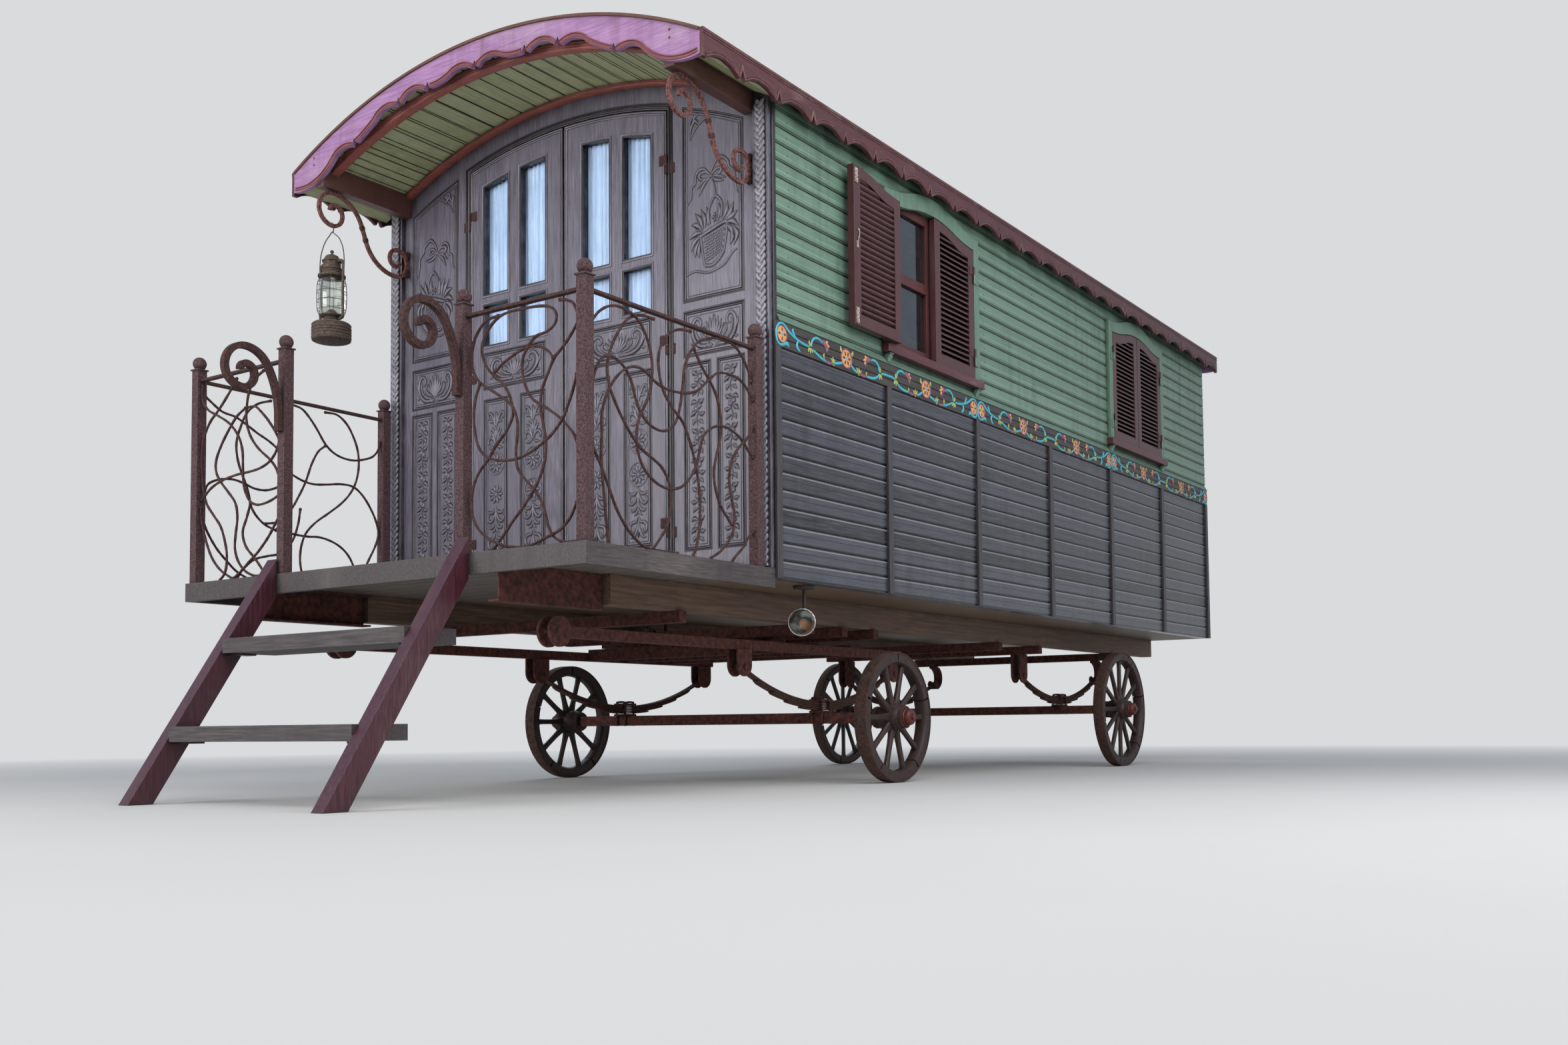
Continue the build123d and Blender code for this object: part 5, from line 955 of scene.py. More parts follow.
def makeRails():
    look = railLook
    for nameOfPanel, panel in railPanels.items():
        normal = (0, 1, 0) if panel["fixed"] == "y" else (1, 0, 0)
        low, high = panel["span"]
        shapes = []
        for number, rod in enumerate(panel["rods"]):
            flat = smoothLine(rod, look["step"])
            flat[:, 0] = np.clip(flat[:, 0], low - look["overrun"], high + look["overrun"])
            flat[:, 1] = np.clip(flat[:, 1], look["rod"] + 0.4, look["highest"])
            keep = np.concatenate([[True], np.linalg.norm(np.diff(flat, axis=0), axis=1) > 2.0])
            path = panelPlace(panel, flat[keep])
            run = np.linspace(0, 1, len(path))
            # Rods pass in front of and behind each other: offset = weave * sin of their length.
            lift = look["weave"] * np.sin(run * 9.0 + number * 1.9)
            path = path + np.array(normal) * lift[:, None]
            # Hammered by hand: two fine waves in the thickness.
            swell = 1.0 + 0.07 * np.sin(run * 61.0 + number) + 0.05 * np.sin(run * 143.0)
            shapes.append(sweep(path, circleSection(look["rod"], look["rodSides"]), normal, swell))
            for end, beyond in ((path[0], path[1]), (path[-1], path[-2])):
                shapes.append(lathe(look["blob"], end, beyond - end, look["rodSides"]))
        line = panelPlace(panel, track(np.linspace(low, high, 24), look["barTop"] - look["barHalf"]))
        bar = sweep(line, railBar, (0, 0, 1))
        ending = nameOfPanel[0].upper() + nameOfPanel[1:]
        for name, shape, angle in (("railTendrils", joined(shapes), 50.0), ("railBar", bar, 40.0)):
            piece = newPiece(name + ending, shape, "house", ironOwn["railIron"], angle)
            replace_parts(piece, "rail_front" if panel["fixed"] == "y" else "rail_sides")


# Frieze: a painted vine in low relief, mirrored about the middle of each of three boards a side.
# Points are (place along the board from its end, height above its middle).
friezeLook = {"broad": 1.35, "face": 1212.0, "middle": 1942.5, "board": 1866.67, "boards": 3, "height": 4.0,
              "dome": ((1.0, -0.6), (1.0, 1.2), (0.7, 2.2), (0.3, 2.6), (0.0, 2.7)), "discSides": 28,
              "eye": [(0.0, -0.6), (7.0, -0.6), (7.0, 2.0), (4.5, 4.4), (0.0, 4.8)], "eyeSides": 12,
              "ringHeight": 4.4, "petalHeight": 3.9, "innerPetalHeight": 3.6}
friezeStrokes = {
    "vine": [
        ([(98, -46), (88, -34), (72, -33), (56, -42), (34, -46), (14, -36), (5, -12), (8, 18), (24, 40),
          (48, 48), (72, 40), (98, 24), (140, 7), (190, -4), (235, -9), (256, -10)],
         [4, 15, 14, 11, 9, 9, 9, 9, 9, 9, 9, 9, 9, 9, 9, 8]),
        ([(146, 8), (136, 22), (128, 34), (134, 43)], [8, 10, 10, 3]),
        ([(168, -6), (160, -22), (168, -38), (188, -47)], [7, 11, 10, 3]),
        ([(272, -6), (276, 14), (292, 33), (318, 42), (346, 38), (360, 31)], [8, 9, 9, 9, 9, 8]),
        ([(284, -16), (318, -29), (352, -40), (384, -46)], [8, 9, 9, 9]),
        ([(452, -43), (484, -36), (524, -26)], [8, 10, 9]),
        ([(600, -20), (626, -36), (656, -45)], [9, 9, 8]),
        ([(738, -46), (790, -44), (832, -32), (850, -16)], [8, 10, 9, 8]),
        ([(852, 2), (846, 24), (828, 39), (800, 44), (776, 37)], [8, 9, 9, 9, 8]),
        ([(868, -8), (900, -3), (934, -4)], [8, 9, 9])],
    "sleeve": [
        ([(384, -46), (412, -49), (438, -46)], [9, 11, 8]),
        ([(676, -46), (706, -49), (736, -47)], [8, 11, 9]),
        ([(358, 33), (374, 34), (392, 26), (398, 6), (394, -6)], [8, 20, 20, 12, 3]),
        ([(774, 39), (758, 38), (738, 30), (728, 10), (730, -4)], [8, 20, 20, 12, 3])],
    "bloom": [
        ([(386, 34), (402, 42), (408, 47)], [9, 11, 2]), ([(392, 30), (410, 26), (420, 22)], [10, 11, 2]),
        ([(392, 24), (404, 12), (406, 4)], [8, 8, 2]),
        ([(744, 36), (728, 44), (722, 48)], [9, 11, 2]), ([(738, 30), (720, 28), (710, 24)], [10, 11, 2]),
        ([(738, 24), (724, 14), (722, 6)], [8, 8, 2])],
    "leaf": [
        ([(262, -6), (256, 8), (258, 20)], [6, 9, 2]), ([(266, -6), (270, 6), (278, 14)], [6, 8, 2]),
        ([(262, -14), (252, -24), (250, -34)], [6, 9, 2]), ([(266, -14), (266, -28), (268, -38)], [6, 9, 2]),
        ([(270, -13), (280, -24), (286, -32)], [6, 8, 2]),
        ([(376, -38), (372, -24), (378, -12)], [5, 9, 2]),
        ([(446, -44), (440, -30), (428, -22)], [5, 8, 2]), ([(446, -44), (450, -28), (446, -14)], [5, 9, 2]),
        ([(446, -44), (458, -32), (464, -22)], [5, 8, 2]), ([(446, -46), (452, -52), (460, -53)], [4, 5, 2]),
        ([(530, 22), (516, 34), (514, 50)], [7, 13, 2]), ([(600, 20), (614, 32), (618, 48)], [7, 13, 2]),
        ([(664, -46), (656, -34), (650, -20)], [5, 9, 2]), ([(666, -46), (672, -32), (668, -18)], [5, 9, 2]),
        ([(668, -46), (684, -36), (690, -26)], [5, 8, 2]), ([(664, -48), (668, -53), (676, -53)], [4, 5, 2]),
        ([(736, -42), (734, -32), (740, -24)], [5, 8, 2]),
        ([(858, -4), (852, 10), (846, 18)], [6, 9, 2]), ([(860, -4), (862, 12), (858, 24)], [6, 9, 2]),
        ([(856, -12), (846, -22), (840, -30)], [6, 8, 2]), ([(860, -12), (858, -28), (856, -38)], [6, 9, 2]),
        ([(864, -12), (872, -24), (878, -34)], [6, 9, 2])],
}
# Each disc: place, height, radius, band width and number of petals.
friezeDiscs = [(46, 1, 36.0, 4.0, 4), (562, 2, 42.0, 7.5, 6)]


def reliefStroke(points, widths, place, normal, height, step=7.0, sides=6, skirt=0.0):
    # Widths go with the points and are run smoothly between them; height narrows with width.
    points = np.asarray(points, float)
    path = smoothLine(points, step)
    chord, runLength = reached(points), reached(path)
    share = runLength / runLength[-1] * chord[-1]
    width = np.interp(share, chord, widths)
    scale = np.stack([width / 10.0, np.clip(width / 10.0, 0.35, 1.0)], 1)
    section = domeSection(10.0, height, sides)
    if skirt:
        # A lip just above the ground on both sides, which takes the painted shade and dark patina of the
        # hollow round the stroke.
        lip = np.array([[5.0 + skirt, -0.4], [5.0 + skirt, 0.25], [5.2, 0.3]])
        section = np.concatenate([lip, section[:sides], (lip * (-1, 1))[::-1]])
    return sweep(place(path), section, normal, scale)


def boss(profile, centre, normal, sides):
    # A turned knob that keeps its height in the grain's third coordinate, as a stroke does.
    shape = lathe(profile, centre, normal, sides)
    return dict(shape, grain=shape["grain"][:, [1, 2, 0]])


def ringStroke(centre, radius, width, place, normal, height, sides=28):
    angle = fullTurn(sides)
    circle = np.stack([centre[0] + radius * np.cos(angle), centre[1] + radius * np.sin(angle)], 1)
    return sweep(place(circle), domeSection(width, height, 6), normal, closed=True)


def petalRing(centre, inner, outer, count, width, place, normal, height, turn=0.0, skirt=0.0):
    shapes = []
    for k in range(count):
        angle = 2 * math.pi * k / count + turn
        out = np.array([math.cos(angle), math.sin(angle)])
        middle = (inner + outer) / 2
        points = [centre + out * inner, centre + out * middle, centre + out * outer]
        shapes.append(reliefStroke(points, [width * 0.35, width, width * 0.2], place, normal, height, 5.0, 5,
                                   skirt))
    return shapes


def makeFrieze():
    look = friezeLook
    paints = {"vine": "paintTurquoise", "sleeve": "paintPurple", "bloom": "paintOrange", "leaf": "paintLime",
              "ring": "paintPurple", "disc": "paintOrange", "petal": "paintUmber", "eye": "paintTurquoise"}
    for side, label in bothSides:
        parts = {key: [] for key in paints}
        normal = (side, 0, 0)
        for number in range(look["boards"]):
            for mirrored in (False, True):
                def place(flat):
                    along, height = np.asarray(flat, float).T
                    along = look["board"] - along if mirrored else along
                    return track(side * look["face"], along + number * look["board"], height + look["middle"])
                for key, strokes in friezeStrokes.items():
                    for points, widths in strokes:
                        broad = np.array(widths) * look["broad"]
                        parts[key].append(reliefStroke(points, broad, place, normal, look["height"]))
                for x, z, radius, band, petals in friezeDiscs:
                    centre = np.array([x, z], float)
                    middle = place([centre])[0]
                    dome = [(0.0, -0.6)] + [(radius * share, height) for share, height in look["dome"]]
                    parts["disc"].append(lathe(dome, middle, normal, look["discSides"]))
                    parts["ring"].append(ringStroke(centre, radius + band * 0.3, band, place, normal,
                                                    look["ringHeight"]))
                    parts["petal"] += petalRing(centre, 9.0, radius * 0.86, petals, radius * 0.42, place,
                                                normal, look["petalHeight"])
                    parts["petal"] += petalRing(centre, radius * 0.45, radius * 0.8, petals, radius * 0.2,
                                                place, normal, look["innerPetalHeight"], math.pi / petals)
                    parts["eye"].append(lathe(look["eye"], middle, normal, look["eyeSides"]))
        for key, shapes in parts.items():
            newPiece("frieze" + key.capitalize() + label, joined(shapes), "house", woodOwn[paints[key]],
                     50.0)


# Wheels: an iron tyre, jointed felloes, shaved spokes and a turned nave with iron bands.
# Profiles are (radius, place along the axle, outwards). A spoke's widths and depths are shares of its block.
wheelLook = {
    "x": 1075.0, "rimWidth": 66.0, "rimDepth": 56.0, "tyre": 9.0, "spokes": {"front": 10, "rear": 12},
    "radius": {"front": 318.0, "rear": 372.0}, "axleY": {"front": 1180.0, "rear": 4130.0},
    "tyreSides": 72, "hubSides": 40, "capSides": 32, "joints": (0.02, 0.985), "felloePoints": 13,
    "boltAt": (0.2, 0.8), "boltIn": 24.0, "boltSunk": 2.6, "boltSides": 10,
    "bolt": [(0.0, -1.0), (8.0, -1.0), (8.0, 1.0), (5.0, 3.2), (0.0, 4.0)],
    "spoke": (36.0, 28.0, 7.0), "spokeInner": (52.0, 62.0, 84.0, 130.0), "spokeOuter": (-40.0, -12.0, 6.0),
    "spokeWide": (1.25, 1.25, 1.0, 0.78, 0.78, 0.9, 0.9),
    "spokeDeep": (1.15, 1.15, 1.0, 0.85, 0.82, 0.95, 0.95),
    "hub": [(0.0, -103.0), (50.0, -103.0), (52.0, -96.0), (52.0, -72.0), (57.0, -66.0), (63.0, -40.0),
            (64.0, -20.0), (66.0, -18.0), (66.0, 18.0), (64.0, 20.0), (62.0, 36.0), (55.0, 48.0),
            (51.0, 54.0), (51.0, 70.0), (0.0, 70.0)],
    "bands": [[(45.0, -95.0), (54.0, -95.0), (54.0, -76.0), (45.0, -76.0)],
              [(58.0, 21.0), (66.5, 21.0), (66.5, 33.0), (58.0, 33.0)],
              [(45.0, 52.0), (54.5, 52.0), (54.5, 70.5), (45.0, 70.5)]],
    "cap": [(0.0, 69.0), (44.0, 69.0), (44.0, 76.0), (40.0, 80.0), (40.0, 90.0), (36.0, 103.0), (30.0, 107.0),
            (19.0, 108.0), (19.0, 108.5), (0.0, 108.5)],
    "nut": [(0.0, 108.0), (16.5, 108.0), (16.5, 115.5), (14.0, 117.6), (0.0, 117.6)],
}


def makeWheel(end, side, label):
    look = wheelLook
    radius, count = look["radius"][end], look["spokes"][end]
    half, felloes, points = look["rimWidth"] / 2, count // 2, look["felloePoints"]
    inner, bed = radius - look["rimDepth"], radius - look["tyre"]
    centre = np.array([side * look["x"], look["axleY"][end], radius])
    axis = (side, 0, 0)
    tyre = [(bed, -half), (radius - 1.5, -half), (radius - 0.3, -half + 3), (radius - 0.3, half - 3),
            (radius - 1.5, half), (bed, half)]
    metal = [sweepRing(tyre, centre, axis, look["tyreSides"])]
    # The felloe's section, as (across, outwards from the tread).
    rim = [(-half + 2.0, bed), (half - 2.0, bed), (half - 2.0, inner + 8.0), (half - 12.0, inner),
           (-half + 12.0, inner), (-half + 2.0, inner + 8.0)]
    rim = [(across, out - radius) for across, out in rim]
    wooden = []
    for k in range(felloes):
        start, stop = [(k + joint) * 2 * math.pi / felloes + math.pi / count for joint in look["joints"]]
        arc = np.linspace(start, stop, points)
        path = track(0.0, np.cos(arc) * radius, np.sin(arc) * radius)
        wooden.append(moved(sweep(path, rim, track(0.0, np.cos(arc), np.sin(arc))), centre, fresh=True))
        for share in look["boltAt"]:
            angle, boltRadius = start + (stop - start) * share, inner + look["boltIn"]
            head = np.array([side * (half - look["boltSunk"]), math.cos(angle) * boltRadius,
                             math.sin(angle) * boltRadius])
            metal.append(lathe(look["bolt"], centre + head, axis, look["boltSides"]))
    stations = np.concatenate([look["spokeInner"], inner + np.array(look["spokeOuter"])])
    stations = track(stations, np.array(look["spokeWide"]) * 100, np.array(look["spokeDeep"]) * 100)
    line = smoothLine(stations, 18.0)
    for k in range(count):
        angle = (k + 0.5) * 2 * math.pi / count + math.pi / count
        path = track(0.0, np.cos(angle) * line[:, 0], np.sin(angle) * line[:, 0])
        spoke = sweep(path, blockSection(*look["spoke"]), (side, 0, 0), line[:, 1:] / 100)
        wooden.append(moved(spoke, centre, fresh=True))
    wooden.append(lathe(look["hub"], centre, axis, look["hubSides"]))
    metal += [sweepRing(band, centre, axis, look["hubSides"]) for band in look["bands"]]
    cap = joined([lathe(look["cap"], centre, axis, look["capSides"]), lathe(look["nut"], centre, axis, 6)])
    name, body = f"{end}Wheel{label}", f"{end}_wheel_{label.lower()}"
    rimPiece = newPiece(name + "Tyre", joined(metal), body, ironOwn["shadedTyreIron"], 40.0)
    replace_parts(rimPiece, body)
    newPiece(name + "Wood", joined(wooden), body, woodOwn["shadedWheelWood"], 40.0)
    newPiece(name + "Cap", cap, body, woodOwn["shadedHubRed"], 40.0)


# Curtains: a gathered lace panel behind each door's panes, hung from a thin rod.
curtainLook = {"edges": (104.0, 550.0), "middleY": 48.0, "depth": 6.5, "sway": 3.0, "folds": 15,
               "bottom": 2146.0, "archRadius": 2368.0, "columns": 240, "rows": 60, "rod": 3.0, "rodDrop": 4.0}


def makeCurtain(side, label):
    look = curtainLook
    low, high = look["edges"]
    rows, bottom = look["rows"], look["bottom"]
    u = np.linspace(0, 1, look["columns"])
    v = np.linspace(0, 1, rows)[:, None]
    x = low + (high - low) * u
    top = bowHeight(look["archRadius"], x)
    z = top[None] * (1 - v) + bottom * v
    # Folds: a sine whose phase wanders, fuller at the bottom than at the gathered top.
    wander = 0.9 * np.sin(u * 9.0 + side) + 0.5 * np.sin(u * 23.0)
    phase = u * look["folds"] * 2 * math.pi + wander + 0.35 * np.sin(v * 4.0 + u * 11.0)
    depth = look["depth"] * (0.75 + 0.25 * v) * (0.8 + 0.2 * np.sin(u * 31.0))[None]
    y = look["middleY"] + depth * np.sin(phase)
    sway = look["sway"] * np.cos(phase) * (0.6 + 0.4 * v)
    points = np.stack([side * np.clip(x[None] + sway, low, high), y, z], -1)
    # The flat width is the length along the folds.
    step = np.linalg.norm(np.diff(points, axis=1), axis=2)
    flatU = np.concatenate([np.zeros((rows, 1)), np.cumsum(step, 1)], 1)
    grain = np.stack([flatU * 0.001, (z - bottom) * 0.001, np.zeros_like(z)], -1)
    shape = makeShape(points, grain, sheetQuads(rows, look["columns"]))
    door = f"door_{label.lower()}"
    curtain = newPiece("curtain" + label, shape, door, lace, 60.0, closed=False)
    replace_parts(curtain, f"curtain_{label.lower()}")
    rod = smoothLine(track(side * x[::40], look["middleY"], top[::40] - look["rodDrop"]), 20.0)
    pole = newPiece("curtainRod" + label, sweep(rod, circleSection(look["rod"], 8), (0, 1, 0)), door,
                    ironOwn["carriageIron"])


# Lantern: a barrel of glass in a wire guard, between two air tubes, on a drum of oil.
# Profiles are (radius, height); the tube's and the guard's points are (distance from the axis, height).
lanternLook = {
    "x": -1088.0, "y": -475.4, "sides": 36, "ridges": 4, "ridgeFrom": 2186, "ridgePitch": 14,
    "foot": [(0, 2169), (86, 2169), (92, 2172), (94, 2180)],
    "ridge": [(94.5, 0), (94.5, 4), (91.5, 7), (91.5, 10)],
    "drum": [(94, 2244), (93, 2250), (84, 2257), (62, 2261), (46, 2262), (44, 2268), (38, 2270), (38, 2284),
             (52, 2288), (58, 2293), (58, 2297), (0, 2297)],
    "cap": [(0, 2482), (60, 2482), (66, 2486), (66, 2494), (58, 2498), (46, 2504), (45, 2520), (50, 2523),
            (50, 2527), (43, 2530), (42, 2560), (47, 2562), (47, 2567), (40, 2572), (30, 2590), (12, 2599),
            (0, 2600)],
    "burner": [(0, 2296), (26, 2296), (28, 2300), (26, 2312), (18, 2322), (8, 2328), (0, 2328)],
    "tube": [(60, 2272), (76, 2276), (84, 2292), (84, 2360), (84, 2440), (84, 2530), (80, 2552), (62, 2560),
             (44, 2560)],
    "tubeRadius": 7.0, "wire": 1.7, "wireRings": ((2322, 66.0), (2366, 69.5), (2410, 70.0), (2454, 66.5)),
    "guard": [(56, 2292), (67, 2322), (70, 2366), (70, 2410), (67, 2454), (58, 2486)],
    "bail": [(-84, 2470), (-92, 2540), (-84, 2610), (-55, 2668), (-16, 2700), (0, 2712), (16, 2700),
             (55, 2668), (84, 2610), (92, 2540), (84, 2470)],
    "bailRadius": 2.6,
    "hook": [(0, 2707), (9, 2714), (10, 2726), (0, 2735), (-9, 2744), (-4, 2753), (2, 2756)],
    "hookRadius": 2.8, "knob": [(0, 2599), (5, 2600), (5, 2606), (9, 2610), (9, 2616), (5, 2620), (0, 2621)],
    "glass": [(50, 2297), (55, 2310), (61, 2345), (63.5, 2388), (61, 2432), (55, 2468), (50, 2482)],
    "glassThick": 2.2,
}


def makeLantern():
    look = lanternLook
    x, y = look["x"], look["y"]
    up = (0, 0, 1)

    def turned(profile, sides):
        return lathe(profile, (x, y, 0), up, sides)

    def bent(outline, step, radius, sides):
        path = [(x + across, y, z) for across, z in outline]
        return sweep(smoothLine(path, step), circleSection(radius, sides), (0, 1, 0))

    ridges = [(r, look["ridgeFrom"] + k * look["ridgePitch"] + z) for k in range(look["ridges"])
              for r, z in look["ridge"]]
    shapes = [turned(look["foot"] + ridges + look["drum"], look["sides"]), turned(look["cap"], look["sides"]),
              turned(look["burner"], 20)]
    for sideways in (-1, 1):
        shapes.append(bent([(sideways * a, z) for a, z in look["tube"]], 8.0, look["tubeRadius"], 10))
    for z, radius in look["wireRings"]:
        angle = fullTurn(40)
        ring = track(x + radius * np.cos(angle), y + radius * np.sin(angle), z)
        shapes.append(sweep(ring, circleSection(look["wire"], 6), up, closed=True))
    for k in range(4):
        angle = math.radians(45 + 90 * k)
        path = [(x + math.cos(angle) * a, y + math.sin(angle) * a, z) for a, z in look["guard"]]
        shapes.append(sweep(smoothLine(path, 10.0), circleSection(look["wire"], 6),
                            (-math.sin(angle), math.cos(angle), 0)))
    shapes.append(bent(look["bail"], 8.0, look["bailRadius"], 8))
    shapes.append(bent(look["hook"], 4.0, look["hookRadius"], 8))
    shapes.append(turned(look["knob"], 16))
    piece = newPiece("lanternMetal", joined(shapes), "house", ironOwn["lanternTin"], 35.0)
    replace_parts(piece, "lantern_frame")
    inner = [(r - look["glassThick"], z) for r, z in reversed(look["glass"])]
    barrel = newPiece("lanternBarrel", sweepRing(look["glass"] + inner, (x, y, 0), up, 40), "house",
                      lanternGlass, 50.0)
    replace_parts(barrel, "lantern_glass")


# Front joinery: bead mouldings round every panel and pane, and carving in low relief.
# Rectangles are (left, right, bottom, top); a top of None is the bow of the given radius.
frontJoinery = {
    "doorPanels": [(125, 281, 1090, 1885), (373, 529, 1090, 1885), (125, 529, 1945, 2117)],
    "doorPanes": [(117, 287, 2155, 2362), (367, 537, 2155, 2362), (117, 287, 2410, None),
                  (367, 537, 2410, None)],
    "fixedPanels": [(722, 863, 1053, 1874), (905, 1046, 1053, 1874), (722, 1046, 1910, 2106),
                    (722, 1046, 2156, None)],
    "paneRadius": 2360.0, "fixedRadius": 2480.0, "leafRadius": 2470.0,
    "recess": 9.0, "field": 3.0, "margin": 12.0, "doorBottom": 950.0, "doorHalf": 628.0, "frameBottom": 941.0,
}
# Beads are (inset from the opening's edge, width, height), and in a panel at this depth too.
beadLook = {"panel": ((4.5, 8.0, 7.0, frontJoinery["recess"]), (21.0, 3.4, 1.8, frontJoinery["field"])),
            "pane": (-7.0, 9.0, 4.0, 0.0), "leaf": (7.0, 17.0), "leafSize": (8.0, 3.6),
            "panelOutline": (-3.5, 7.0, 1.3, 0.0), "paneOutline": (2.5, 5.0, 1.6, 0.0),
            "leafOutline": 2.8, "leafOutlineSize": (5.4, 2.2), "frame": ((15.0, 13.0), (29.0, 9.0)),
            "frameHeight": 6.0}
frontNormal = (0, -1, 0)


def frontPlace(flat, side=1, depth=0.0):
    # (across, height) on the front wall, at this depth behind its face.
    across, height = np.asarray(flat, float).T
    return track(side * across, depth, height)


def panelOutline(panel, radius, inset):
    left, right, bottom, top = panel
    left, right, bottom = left + inset, right - inset, bottom + inset
    if top is None:
        across = np.linspace(right, left, 13)
        upper = track(across, bowHeight(radius - inset, across))
    else:
        upper = np.array([[right, top - inset], [left, top - inset]])
    return np.concatenate([[[left, bottom], [right, bottom]], upper])


def beadLoop(panel, radius, side, inset, width, height, depth):
    return mouldAlong(frontPlace(panelOutline(panel, radius, inset), side, depth),
                      domeSection(width, height, 5), frontNormal, closed=True)


def leafOutline(inset):
    # The door leaf's own edge, straight at the sides and foot and bowed at the top.
    left, right = 4.0 + inset, frontJoinery["doorHalf"] - inset
    across = np.linspace(right, left, 17)
    foot = frontJoinery["doorBottom"] + inset
    bow = track(across, bowHeight(frontJoinery["leafRadius"] - inset, across))
    return np.concatenate([[[left, foot], [right, foot]], bow])


def leafBead(inset, size, side):
    return mouldAlong(frontPlace(leafOutline(inset), side), domeSection(*size, 5), frontNormal, closed=True)


def makeBeads():
    look = beadLook
    for side, label in bothSides:
        door, panes = f"door_{label.lower()}", frontJoinery["doorPanes"]
        for place, body, panels, radius in (("Door", door, frontJoinery["doorPanels"], 0.0),
                                            ("Fixed", "house", frontJoinery["fixedPanels"],
                                             frontJoinery["fixedRadius"])):
            beads = [beadLoop(panel, radius, side, *bead) for panel in panels for bead in look["panel"]]
            # The black lines round each panel, pane and leaf are dark paint with painted shadow along the
            # edges.
            blackAndShadowLines = [beadLoop(panel, radius, side, *look["panelOutline"]) for panel in panels]
            if place == "Door":
                beads += [beadLoop(pane, frontJoinery["paneRadius"], side, *look["pane"]) for pane in panes]
                beads += [leafBead(inset, look["leafSize"], side) for inset in look["leaf"]]
                blackAndShadowLines += [beadLoop(pane, frontJoinery["paneRadius"], side, *look["paneOutline"])
                             for pane in panes]
                blackAndShadowLines.append(leafBead(look["leafOutline"], look["leafOutlineSize"], side))
            newPiece("beads" + place + label, joined(beads), body, woodOwn["carvedWoodWithPaintedLight"], 40.0)
            newPiece("blackAndShadowLines" + place + label, joined(blackAndShadowLines), body, woodOwn["blackPaintAndShadow"],
                     40.0)
    # The black beads round the door opening are dark paint with painted shadow between leaf and frame.
    frame, foot = [], frontJoinery["frameBottom"]
    for outset, width in look["frame"]:
        half, radius = frontJoinery["doorHalf"] + outset, frontJoinery["leafRadius"] + outset
        across = np.linspace(half, -half, 41)
        line = np.concatenate([[[half, foot]], track(across, bowHeight(radius, across)), [[-half, foot]]])
        frame.append(mouldAlong(frontPlace(line), domeSection(width, look["frameHeight"], 6), frontNormal))
    newPiece("doorFrameBeads", joined(frame), "house", woodOwn["blackPaintAndShadow"], 40.0)


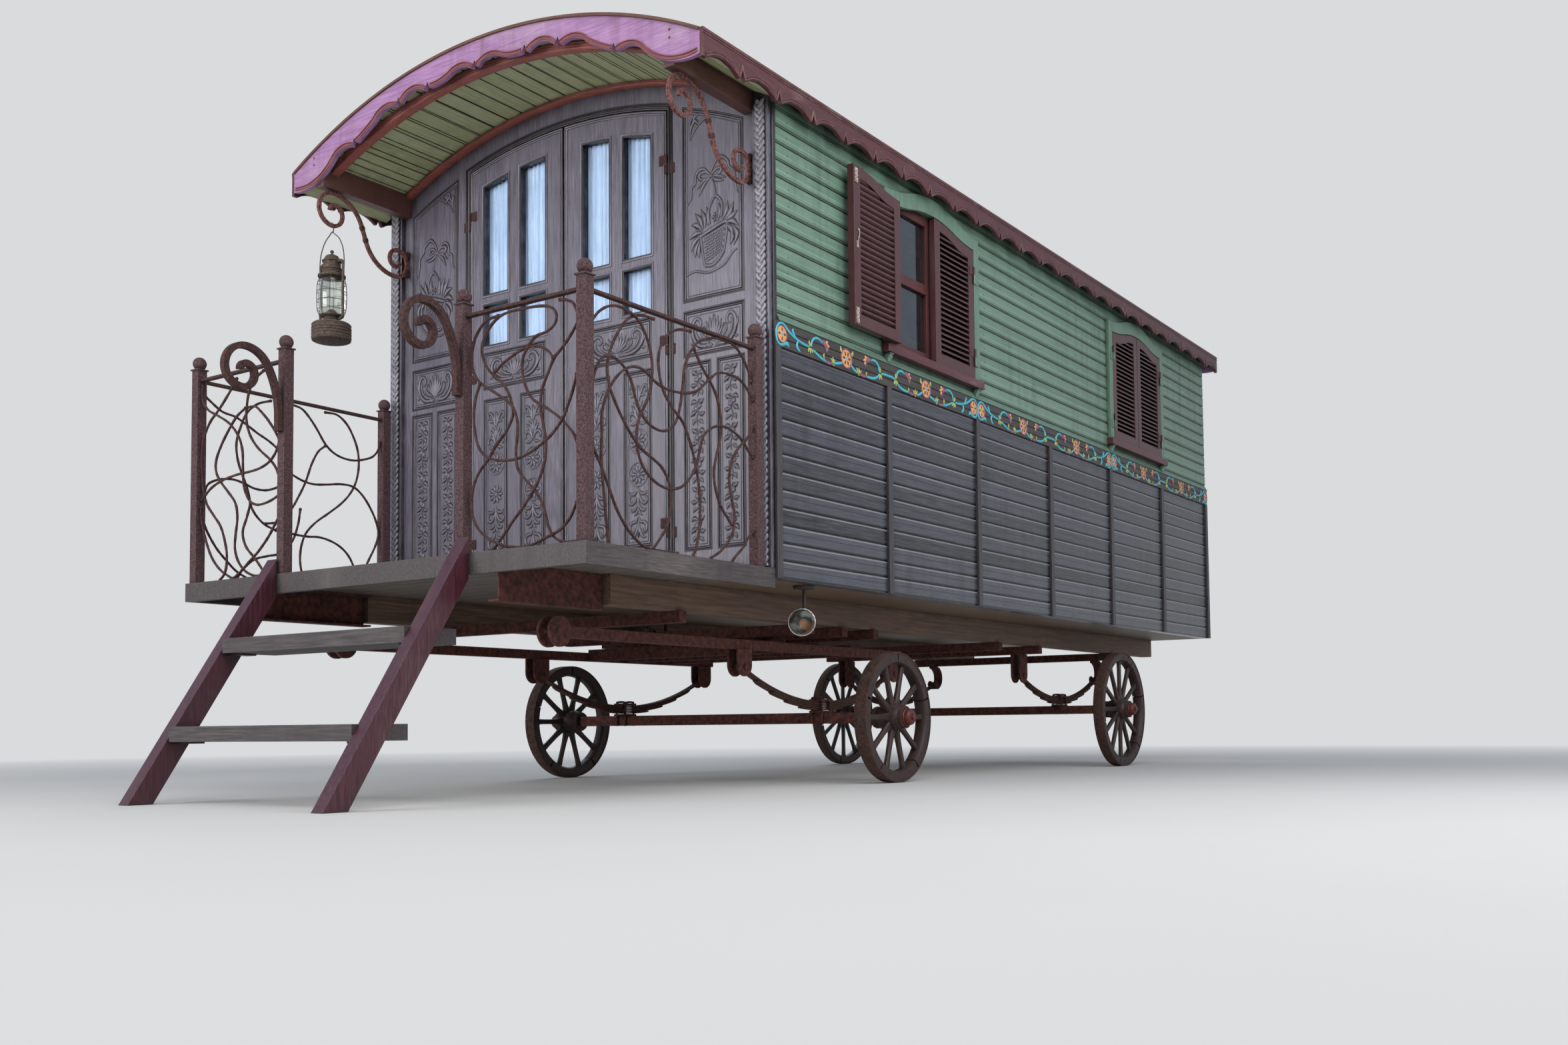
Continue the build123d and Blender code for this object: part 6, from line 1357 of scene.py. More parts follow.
# Carving strokes: points (across, up) about a panel's middle or foot, and the width at each.
carving = {
    "doorLow": [
        ([(4, 262), (12, 290), (26, 318), (42, 332), (54, 322), (52, 306), (40, 302)], [4, 9, 9, 8, 7, 6, 4]),
        ([(2, 268), (8, 300), (4, 338)], [4, 11, 2]), ([(8, 282), (26, 290), (44, 284)], [4, 8, 2]),
        ([(2, 175), (14, 198), (34, 210), (50, 200), (52, 184), (42, 178)], [4, 9, 9, 8, 6, 4]),
        ([(3, 180), (20, 222), (40, 248)], [4, 11, 2]), ([(2, 200), (4, 232), (0, 258)], [3, 10, 2]),
        ([(3, 170), (24, 160), (48, 158)], [3, 9, 2]), ([(10, 212), (14, 240), (28, 262)], [3, 8, 2]),
        ([(0, -128), (-2, -180), (0, -236)], [4, 7, 4]),
        ([(2, -140), (22, -158), (42, -158), (54, -146)], [4, 10, 8, 2]),
        ([(2, -152), (16, -188), (38, -204), (54, -192), (52, -176), (42, -172)], [4, 9, 9, 8, 6, 4]),
        ([(2, -200), (16, -226), (36, -234), (48, -224)], [4, 9, 8, 3]),
        ([(2, -222), (10, -246), (26, -256)], [3, 8, 2]),
        ([(2, -262), (14, -284), (36, -288), (50, -302), (50, -324), (36, -336), (24, -326), (28, -314)],
         [4, 8, 9, 9, 8, 7, 6, 4]),
        ([(2, -290), (8, -322), (24, -350), (48, -358)], [4, 10, 8, 2]),
        ([(0, -300), (0, -332), (0, -356)], [3, 12, 2])],
    "plume": [
        ([(16, -54), (60, -60), (110, -52), (150, -22), (160, 20), (140, 50), (112, 52), (96, 34), (104, 16),
          (122, 16)],
         [5, 10, 11, 11, 10, 10, 9, 8, 6, 4]),
        ([(30, -48), (80, -44), (122, -20), (138, 14), (126, 34)], [4, 8, 8, 7, 3]),
        ([(20, -40), (60, -30), (92, -8), (84, 14), (70, 8)], [4, 8, 8, 6, 3]),
        ([(3, -46), (6, 6), (4, 62)], [4, 13, 2]), ([(8, -44), (22, 4), (30, 52)], [4, 12, 2]),
        ([(12, -42), (38, 0), (56, 38)], [4, 11, 2]), ([(14, -38), (46, -14), (74, 20)], [4, 10, 2]),
        ([(10, -56), (30, -64), (46, -54), (40, -44)], [5, 8, 6, 3]),
        ([(160, -10), (172, 10), (176, 34)], [3, 8, 2]), ([(150, -34), (166, -42), (178, -38)], [3, 8, 2])],
    "vineSprig": [
        ([(-6, 64), (4, 30), (-2, 0), (6, -34), (0, -66)], [3, 4, 4, 4, 3]),
        ([(2, 42), (22, 50), (38, 38)], [3, 13, 2]), ([(0, 38), (-20, 50), (-34, 62)], [3, 12, 2]),
        ([(4, 4), (24, -4), (40, -20)], [3, 13, 2]), ([(-2, -8), (-24, -12), (-40, -4)], [3, 12, 2]),
        ([(4, -36), (20, -44), (26, -62)], [3, 12, 2]), ([(0, -40), (-18, -46), (-30, -60)], [3, 11, 2])],
    "basket": [
        ([(-12, 526), (-44, 560), (-76, 563), (-95, 539), (-99, 506), (-118, 492), (-122, 446), (-141, 419)],
         [4, 7, 9, 8, 7, 7, 7, 3]),
        ([(-12, 526), (2, 566), (39, 600), (80, 573), (89, 546), (117, 513), (121, 466), (135, 419)],
         [4, 7, 9, 8, 7, 7, 7, 3]),
        ([(-12, 526), (-40, 548), (-74, 542), (-68, 520), (-36, 514), (-14, 522)], [4, 8, 9, 8, 7, 3]),
        ([(-10, 526), (16, 548), (44, 548), (38, 528), (14, 520), (-8, 522)], [4, 8, 9, 8, 7, 3]),
        ([(-16, 518), (-49, 492), (-76, 446)], [4, 10, 3]), ([(-18, 520), (-56, 506), (-86, 480)], [4, 8, 3]),
        ([(-6, 518), (20, 500), (60, 489)], [4, 10, 3]), ([(0, 522), (40, 512), (72, 500)], [4, 8, 3]),
        ([(-3, 512), (11, 472), (16, 432)], [3, 4, 3]),
        ([(-21, 311), (-24, 372), (11, 428), (48, 392), (43, 331)], [7, 7, 8, 7, 7]),
        ([(-69, 265), (-20, 282), (40, 300), (77, 305)], [9, 11, 11, 9]),
        ([(-46, 131), (-5, 126), (30, 146), (59, 177)], [9, 9, 9, 8]),
        ([(-68, 262), (-60, 200), (-48, 134)], [6, 6, 6]), ([(76, 302), (70, 240), (60, 180)], [6, 6, 6]),
        ([(-60, 290), (-88, 318), (-122, 326)], [4, 16, 2]),
        ([(-64, 280), (-98, 282), (-130, 262)], [4, 16, 2]),
        ([(-56, 296), (-72, 340), (-100, 374)], [4, 16, 2]),
        ([(-44, 300), (-48, 344), (-66, 386)], [4, 14, 2]),
        ([(-70, 262), (-104, 246), (-122, 206)], [4, 15, 2]),
        ([(-72, 250), (-96, 214), (-100, 176)], [4, 15, 2]),
        ([(-68, 244), (-80, 206), (-76, 168)], [3, 13, 2]),
        ([(-30, 306), (-28, 350), (-36, 392)], [3, 13, 2]), ([(52, 316), (72, 352), (80, 396)], [4, 15, 2]),
        ([(58, 312), (92, 340), (112, 384)], [4, 16, 2]), ([(62, 308), (98, 322), (134, 340)], [4, 16, 2]),
        ([(66, 300), (104, 300), (138, 272)], [4, 16, 2]), ([(70, 292), (96, 268), (108, 236)], [4, 15, 2]),
        ([(100, 288), (128, 240), (112, 190)], [3, 15, 2]), ([(96, 274), (104, 226), (92, 196)], [3, 12, 2]),
        ([(26, 318), (36, 356), (30, 398)], [3, 13, 2]),
        ([(-148, 104), (-99, 114), (-26, 97), (57, 117), (103, 161), (128, 174)], [5, 6, 6, 6, 6, 5])],
    "spandrel": [
        ([(-128, 712), (-90, 758), (-26, 800)], [5, 5, 5]),
        ([(-124, 726), (-118, 768), (-96, 792), (-80, 776), (-60, 788), (-34, 804)], [3, 9, 9, 7, 7, 3]),
        ([(-122, 760), (-126, 786), (-112, 806)], [4, 9, 3]),
        ([(-106, 788), (-96, 812), (-76, 818)], [4, 9, 3])],
}
carvingLook = {"height": 5.6, "rosette": 46.0, "ring": 54.0, "petals": 10, "broad": 1.25, "skirt": 4.5,
               "eye": [(0.0, -0.6), (10.0, -0.6), (10.0, 2.6), (6.0, 5.4), (0.0, 6.0)],
               "fruit": [(0.0, -0.6), (13.0, -0.6), (13.0, 1.5), (9.0, 4.8), (4.0, 6.2), (0.0, 6.6)],
               "fruitAt": ((-8.0, 0.0), (9.0, 10.0)),
               "knot": [(0.0, -0.6), (9.0, -0.6), (9.0, 3.0), (5.0, 6.4), (0.0, 7.0)],
               "knotAt": (-12.0, 526.0), "flowerAt": (16.0, 336.0), "doorRosettes": (82.0, -70.0),
               "sprigs": 6, "sprigTop": 322.0, "sprigPitch": 129.0, "caneRows": 9, "canes": 7,
               "cane": [5.0, 9.5, 5.0], "wickerFoot": ((-42.0, 140.0), (54.0, 184.0)),
               "wickerRim": ((-62.0, 256.0), (70.0, 294.0))}


def middleOf(panel):
    return np.array([(panel[0] + panel[1]) / 2, (panel[2] + panel[3]) / 2])


def fieldPlace(middle, side, scale=(1.0, 1.0)):
    # Places on the panels' field, given about this middle.
    def place(flat):
        return frontPlace(np.asarray(flat, float) * scale + middle, side, frontJoinery["field"])
    return place


def carved(name, middle, side, mirror=False, scale=(1.0, 1.0)):
    # Strokes named here, about a panel's middle, with their mirror images where asked for.
    look = carvingLook
    return [reliefStroke(points, np.array(widths) * look["broad"],
                         fieldPlace(middle, side, (sign * scale[0], scale[1])), frontNormal, look["height"],
                         5.0, 5, look["skirt"])
            for points, widths in carving[name] for sign in ((1, -1) if mirror else (1,))]


def rosette(middle, side, ringed):
    look, place, centre = carvingLook, fieldPlace(middle, side), np.zeros(2)
    size = look["rosette"]
    shapes = petalRing(centre, size * 0.22, size, look["petals"], size * 0.34, place, frontNormal, 5.2,
                       skirt=look["skirt"])
    shapes.append(boss(look["eye"], place([[0.0, 0.0]])[0], frontNormal, 14))
    if ringed:
        shapes.append(ringStroke(centre, look["ring"], 6.0, place, frontNormal, 4.0, 36))
    return shapes


def fruit(middle, side):
    return [boss(carvingLook["fruit"], fieldPlace(middle, side)([offset])[0], frontNormal, 14)
            for offset in carvingLook["fruitAt"]]


def wickerwork(side, middle):
    # Rows of short canes between the basket's rim and foot, each row half a cane further on.
    look, place = carvingLook, fieldPlace(middle, side)
    low, high = np.array(look["wickerFoot"]), np.array(look["wickerRim"])
    rows, canes = look["caneRows"], look["canes"]
    shapes = []
    for row in range(rows):
        t = (row + 0.5) / rows
        left, right = low[0] * (1 - t) + high[0] * t, low[1] * (1 - t) + high[1] * t
        for cane in range(canes):
            a, b = [np.clip((cane + 0.5 * (row % 2) + reach) / canes, 0.02, 0.98) for reach in (-0.42, 0.42)]
            if b - a < 0.05:
                continue
            sag = 4.0 * math.sin(math.pi * (a + b) / 2)
            points = [left * (1 - s) + right * s - np.array([0.0, sag]) for s in (a, (a + b) / 2, b)]
            shapes.append(reliefStroke(points, look["cane"], place, frontNormal, 3.8, 7.0, 5))
    return shapes


def makeCarvings():
    look = carvingLook
    for side, label in bothSides:
        shapes = []
        for number, panel in enumerate(frontJoinery["doorPanels"][:2]):
            middle = middleOf(panel)
            upper, lower = [middle + (0.0, height) for height in look["doorRosettes"]]
            shapes += carved("doorLow", middle, side, mirror=True, scale=(0.96, 1.0))
            shapes += rosette(upper, side, True)
            shapes += rosette(lower, side, (number == 0) == (side < 0))
        shapes += carved("plume", middleOf(frontJoinery["doorPanels"][2]), side, mirror=True,
                         scale=(0.96, 0.92))
        newPiece("carvedDoor" + label, joined(shapes), f"door_{label.lower()}", woodOwn["carvedWoodWithPaintedLight"],
                 50.0)
        shapes = []
        for number, panel in enumerate(frontJoinery["fixedPanels"][:2]):
            for sprig in range(look["sprigs"]):
                place = middleOf(panel) + (0.0, look["sprigTop"] - look["sprigPitch"] * sprig)
                turned = -1 if (sprig + number) % 2 else 1
                shapes += carved("vineSprig", place, side, scale=(turned, 0.92))
                shapes += fruit(place + (2.0 * turned, 16.0), side)
        shapes += carved("plume", middleOf(frontJoinery["fixedPanels"][2]), side, mirror=True,
                         scale=(0.74, 1.12))
        left, right, bottom, _ = frontJoinery["fixedPanels"][3]
        corner = np.array([(left + right) / 2, bottom + frontJoinery["margin"]])
        shapes += carved("basket", corner, side) + wickerwork(side, corner)
        shapes += carved("spandrel", corner, side)
        shapes.append(boss(look["knot"], fieldPlace(corner, side)([look["knotAt"]])[0], frontNormal, 12))
        flower = fieldPlace(corner + look["flowerAt"], side)
        shapes += petalRing(np.zeros(2), 5.0, 24.0, 6, 13.0, flower, frontNormal, 6.4, skirt=look["skirt"])
        newPiece("carvedFixed" + label, joined(shapes), "house", woodOwn["carvedWoodWithPaintedLight"], 50.0)


# Corner posts: a flat three-strand plait down each face, and a studded dark strip round the corner.
braidLook = {"x": 1155.0, "y": -20.0, "bottom": 948.0, "top": 2952.0, "pitch": 92.0, "sway": 18.0,
             "lift": 2.6, "strand": 23.0, "thick": 7.0, "step": 6.6, "stripX": 1200.0, "stripY": 12.0,
             "stripEnds": (941.0, 2940.0), "strip": (24.0, 11.0, 3.0), "studOut": 5.4,
             "studs": (955.0, 2935.0, 21.0), "stud": [(0.0, -0.6), (3.6, -0.6), (3.6, 0.8), (2.0, 2.4),
                                                      (0.0, 2.8)]}


def makeBraids():
    look = braidLook
    for side, label in bothSides:
        z = np.arange(look["bottom"], look["top"], look["step"])
        shapes = []
        for strand in range(3):
            # Three strands cross as sway * cos(t + thirds), and pass over and under as cos(2 (t + thirds)).
            t = z * 2 * math.pi / look["pitch"] + strand * 2 * math.pi / 3
            x = side * (look["x"] + look["sway"] * np.cos(t))
            y = look["y"] - 4.0 - look["lift"] * np.cos(2 * t + math.pi / 2)
            shapes.append(sweep(track(x, y, z), domeSection(look["strand"], look["thick"], 5, 2.4),
                                frontNormal))
        newPiece("braid" + label, joined(shapes), "house", woodOwn["braidWoodWithPaintedLight"], 50.0)
        line = track(side * look["stripX"], look["stripY"], np.linspace(*look["stripEnds"], 40))
        shapes = [sweep(line, blockSection(*look["strip"]), (side, 0, 0))]
        one = lathe(look["stud"], (side * (look["stripX"] + look["studOut"]), look["stripY"], 0.0),
                    (side, 0, 0), 6)
        shapes += [moved(one, (0, 0, height)) for height in np.arange(*look["studs"])]
        newPiece("cornerStrip" + label, joined(shapes), "house", woodOwn["blackPaintAndShadow"], 40.0)


# Side walls: a moulded ledge over the frieze, corbels under the window casings, and nail heads.
wallLook = {
    "x": 1200.0, "ledge": 1997.0, "start": 26.0, "length": 5600.0, "corbels": (941.0, 1859.0, 3741.0, 4659.0),
    "corbelTop": 2049.0, "corbelHalf": 17, "nailFrom": 120.0, "nailPitch": 622.0, "upperFirst": 2000.0,
    "upperPitch": 74.0, "upperBoards": 12, "windows": (1400.0, 4200.0), "windowHalf": 520.0,
    "windowFoot": 2040.0, "moulding": [(-26, -1), (-26, 4), (-20, 5), (-17, 9), (-11, 11), (-5, 15), (-1, 16),
                                       (0, 12), (0, -1)],
    "ogee": [(0, -1), (0, 34), (6, 34), (9, 28), (18, 26), (28, 18), (34, 16), (40, 17), (46, 10), (48, -1)],
    "nail": [(0.0, -0.4), (3.4, -0.4), (3.0, 0.8), (0.0, 1.2)],
}


def makeWallTrim():
    look = wallLook
    nails = []
    for side, label in bothSides:
        x = side * look["x"]
        ends = (look["start"], look["length"])[::side]
        shapes = [sweep(track(x, np.linspace(*ends, 40), look["ledge"]), look["moulding"], (side, 0, 0))]
        for place in look["corbels"]:
            across = side * np.linspace(-look["corbelHalf"], look["corbelHalf"], 3) + place
            shapes.append(sweep(track(x, across, look["corbelTop"]), look["ogee"], (side, 0, 0)))
        newPiece("wallLedge" + label, joined(shapes), "house", woodOwn["sageMould"], 35.0)
        one = lathe(look["nail"], (x, 0.0, 0.0), (side, 0, 0), 8)
        for board in range(look["upperBoards"]):
            z = look["upperFirst"] + look["upperPitch"] * board + look["upperPitch"]
            for place in np.arange(look["nailFrom"], look["length"], look["nailPitch"]):
                byWindow = min(abs(place - window) for window in look["windows"]) < look["windowHalf"]
                if not (byWindow and z > look["windowFoot"]):
                    nails.append(moved(one, (0, place + randomSource.uniform(-6, 6),
                                             z + randomSource.uniform(-3, 3))))
    newPiece("wallNails", joined(nails), "house", ironOwn["nailIron"], 40.0)


# Roof trim: a capping strip and beads on the fascias, a moulding on the valances, beads on the porch rib.
roofTrim = {
    "halfWidth": 1258.0, "fasciaRadius": 2676.0, "faces": ((-570.0, -1), (5720.0, 1)),
    "capHalf": 1256.0, "capDrop": 7.0, "capOut": 2.0, "cap": (13.0, 13.6, 2.5),
    "fasciaBeads": ((7.0, 10.0), (18.0, 7.0)), "screwShare": 88.0, "screwDrops": (38.0, 68.0),
    "screw": [(0.0, -0.5), (6.0, -0.5), (5.2, 1.4), (2.0, 2.2), (0.0, 2.2)],
    "ribHalf": 1058.0, "ribs": ((-500.0, 2563.0, 8.0), (-500.0, 2574.0, 7.0), (-500.0, 2588.0, 6.0),
                                (-40.0, 2583.0, 6.0)),
    "notchShare": 100 * 18.0 / 1258.0, "lastLip": (99.2, 93.0),
    "notches": ((0.0, 98.0, 134.0), (24.3, 96.0, 132.0), (39.8, 86.0, 122.0), (64.6, 120.0, 150.0)),
    "waves": (((6.8, 106.0), (12.4, 119.0), (18.3, 134.0)), ((32.0, 97.0),),
              ((46.5, 98.0), (52.9, 119.0), (59.3, 142.0)), ((70.0, 126.0), (77.2, 137.0), (86.6, 156.0))),
    "valance": {"x": 1275.0, "top": 3018.3, "depth": 118.0, "ends": (-570.0, 5720.0), "arches": 24,
                "rise": 34.0, "notchHalf": 17.0, "notchRise": 42.0, "lip": 8.0, "sunk": 0.2,
                "lowerBeads": ((7.0, 9.0, 3.8), (17.5, 6.0, 2.8)), "upperBeads": ((9.0, 12.0), (22.0, 6.0))},
}


def belowFasciaTop(share, depth):
    # Across in hundredths of half the roof's width; height on the circle this deep below the top edge.
    x = roofTrim["halfWidth"] * share / 100.0
    return np.array([x, bowHeight(roofTrim["fasciaRadius"] - depth, x)])


def arcThrough(first, middle, last, count=12):
    # The circle through three points: its centre solves two perpendicular-bisector equations.
    a, b, c = (np.asarray(point, float) for point in (first, middle, last))
    matrix = 2 * np.array([b - a, c - a])
    centre = np.linalg.solve(matrix, np.array([b @ b - a @ a, c @ c - a @ a]))
    start, stop = np.arctan2(*(a - centre)[::-1]), np.arctan2(*(c - centre)[::-1])
    through = np.arctan2(*(b - centre)[::-1])
    sweepAngle = (stop - start) % (2 * math.pi)
    if (through - start) % (2 * math.pi) > sweepAngle:
        sweepAngle -= 2 * math.pi
    angle = start + sweepAngle * np.linspace(0, 1, count)
    return centre + np.linalg.norm(a - centre) * np.stack([np.cos(angle), np.sin(angle)], 1)


def fasciaWaves():
    # The lower edge's stretches between notches, right of the middle, each as a run of points.
    ends = [(share - roofTrim["notchShare"], lips) for share, _, lips in roofTrim["notches"][1:]]
    ends.append(roofTrim["lastLip"])
    stretches = []
    for (share, _, lips), wave, end in zip(roofTrim["notches"], roofTrim["waves"], ends):
        lip, nextLip = belowFasciaTop(share + roofTrim["notchShare"], lips), belowFasciaTop(*end)
        if len(wave) == 1:
            run = arcThrough(lip, belowFasciaTop(*wave[0]), nextLip, 16)
        else:
            crest, slope, belly = [belowFasciaTop(*place) for place in wave]
            run = np.concatenate([arcThrough(lip, crest, slope)[:-1], arcThrough(slope, belly, nextLip)])
        stretches.append(run)
    return stretches


def raised(line, distance):
    # Each point moved by the distance along the line's left-hand normal (-tangent z, tangent x).
    tangent = unit(np.gradient(line, axis=0))
    return line + np.stack([-tangent[:, 1], tangent[:, 0]], 1) * distance


def makeFasciaTrim():
    look = roofTrim
    caps, beads, screws = [], [], []
    for face, outward in look["faces"]:
        across = np.linspace(-look["capHalf"], look["capHalf"], 61)
        top = track(across, face, bowHeight(look["fasciaRadius"] - look["capDrop"], across))
        up = track(across, 0.0, top[:, 2] - bowCentre)
        caps.append(sweep(top + (0, outward * look["capOut"], 0), blockSection(*look["cap"]), up))
        for sign in (1, -1):
            for stretch in fasciaWaves():
                for distance, width in look["fasciaBeads"]:
                    line = raised(stretch, distance)
                    path = track(sign * line[:, 0], face, line[:, 1])
                    beads.append(sweep(path, domeSection(width, 5.0, 6), (0, outward, 0)))
            for drop in look["screwDrops"]:
                x, z = belowFasciaTop(look["screwShare"], drop)
                screws.append(lathe(look["screw"], (sign * x, face, z), (0, outward, 0), 12))
    for name, shapes, material, angle in (("Cap", caps, woodOwn["cappingWood"], 35.0),
                                          ("Beads", beads, woodOwn["salmonBead"], 40.0),
                                          ("Screws", screws, ironOwn["nailIron"], 40.0)):
        newPiece("fascia" + name, joined(shapes), "house", material, angle)


def valanceEdge():
    # Lip, arch, lip, notch point, and so on along the eave.
    look = roofTrim["valance"]
    start, stop = look["ends"]
    pitch = (stop - start) / look["arches"]
    bottom = look["top"] - look["depth"]
    half = pitch / 2 - look["notchHalf"] - look["lip"]
    radius = (half ** 2 + look["rise"] ** 2) / (2 * look["rise"])
    angle = np.linspace(-math.asin(half / radius), math.asin(half / radius), 9)
    arch = np.stack([radius * np.sin(angle), bottom + look["rise"] - radius + radius * np.cos(angle)], 1)
    points = []
    for number in range(look["arches"]):
        middle = start + pitch * (number + 0.5)
        edge = look["notchHalf"]
        points.append([[middle - pitch / 2 + edge, bottom]])
        points.append(arch + (middle, 0))
        points.append([[middle + pitch / 2 - edge, bottom], [middle + pitch / 2, bottom + look["notchRise"]]])
    return np.concatenate(points)[:-1]


def makeValanceTrim():
    look = roofTrim["valance"]
    edge = valanceEdge()
    for side, label in bothSides:
        x = side * (look["x"] - look["sunk"])
        shapes = []
        for rise, width, height in look["lowerBeads"]:
            path = track(x, edge[:, 0], edge[:, 1] + rise)
            shapes.append(mouldAlong(path, domeSection(width, height, 5), (side, 0, 0)))
        for drop, width in look["upperBeads"]:
            path = track(x, np.linspace(*look["ends"], 60), look["top"] - drop)
            shapes.append(sweep(path, domeSection(width, 3.6, 5), (side, 0, 0)))
        newPiece("valanceMoulding" + label, joined(shapes), "house", woodOwn["maroonMould"],
                 35.0)


def makeRibBeads():
    # Three beads along the front porch rib and one on the wall rib, on circles about the roof's centre.
    across = np.linspace(-roofTrim["ribHalf"], roofTrim["ribHalf"], 49)
    shapes = [sweep(track(across, y, bowHeight(radius, across)), domeSection(width, 4.0, 5), frontNormal)
              for y, radius, width in roofTrim["ribs"]]
    newPiece("ribBeads", joined(shapes), "house", woodOwn["ribMould"], 40.0)


# Ironwork: door hinges, the open leaf's bolt and hook, collars on the scrolled brackets.
ironwork = {
    "hingeX": 628.0, "hingeY": -6.0, "heights": (1160.0, 1980.0, 2800.0), "plate": 44.0, "half": 45.0,
    "plateY": (-3.8, -0.3), "screwAcross": 28, "screwAlong": (12.0, 33.0),
    "screw": [(0.0, -0.4), (3.4, -0.4), (2.6, 1.4), (0.0, 2.0)],
    "leafX": 1268.0, "boltY": 577.0, "bolts": ((2104.0, 2176.0), (2756.0, 2822.0)),
    "knob": [(0.0, 0.0), (6.0, 0.0), (6.0, 1.6), (4.0, 2.8), (0.0, 3.1)], "hookY": 582.0, "hookZ": 2480.0,
    "hook": ((0, -12), (0, -6), (6, 18), (14, 44), (12, 56), (4, 60), (-1, 53)), "hookSize": (6.0, 2.8, 0.9),
    "bracketX": 1088.0, "stem": ((-9.0, 2591.0), (78.0, 196.0), 69.0, 76.9), "collarAt": (0.12, 0.9),
    "collar": (26.0, 21.0, 4.0), "tabHeights": (2620.0, 2720.0), "tabY": (-1.0, -8.0, -16.0),
    "tab": (30.0, 30.0, 5.0),
}


def plate(corner, opposite, bevel=1.0):
    # A flat plate between two corners, with its long edges eased.
    low, high = np.minimum(corner, opposite), np.maximum(corner, opposite)
    middle, size = (low + high) / 2, high - low
    path = track(middle[0], middle[1], np.linspace(low[2], high[2], 3))
    return sweep(path, blockSection(size[0], size[1], bevel), (0, 1, 0))


def makeHinges():
    look = ironwork
    frameSide = []
    half, wide, (front, back) = look["half"], look["plate"], look["plateY"]
    barrel = [(0.0, 0.0), (4.6, 0.0), (6.2, 1.4), (6.2, half - 1.6), (4.8, half - 0.4), (0.0, half - 0.4)]
    for side, label in bothSides:
        x, y = side * look["hingeX"], look["hingeY"]
        leafSide = []
        for z in look["heights"]:
            frameSide.append(lathe(barrel, (x, y, z - half), (0, 0, 1), 14))
            leafSide.append(lathe(barrel, (x, y, z), (0, 0, 1), 14))
            frameSide.append(plate((x + side, front, z - half), (x + side * wide, back, z)))
            leafSide.append(plate((x - side, front, z), (x - side * wide, back, z + half)))
            for drop in look["screwAlong"]:
                across = side * look["screwAcross"]
                frameSide.append(lathe(look["screw"], (x + across, front, z - drop), frontNormal, 8))
                leafSide.append(lathe(look["screw"], (x - across, front, z + drop), frontNormal, 8))
        newPiece("doorHinges" + label, joined(leafSide), f"door_{label.lower()}", ironOwn["railIron"],
                 40.0)
    newPiece("doorHingeFrames", joined(frameSide), "house", ironOwn["railIron"], 40.0)


def makeLeafFittings():
    # All of it stays within the few millimetres between the shut leaf and the sash.
    look = ironwork
    x, y = look["leafX"], look["boltY"]
    shapes = []
    for low, high in look["bolts"]:
        shapes.append(plate((x, y - 13, low), (x + 1.3, y + 13, high), 0.4))
        shapes.append(plate((x + 1.2, y - 4.5, low - 4), (x + 4.0, y + 4.5, high - 6), 0.9))
        for z in (low + 10, (low + high) / 2, high - 14):
            shapes.append(plate((x + 1.0, y - 11, z - 4), (x + 4.5, y + 11, z + 4), 0.9))
        shapes.append(lathe(look["knob"], (x + 1.4, y, high - 24), (1, 0, 0), 12))
    z, y = look["hookZ"], look["hookY"]
    shapes.append(plate((x, y - 8, z - 26), (x + 1.3, y + 8, z + 4), 0.4))
    hook = track(x + 2.8, *(np.array(look["hook"]) + (y, z)).T)
    shapes.append(sweep(smoothLine(hook, 4.0), blockSection(*look["hookSize"]), (1, 0, 0)))
    newPiece("leafFittings", joined(shapes), "shutter_right_1_front", ironOwn["paleIron"],
             40.0)


def makeCollars():
    # Follows the bracket's bar: a loop of a quarter turn, a sweep of 69 degrees, then the straight stem.
    look = ironwork
    (startY, lowZ), (loop, sweepRadius), turn, straight = look["stem"]
    turnAngle = math.radians(turn)
    loopEnd = np.array([startY - loop, lowZ])
    sweepEnd = loopEnd + np.array([-sweepRadius * math.sin(turnAngle),
                                   sweepRadius * (1 - math.cos(turnAngle))])
    heading = np.array([-math.cos(turnAngle), math.sin(turnAngle)])
    shapes = []
    for side in (1, -1):
        x = side * look["bracketX"]
        for share in look["collarAt"]:
            middle = sweepEnd + heading * straight * share
            path = [(x, *(middle + heading * reach)) for reach in (-8, 0, 8)]
            shapes.append(sweep(path, blockSection(*look["collar"]), (1, 0, 0)))
        for z in look["tabHeights"]:
            shapes.append(sweep([(x, y, z) for y in look["tabY"]], blockSection(*look["tab"]), (1, 0, 0)))
    newPiece("bracketCollars", joined(shapes), "house", ironOwn["railIron"], 40.0)


# Springs: five separate leaves each, rolled eyes, and two shackle bolts over the axle.
springLook = {
    "x": 650.0, "width": 44.0, "leaf": 9.0, "leaves": 5, "clamp": 12.0, "eye": 18.0, "eyeHalf": 21,
    "pin": 10.3, "narrower": 1.5, "gap": 1.1, "bevel": 1.6, "tips": ((1.0, 1.0), (0.72, 0.6)),
    "axles": {"front": (1180.0, 345.5, 560.0, 690.0), "rear": (4130.0, 399.5, 590.0, 620.0)},
    "nut": [(0, 32), (15, 32), (15, 42), (12, 44), (0, 44)], "plateHalf": (36, 55), "plateThick": 11.0,
    "plateGap": 13.0, "hoopY": 36, "hoop": ((-30, -6), (-22, 6), (0, 8), (22, 6), (30, -6)), "hoopLow": 56,
}


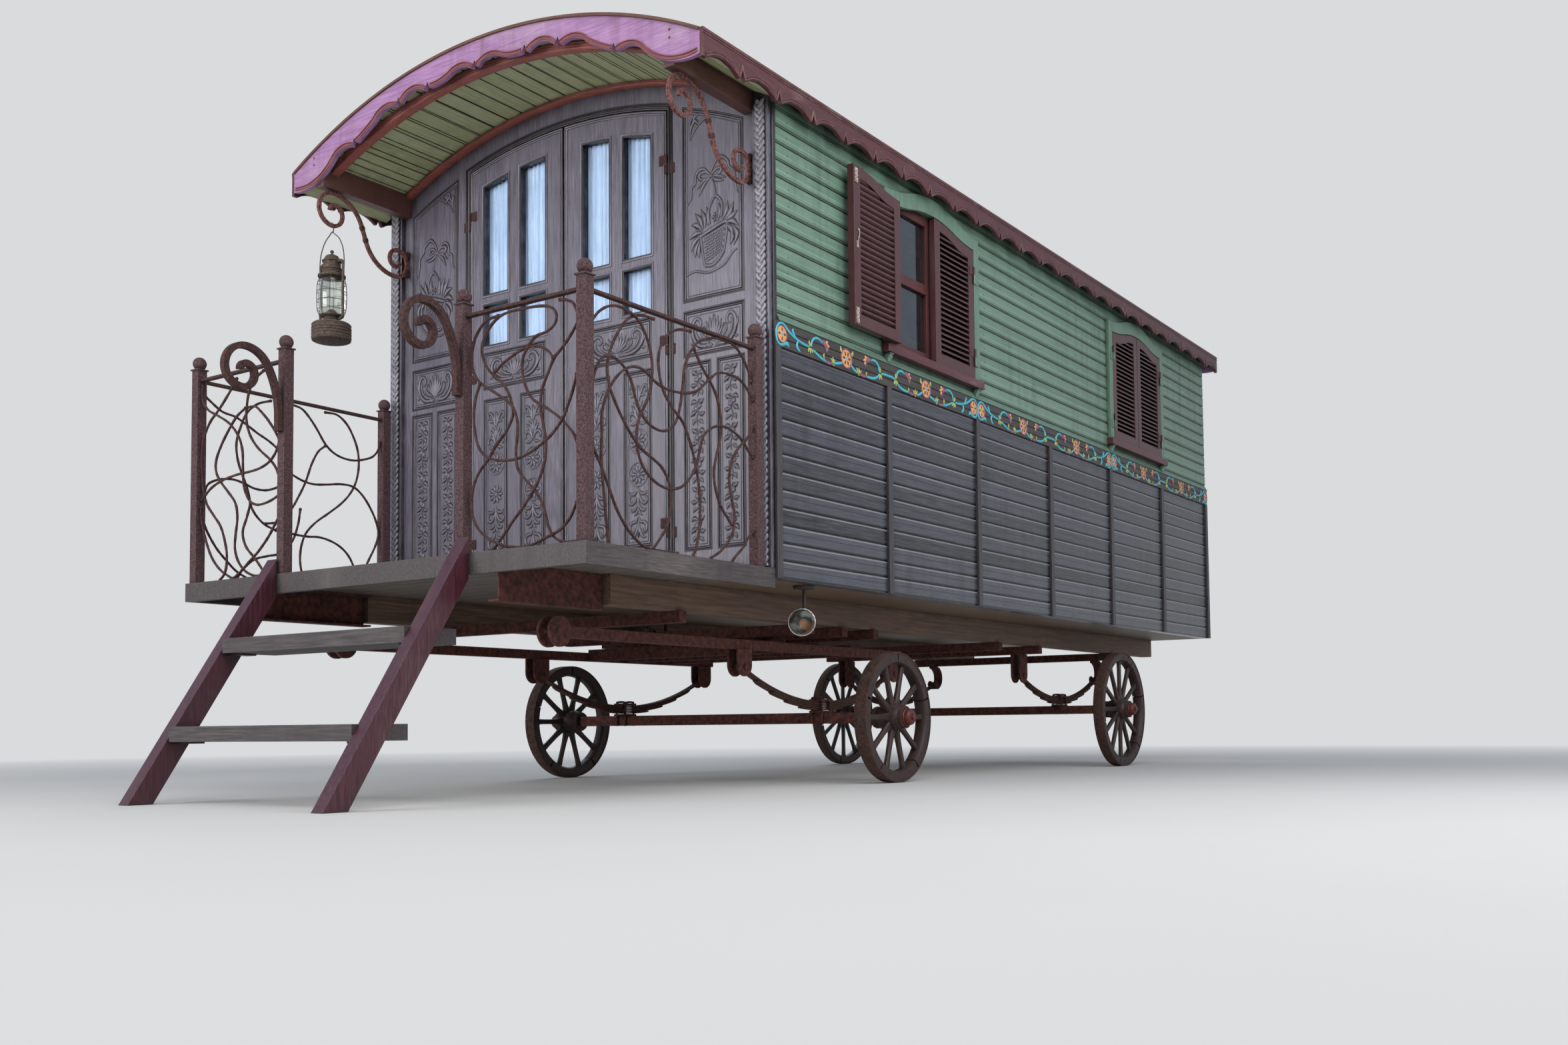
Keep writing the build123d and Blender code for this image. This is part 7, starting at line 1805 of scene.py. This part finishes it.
def makeSprings(end, body):
    look = springLook
    axleY, axleTop, eyeZ, halfLength = look["axles"][end]
    leaf, count = look["leaf"], look["leaves"]
    rise = eyeZ - (axleTop + look["clamp"] + leaf * count - leaf / 2)
    radius = (halfLength ** 2 + rise ** 2) / (2 * rise)
    centreZ = eyeZ - rise + radius
    wide, along = look["plateHalf"]
    upper = axleTop + leaf * count + look["plateGap"]
    top = upper + look["plateThick"]
    for side, label in bothSides:
        leaves, bolts = [], []
        x = side * look["x"]
        for number in range(count):
            # Each leaf is an arc about the spring's centre, one leaf further out and one step shorter.
            r = radius + leaf * number
            reach = math.asin(halfLength * (1 - number / (count + 0.5)) / r)
            angle = np.linspace(-reach, reach, 41)
            path = track(x, axleY + r * np.sin(angle), centreZ - r * np.cos(angle))
            taper = np.ones((41, 2))
            taper[[0, -1]] = look["tips"][1 if number else 0]
            section = blockSection(look["width"] - look["narrower"] * number, leaf - look["gap"],
                                   look["bevel"])
            leaves.append(sweep(path, section, (0, 0, 1), taper))
        for place in (axleY - halfLength, axleY + halfLength):
            ring = [(look[part], edge * look["eyeHalf"])
                    for part, edge in (("pin", -1), ("eye", -1), ("eye", 1), ("pin", 1))]
            leaves.append(sweepRing(ring, (x, place, eyeZ), (1, 0, 0), 24))
            bolts.append(lathe(look["nut"], (x, place, eyeZ), (side, 0, 0), 6))
        for low in (axleTop, upper):
            opposite = (x + wide, axleY + along, low + look["plateThick"])
            bolts.append(plate((x - wide, axleY - along, low), opposite, 2.0))
        for place in (axleY - look["hoopY"], axleY + look["hoopY"]):
            hoop = [(x + across, place, top + height) for across, height in look["hoop"]]
            hoop = [(x - 30, place, axleTop - look["hoopLow"]), *hoop,
                    (x + 30, place, axleTop - look["hoopLow"])]
            bolts.append(sweep(smoothLine(hoop, 10.0), circleSection(6.0, 8), (0, 1, 0)))
        name = f"{end}Spring{label}"
        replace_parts(newPiece(name + "Leaves", joined(leaves), body, ironOwn["springIron"],
                             30.0),
                    f"{end}_springs")
        newPiece(name + "Clamp", joined(bolts), body, ironOwn["carriageIron"], 40.0)


# Spot lamps: a pressed reflector bulb in a socket, on a stem from a round base under the floor.
lampLook = {
    "mounts": (((1150.0, 270.0, 730.0), (0.45, -0.85)), ((-615.0, 1328.0, 790.0), (-0.9, -0.43))),
    "base": 899.0, "behind": 110.0, "stem": 8.5,
    "socket": [(0, -140), (16, -140), (22, -134), (24, -120), (24, -84), (27, -76), (27, -70), (0, -70)],
    "plate": [(0, -14), (46, -14), (50, -8), (50, 0), (0, 0)],
    "bowl": [(26, -70), (34, -62), (50, -34), (58, -12), (60, -2), (61, 2), (58, 3.5), (56, 1), (54, -6),
             (46, -32), (30, -60), (22, -66)],
    "lens": [(0, 2), (55, 1), (57, 3), (54, 6), (44, 11), (28, 15), (12, 17), (0, 17.5)],
    "filament": [(0, -66), (12, -64), (14, -50), (10, -38), (0, -34)],
}


def makeLamps():
    look = lampLook
    for number, (place, aim) in enumerate(look["mounts"], 1):
        axis = np.array([aim[0], aim[1], 0.0]) / math.hypot(*aim)
        centre = np.array(place)
        knuckle = centre - axis * look["behind"]
        foot = (knuckle[0], knuckle[1], look["base"])
        stem = smoothLine([knuckle, knuckle + (0, 0, 40), knuckle + (0, 0, 90), foot], 12.0)
        shapes = [lathe(look["socket"], centre, axis, 24), sweep(stem, circleSection(look["stem"], 10), axis),
                  lathe(look["plate"], foot, (0, 0, 1), 28)]
        base = newPiece(f"lampSocket{number}", joined(shapes), "house", ironOwn["blackEnamel"],
                        40.0)
        for name, shape, material in (
                ("lampBowl", sweepRing(look["bowl"], centre, axis, 40), ironOwn["lampSilver"]),
                ("lampLens", lathe(look["lens"], centre, axis, 40), lampGlass),
                ("lampGlow", lathe(look["filament"], centre, axis, 16), ironOwn["lampAmber"])):
            newPiece(f"{name}{number}", shape, "house", material, 50.0)
        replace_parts(base, "spot_lamps")


makeBeads()
makeCarvings()
makeBraids()
print("joinery and carving made")
makeWallTrim()
makeFasciaTrim()
makeValanceTrim()
makeRibBeads()
print("wall and roof trim made")
makeHinges()
makeLeafFittings()
makeCollars()
makeSprings("front", "fore_carriage")
makeSprings("rear", "house")
makeLamps()
print("ironwork made")
makeRails()
print("rails made")
makeFrieze()
print("frieze made")
for endName in ("front", "rear"):
    for side, label in bothSides:
        makeWheel(endName, side, label)
print("wheels made")
for side, label in bothSides:
    makeCurtain(side, label)
makeLantern()
print("curtains and lantern made")


# Floor, light and camera. Lengths here are in metres; the floor fades into the backdrop's colour between two
# distances from the middle.
studio = {"half": 60.0, "fadeFrom": 4.5, "fadeTo": 11.0, "backdrop": tone(222, 224, 226), "shown": 0.95,
          "sky": tone(214, 222, 235), "lit": 0.42}


def makeStage():
    floorMesh = bpy.data.meshes.new("floor")
    half = studio["half"]
    corners = [(-half, -half, 0), (half, -half, 0), (half, half, 0), (-half, half, 0)]
    floorMesh.from_pydata(corners, [], [(0, 1, 2, 3)])
    floor = bpy.data.objects.new("studioFloor", floorMesh)
    bpy.context.scene.collection.objects.link(floor)
    material, net, shader = startMaterial("studioFloor")
    place = net.add("ShaderNodeTexCoord").outputs["Object"]
    cloud = net.noise(place, 0.35, 4.0).outputs["Fac"]
    fine = net.noise(place, 60.0, 3.0).outputs["Fac"]
    net.link(net.blend(cloud, tone(206, 205, 203), tone(218, 217, 215)), shader.inputs["Base Color"])
    net.link(net.spread(fine, 0.2, 0.8, 0.8, 0.95), shader.inputs["Roughness"])
    bump = net.add("ShaderNodeBump", {"Strength": 0.1, "Distance": 0.001, "Height": fine})
    net.link(bump.outputs[0], shader.inputs["Normal"])
    away = net.add("ShaderNodeVectorMath", {0: place}, operation="LENGTH").outputs["Value"]
    path = net.add("ShaderNodeLightPath").outputs
    looked = net.maths("MAXIMUM", path["Is Camera Ray"], path["Is Glossy Ray"])
    fade = net.maths("MULTIPLY", looked, net.spread(away, studio["fadeFrom"], studio["fadeTo"]))
    distant = net.add("ShaderNodeEmission", {"Color": studio["backdrop"], "Strength": studio["shown"]})
    mixedSurface(net, fade, shader, distant)
    floorMesh.materials.append(material)


def makeWorld():
    world = bpy.data.worlds.new("studio")
    bpy.context.scene.world = world
    world.use_nodes = True
    world.node_tree.nodes.clear()
    net = Net(world.node_tree)
    path = net.add("ShaderNodeLightPath").outputs
    seen = net.maths("MAXIMUM", path["Is Camera Ray"],
                     net.maths("MAXIMUM", path["Is Glossy Ray"], path["Is Transmission Ray"]))
    up = net.add("ShaderNodeSeparateXYZ",
                 {0: net.add("ShaderNodeTexCoord").outputs["Generated"]}).outputs["Z"]
    sky = net.blend(net.spread(up, 0.0, 0.7), tone(206, 208, 210), tone(176, 196, 222))
    shown = net.blend(path["Is Camera Ray"], sky, studio["backdrop"])
    lit = net.add("ShaderNodeBackground", {"Color": studio["sky"], "Strength": studio["lit"]})
    backdrop = net.add("ShaderNodeBackground", {"Color": shown, "Strength": studio["shown"]})
    both = net.add("ShaderNodeMixShader", {0: seen, 1: lit.outputs[0], 2: backdrop.outputs[0]})
    output = net.add("ShaderNodeOutputWorld")
    net.link(both.outputs[0], output.inputs["Surface"])


# Area lights; power is in watts.
lights = {
    "skyPanel": dict(place=(5.5, -6.0, 6.5), target=(0.0, -0.5, 1.6), size=(6.0, 6.0), power=340.0,
                     colour=(1.0, 0.985, 0.96)),
    "sidePanel": dict(place=(6.5, -1.6, 3.8), target=(0.8, -1.4, 1.8), size=(4.5, 4.0), power=165.0,
                      colour=(0.96, 0.98, 1.0)),
    "frontPanel": dict(place=(-2.5, -10.5, 3.4), target=(0.0, -2.1, 2.4), size=(6.0, 3.4), power=480.0,
                       colour=(1.0, 0.99, 0.97)),
    "backPanel": dict(place=(-6.5, 6.0, 5.0), target=(0.0, 1.0, 2.0), size=(5.0, 4.0), power=180.0,
                      colour=(0.96, 0.98, 1.0)),
}


def makeLights():
    for name, look in lights.items():
        data = bpy.data.lights.new(name, "AREA")
        data.shape = "RECTANGLE"
        data.size, data.size_y = look["size"]
        data.energy = look["power"]
        data.color = look["colour"]
        light = bpy.data.objects.new(name, data)
        bpy.context.scene.collection.objects.link(light)
        light.location = look["place"]
        direction = np.array(look["target"], float) - np.array(look["place"], float)
        light.rotation_euler = Vector(direction.tolist()).to_track_quat("-Z", "Y").to_euler()


def makeCamera():
    # The optical axis is +Y turned toward -X by the yaw, raised by the pitch, rolled about itself.
    view = {"place": (4.621, -6.866, 0.275), "yaw": 34.53, "pitch": 3.17, "roll": -0.55, "lens": 32.98,
            "shiftY": 0.0798}
    yaw, pitch, roll = (math.radians(view[key]) for key in ("yaw", "pitch", "roll"))
    forward = np.array([-math.sin(yaw) * math.cos(pitch), math.cos(yaw) * math.cos(pitch), math.sin(pitch)])
    level = np.array([math.cos(yaw), math.sin(yaw), 0.0])
    upright = np.cross(level, forward)
    right = math.cos(roll) * level + math.sin(roll) * upright
    up = np.cross(right, forward)
    data = bpy.data.cameras.new("photoCamera")
    data.sensor_width = 36.0
    data.lens = view["lens"]
    data.shift_y = view["shiftY"]
    data.clip_end = 200.0
    camera = bpy.data.objects.new("photoCamera", data)
    bpy.context.scene.collection.objects.link(camera)
    turn = Matrix(np.stack([right, up, -forward], 1).tolist()).to_4x4()
    camera.matrix_world = Matrix.Translation(view["place"]) @ turn
    bpy.context.scene.camera = camera


makeStage()
makeWorld()
makeLights()
makeCamera()
bpy.context.scene.view_settings.view_transform = "Standard"
print("stage, light and camera made")
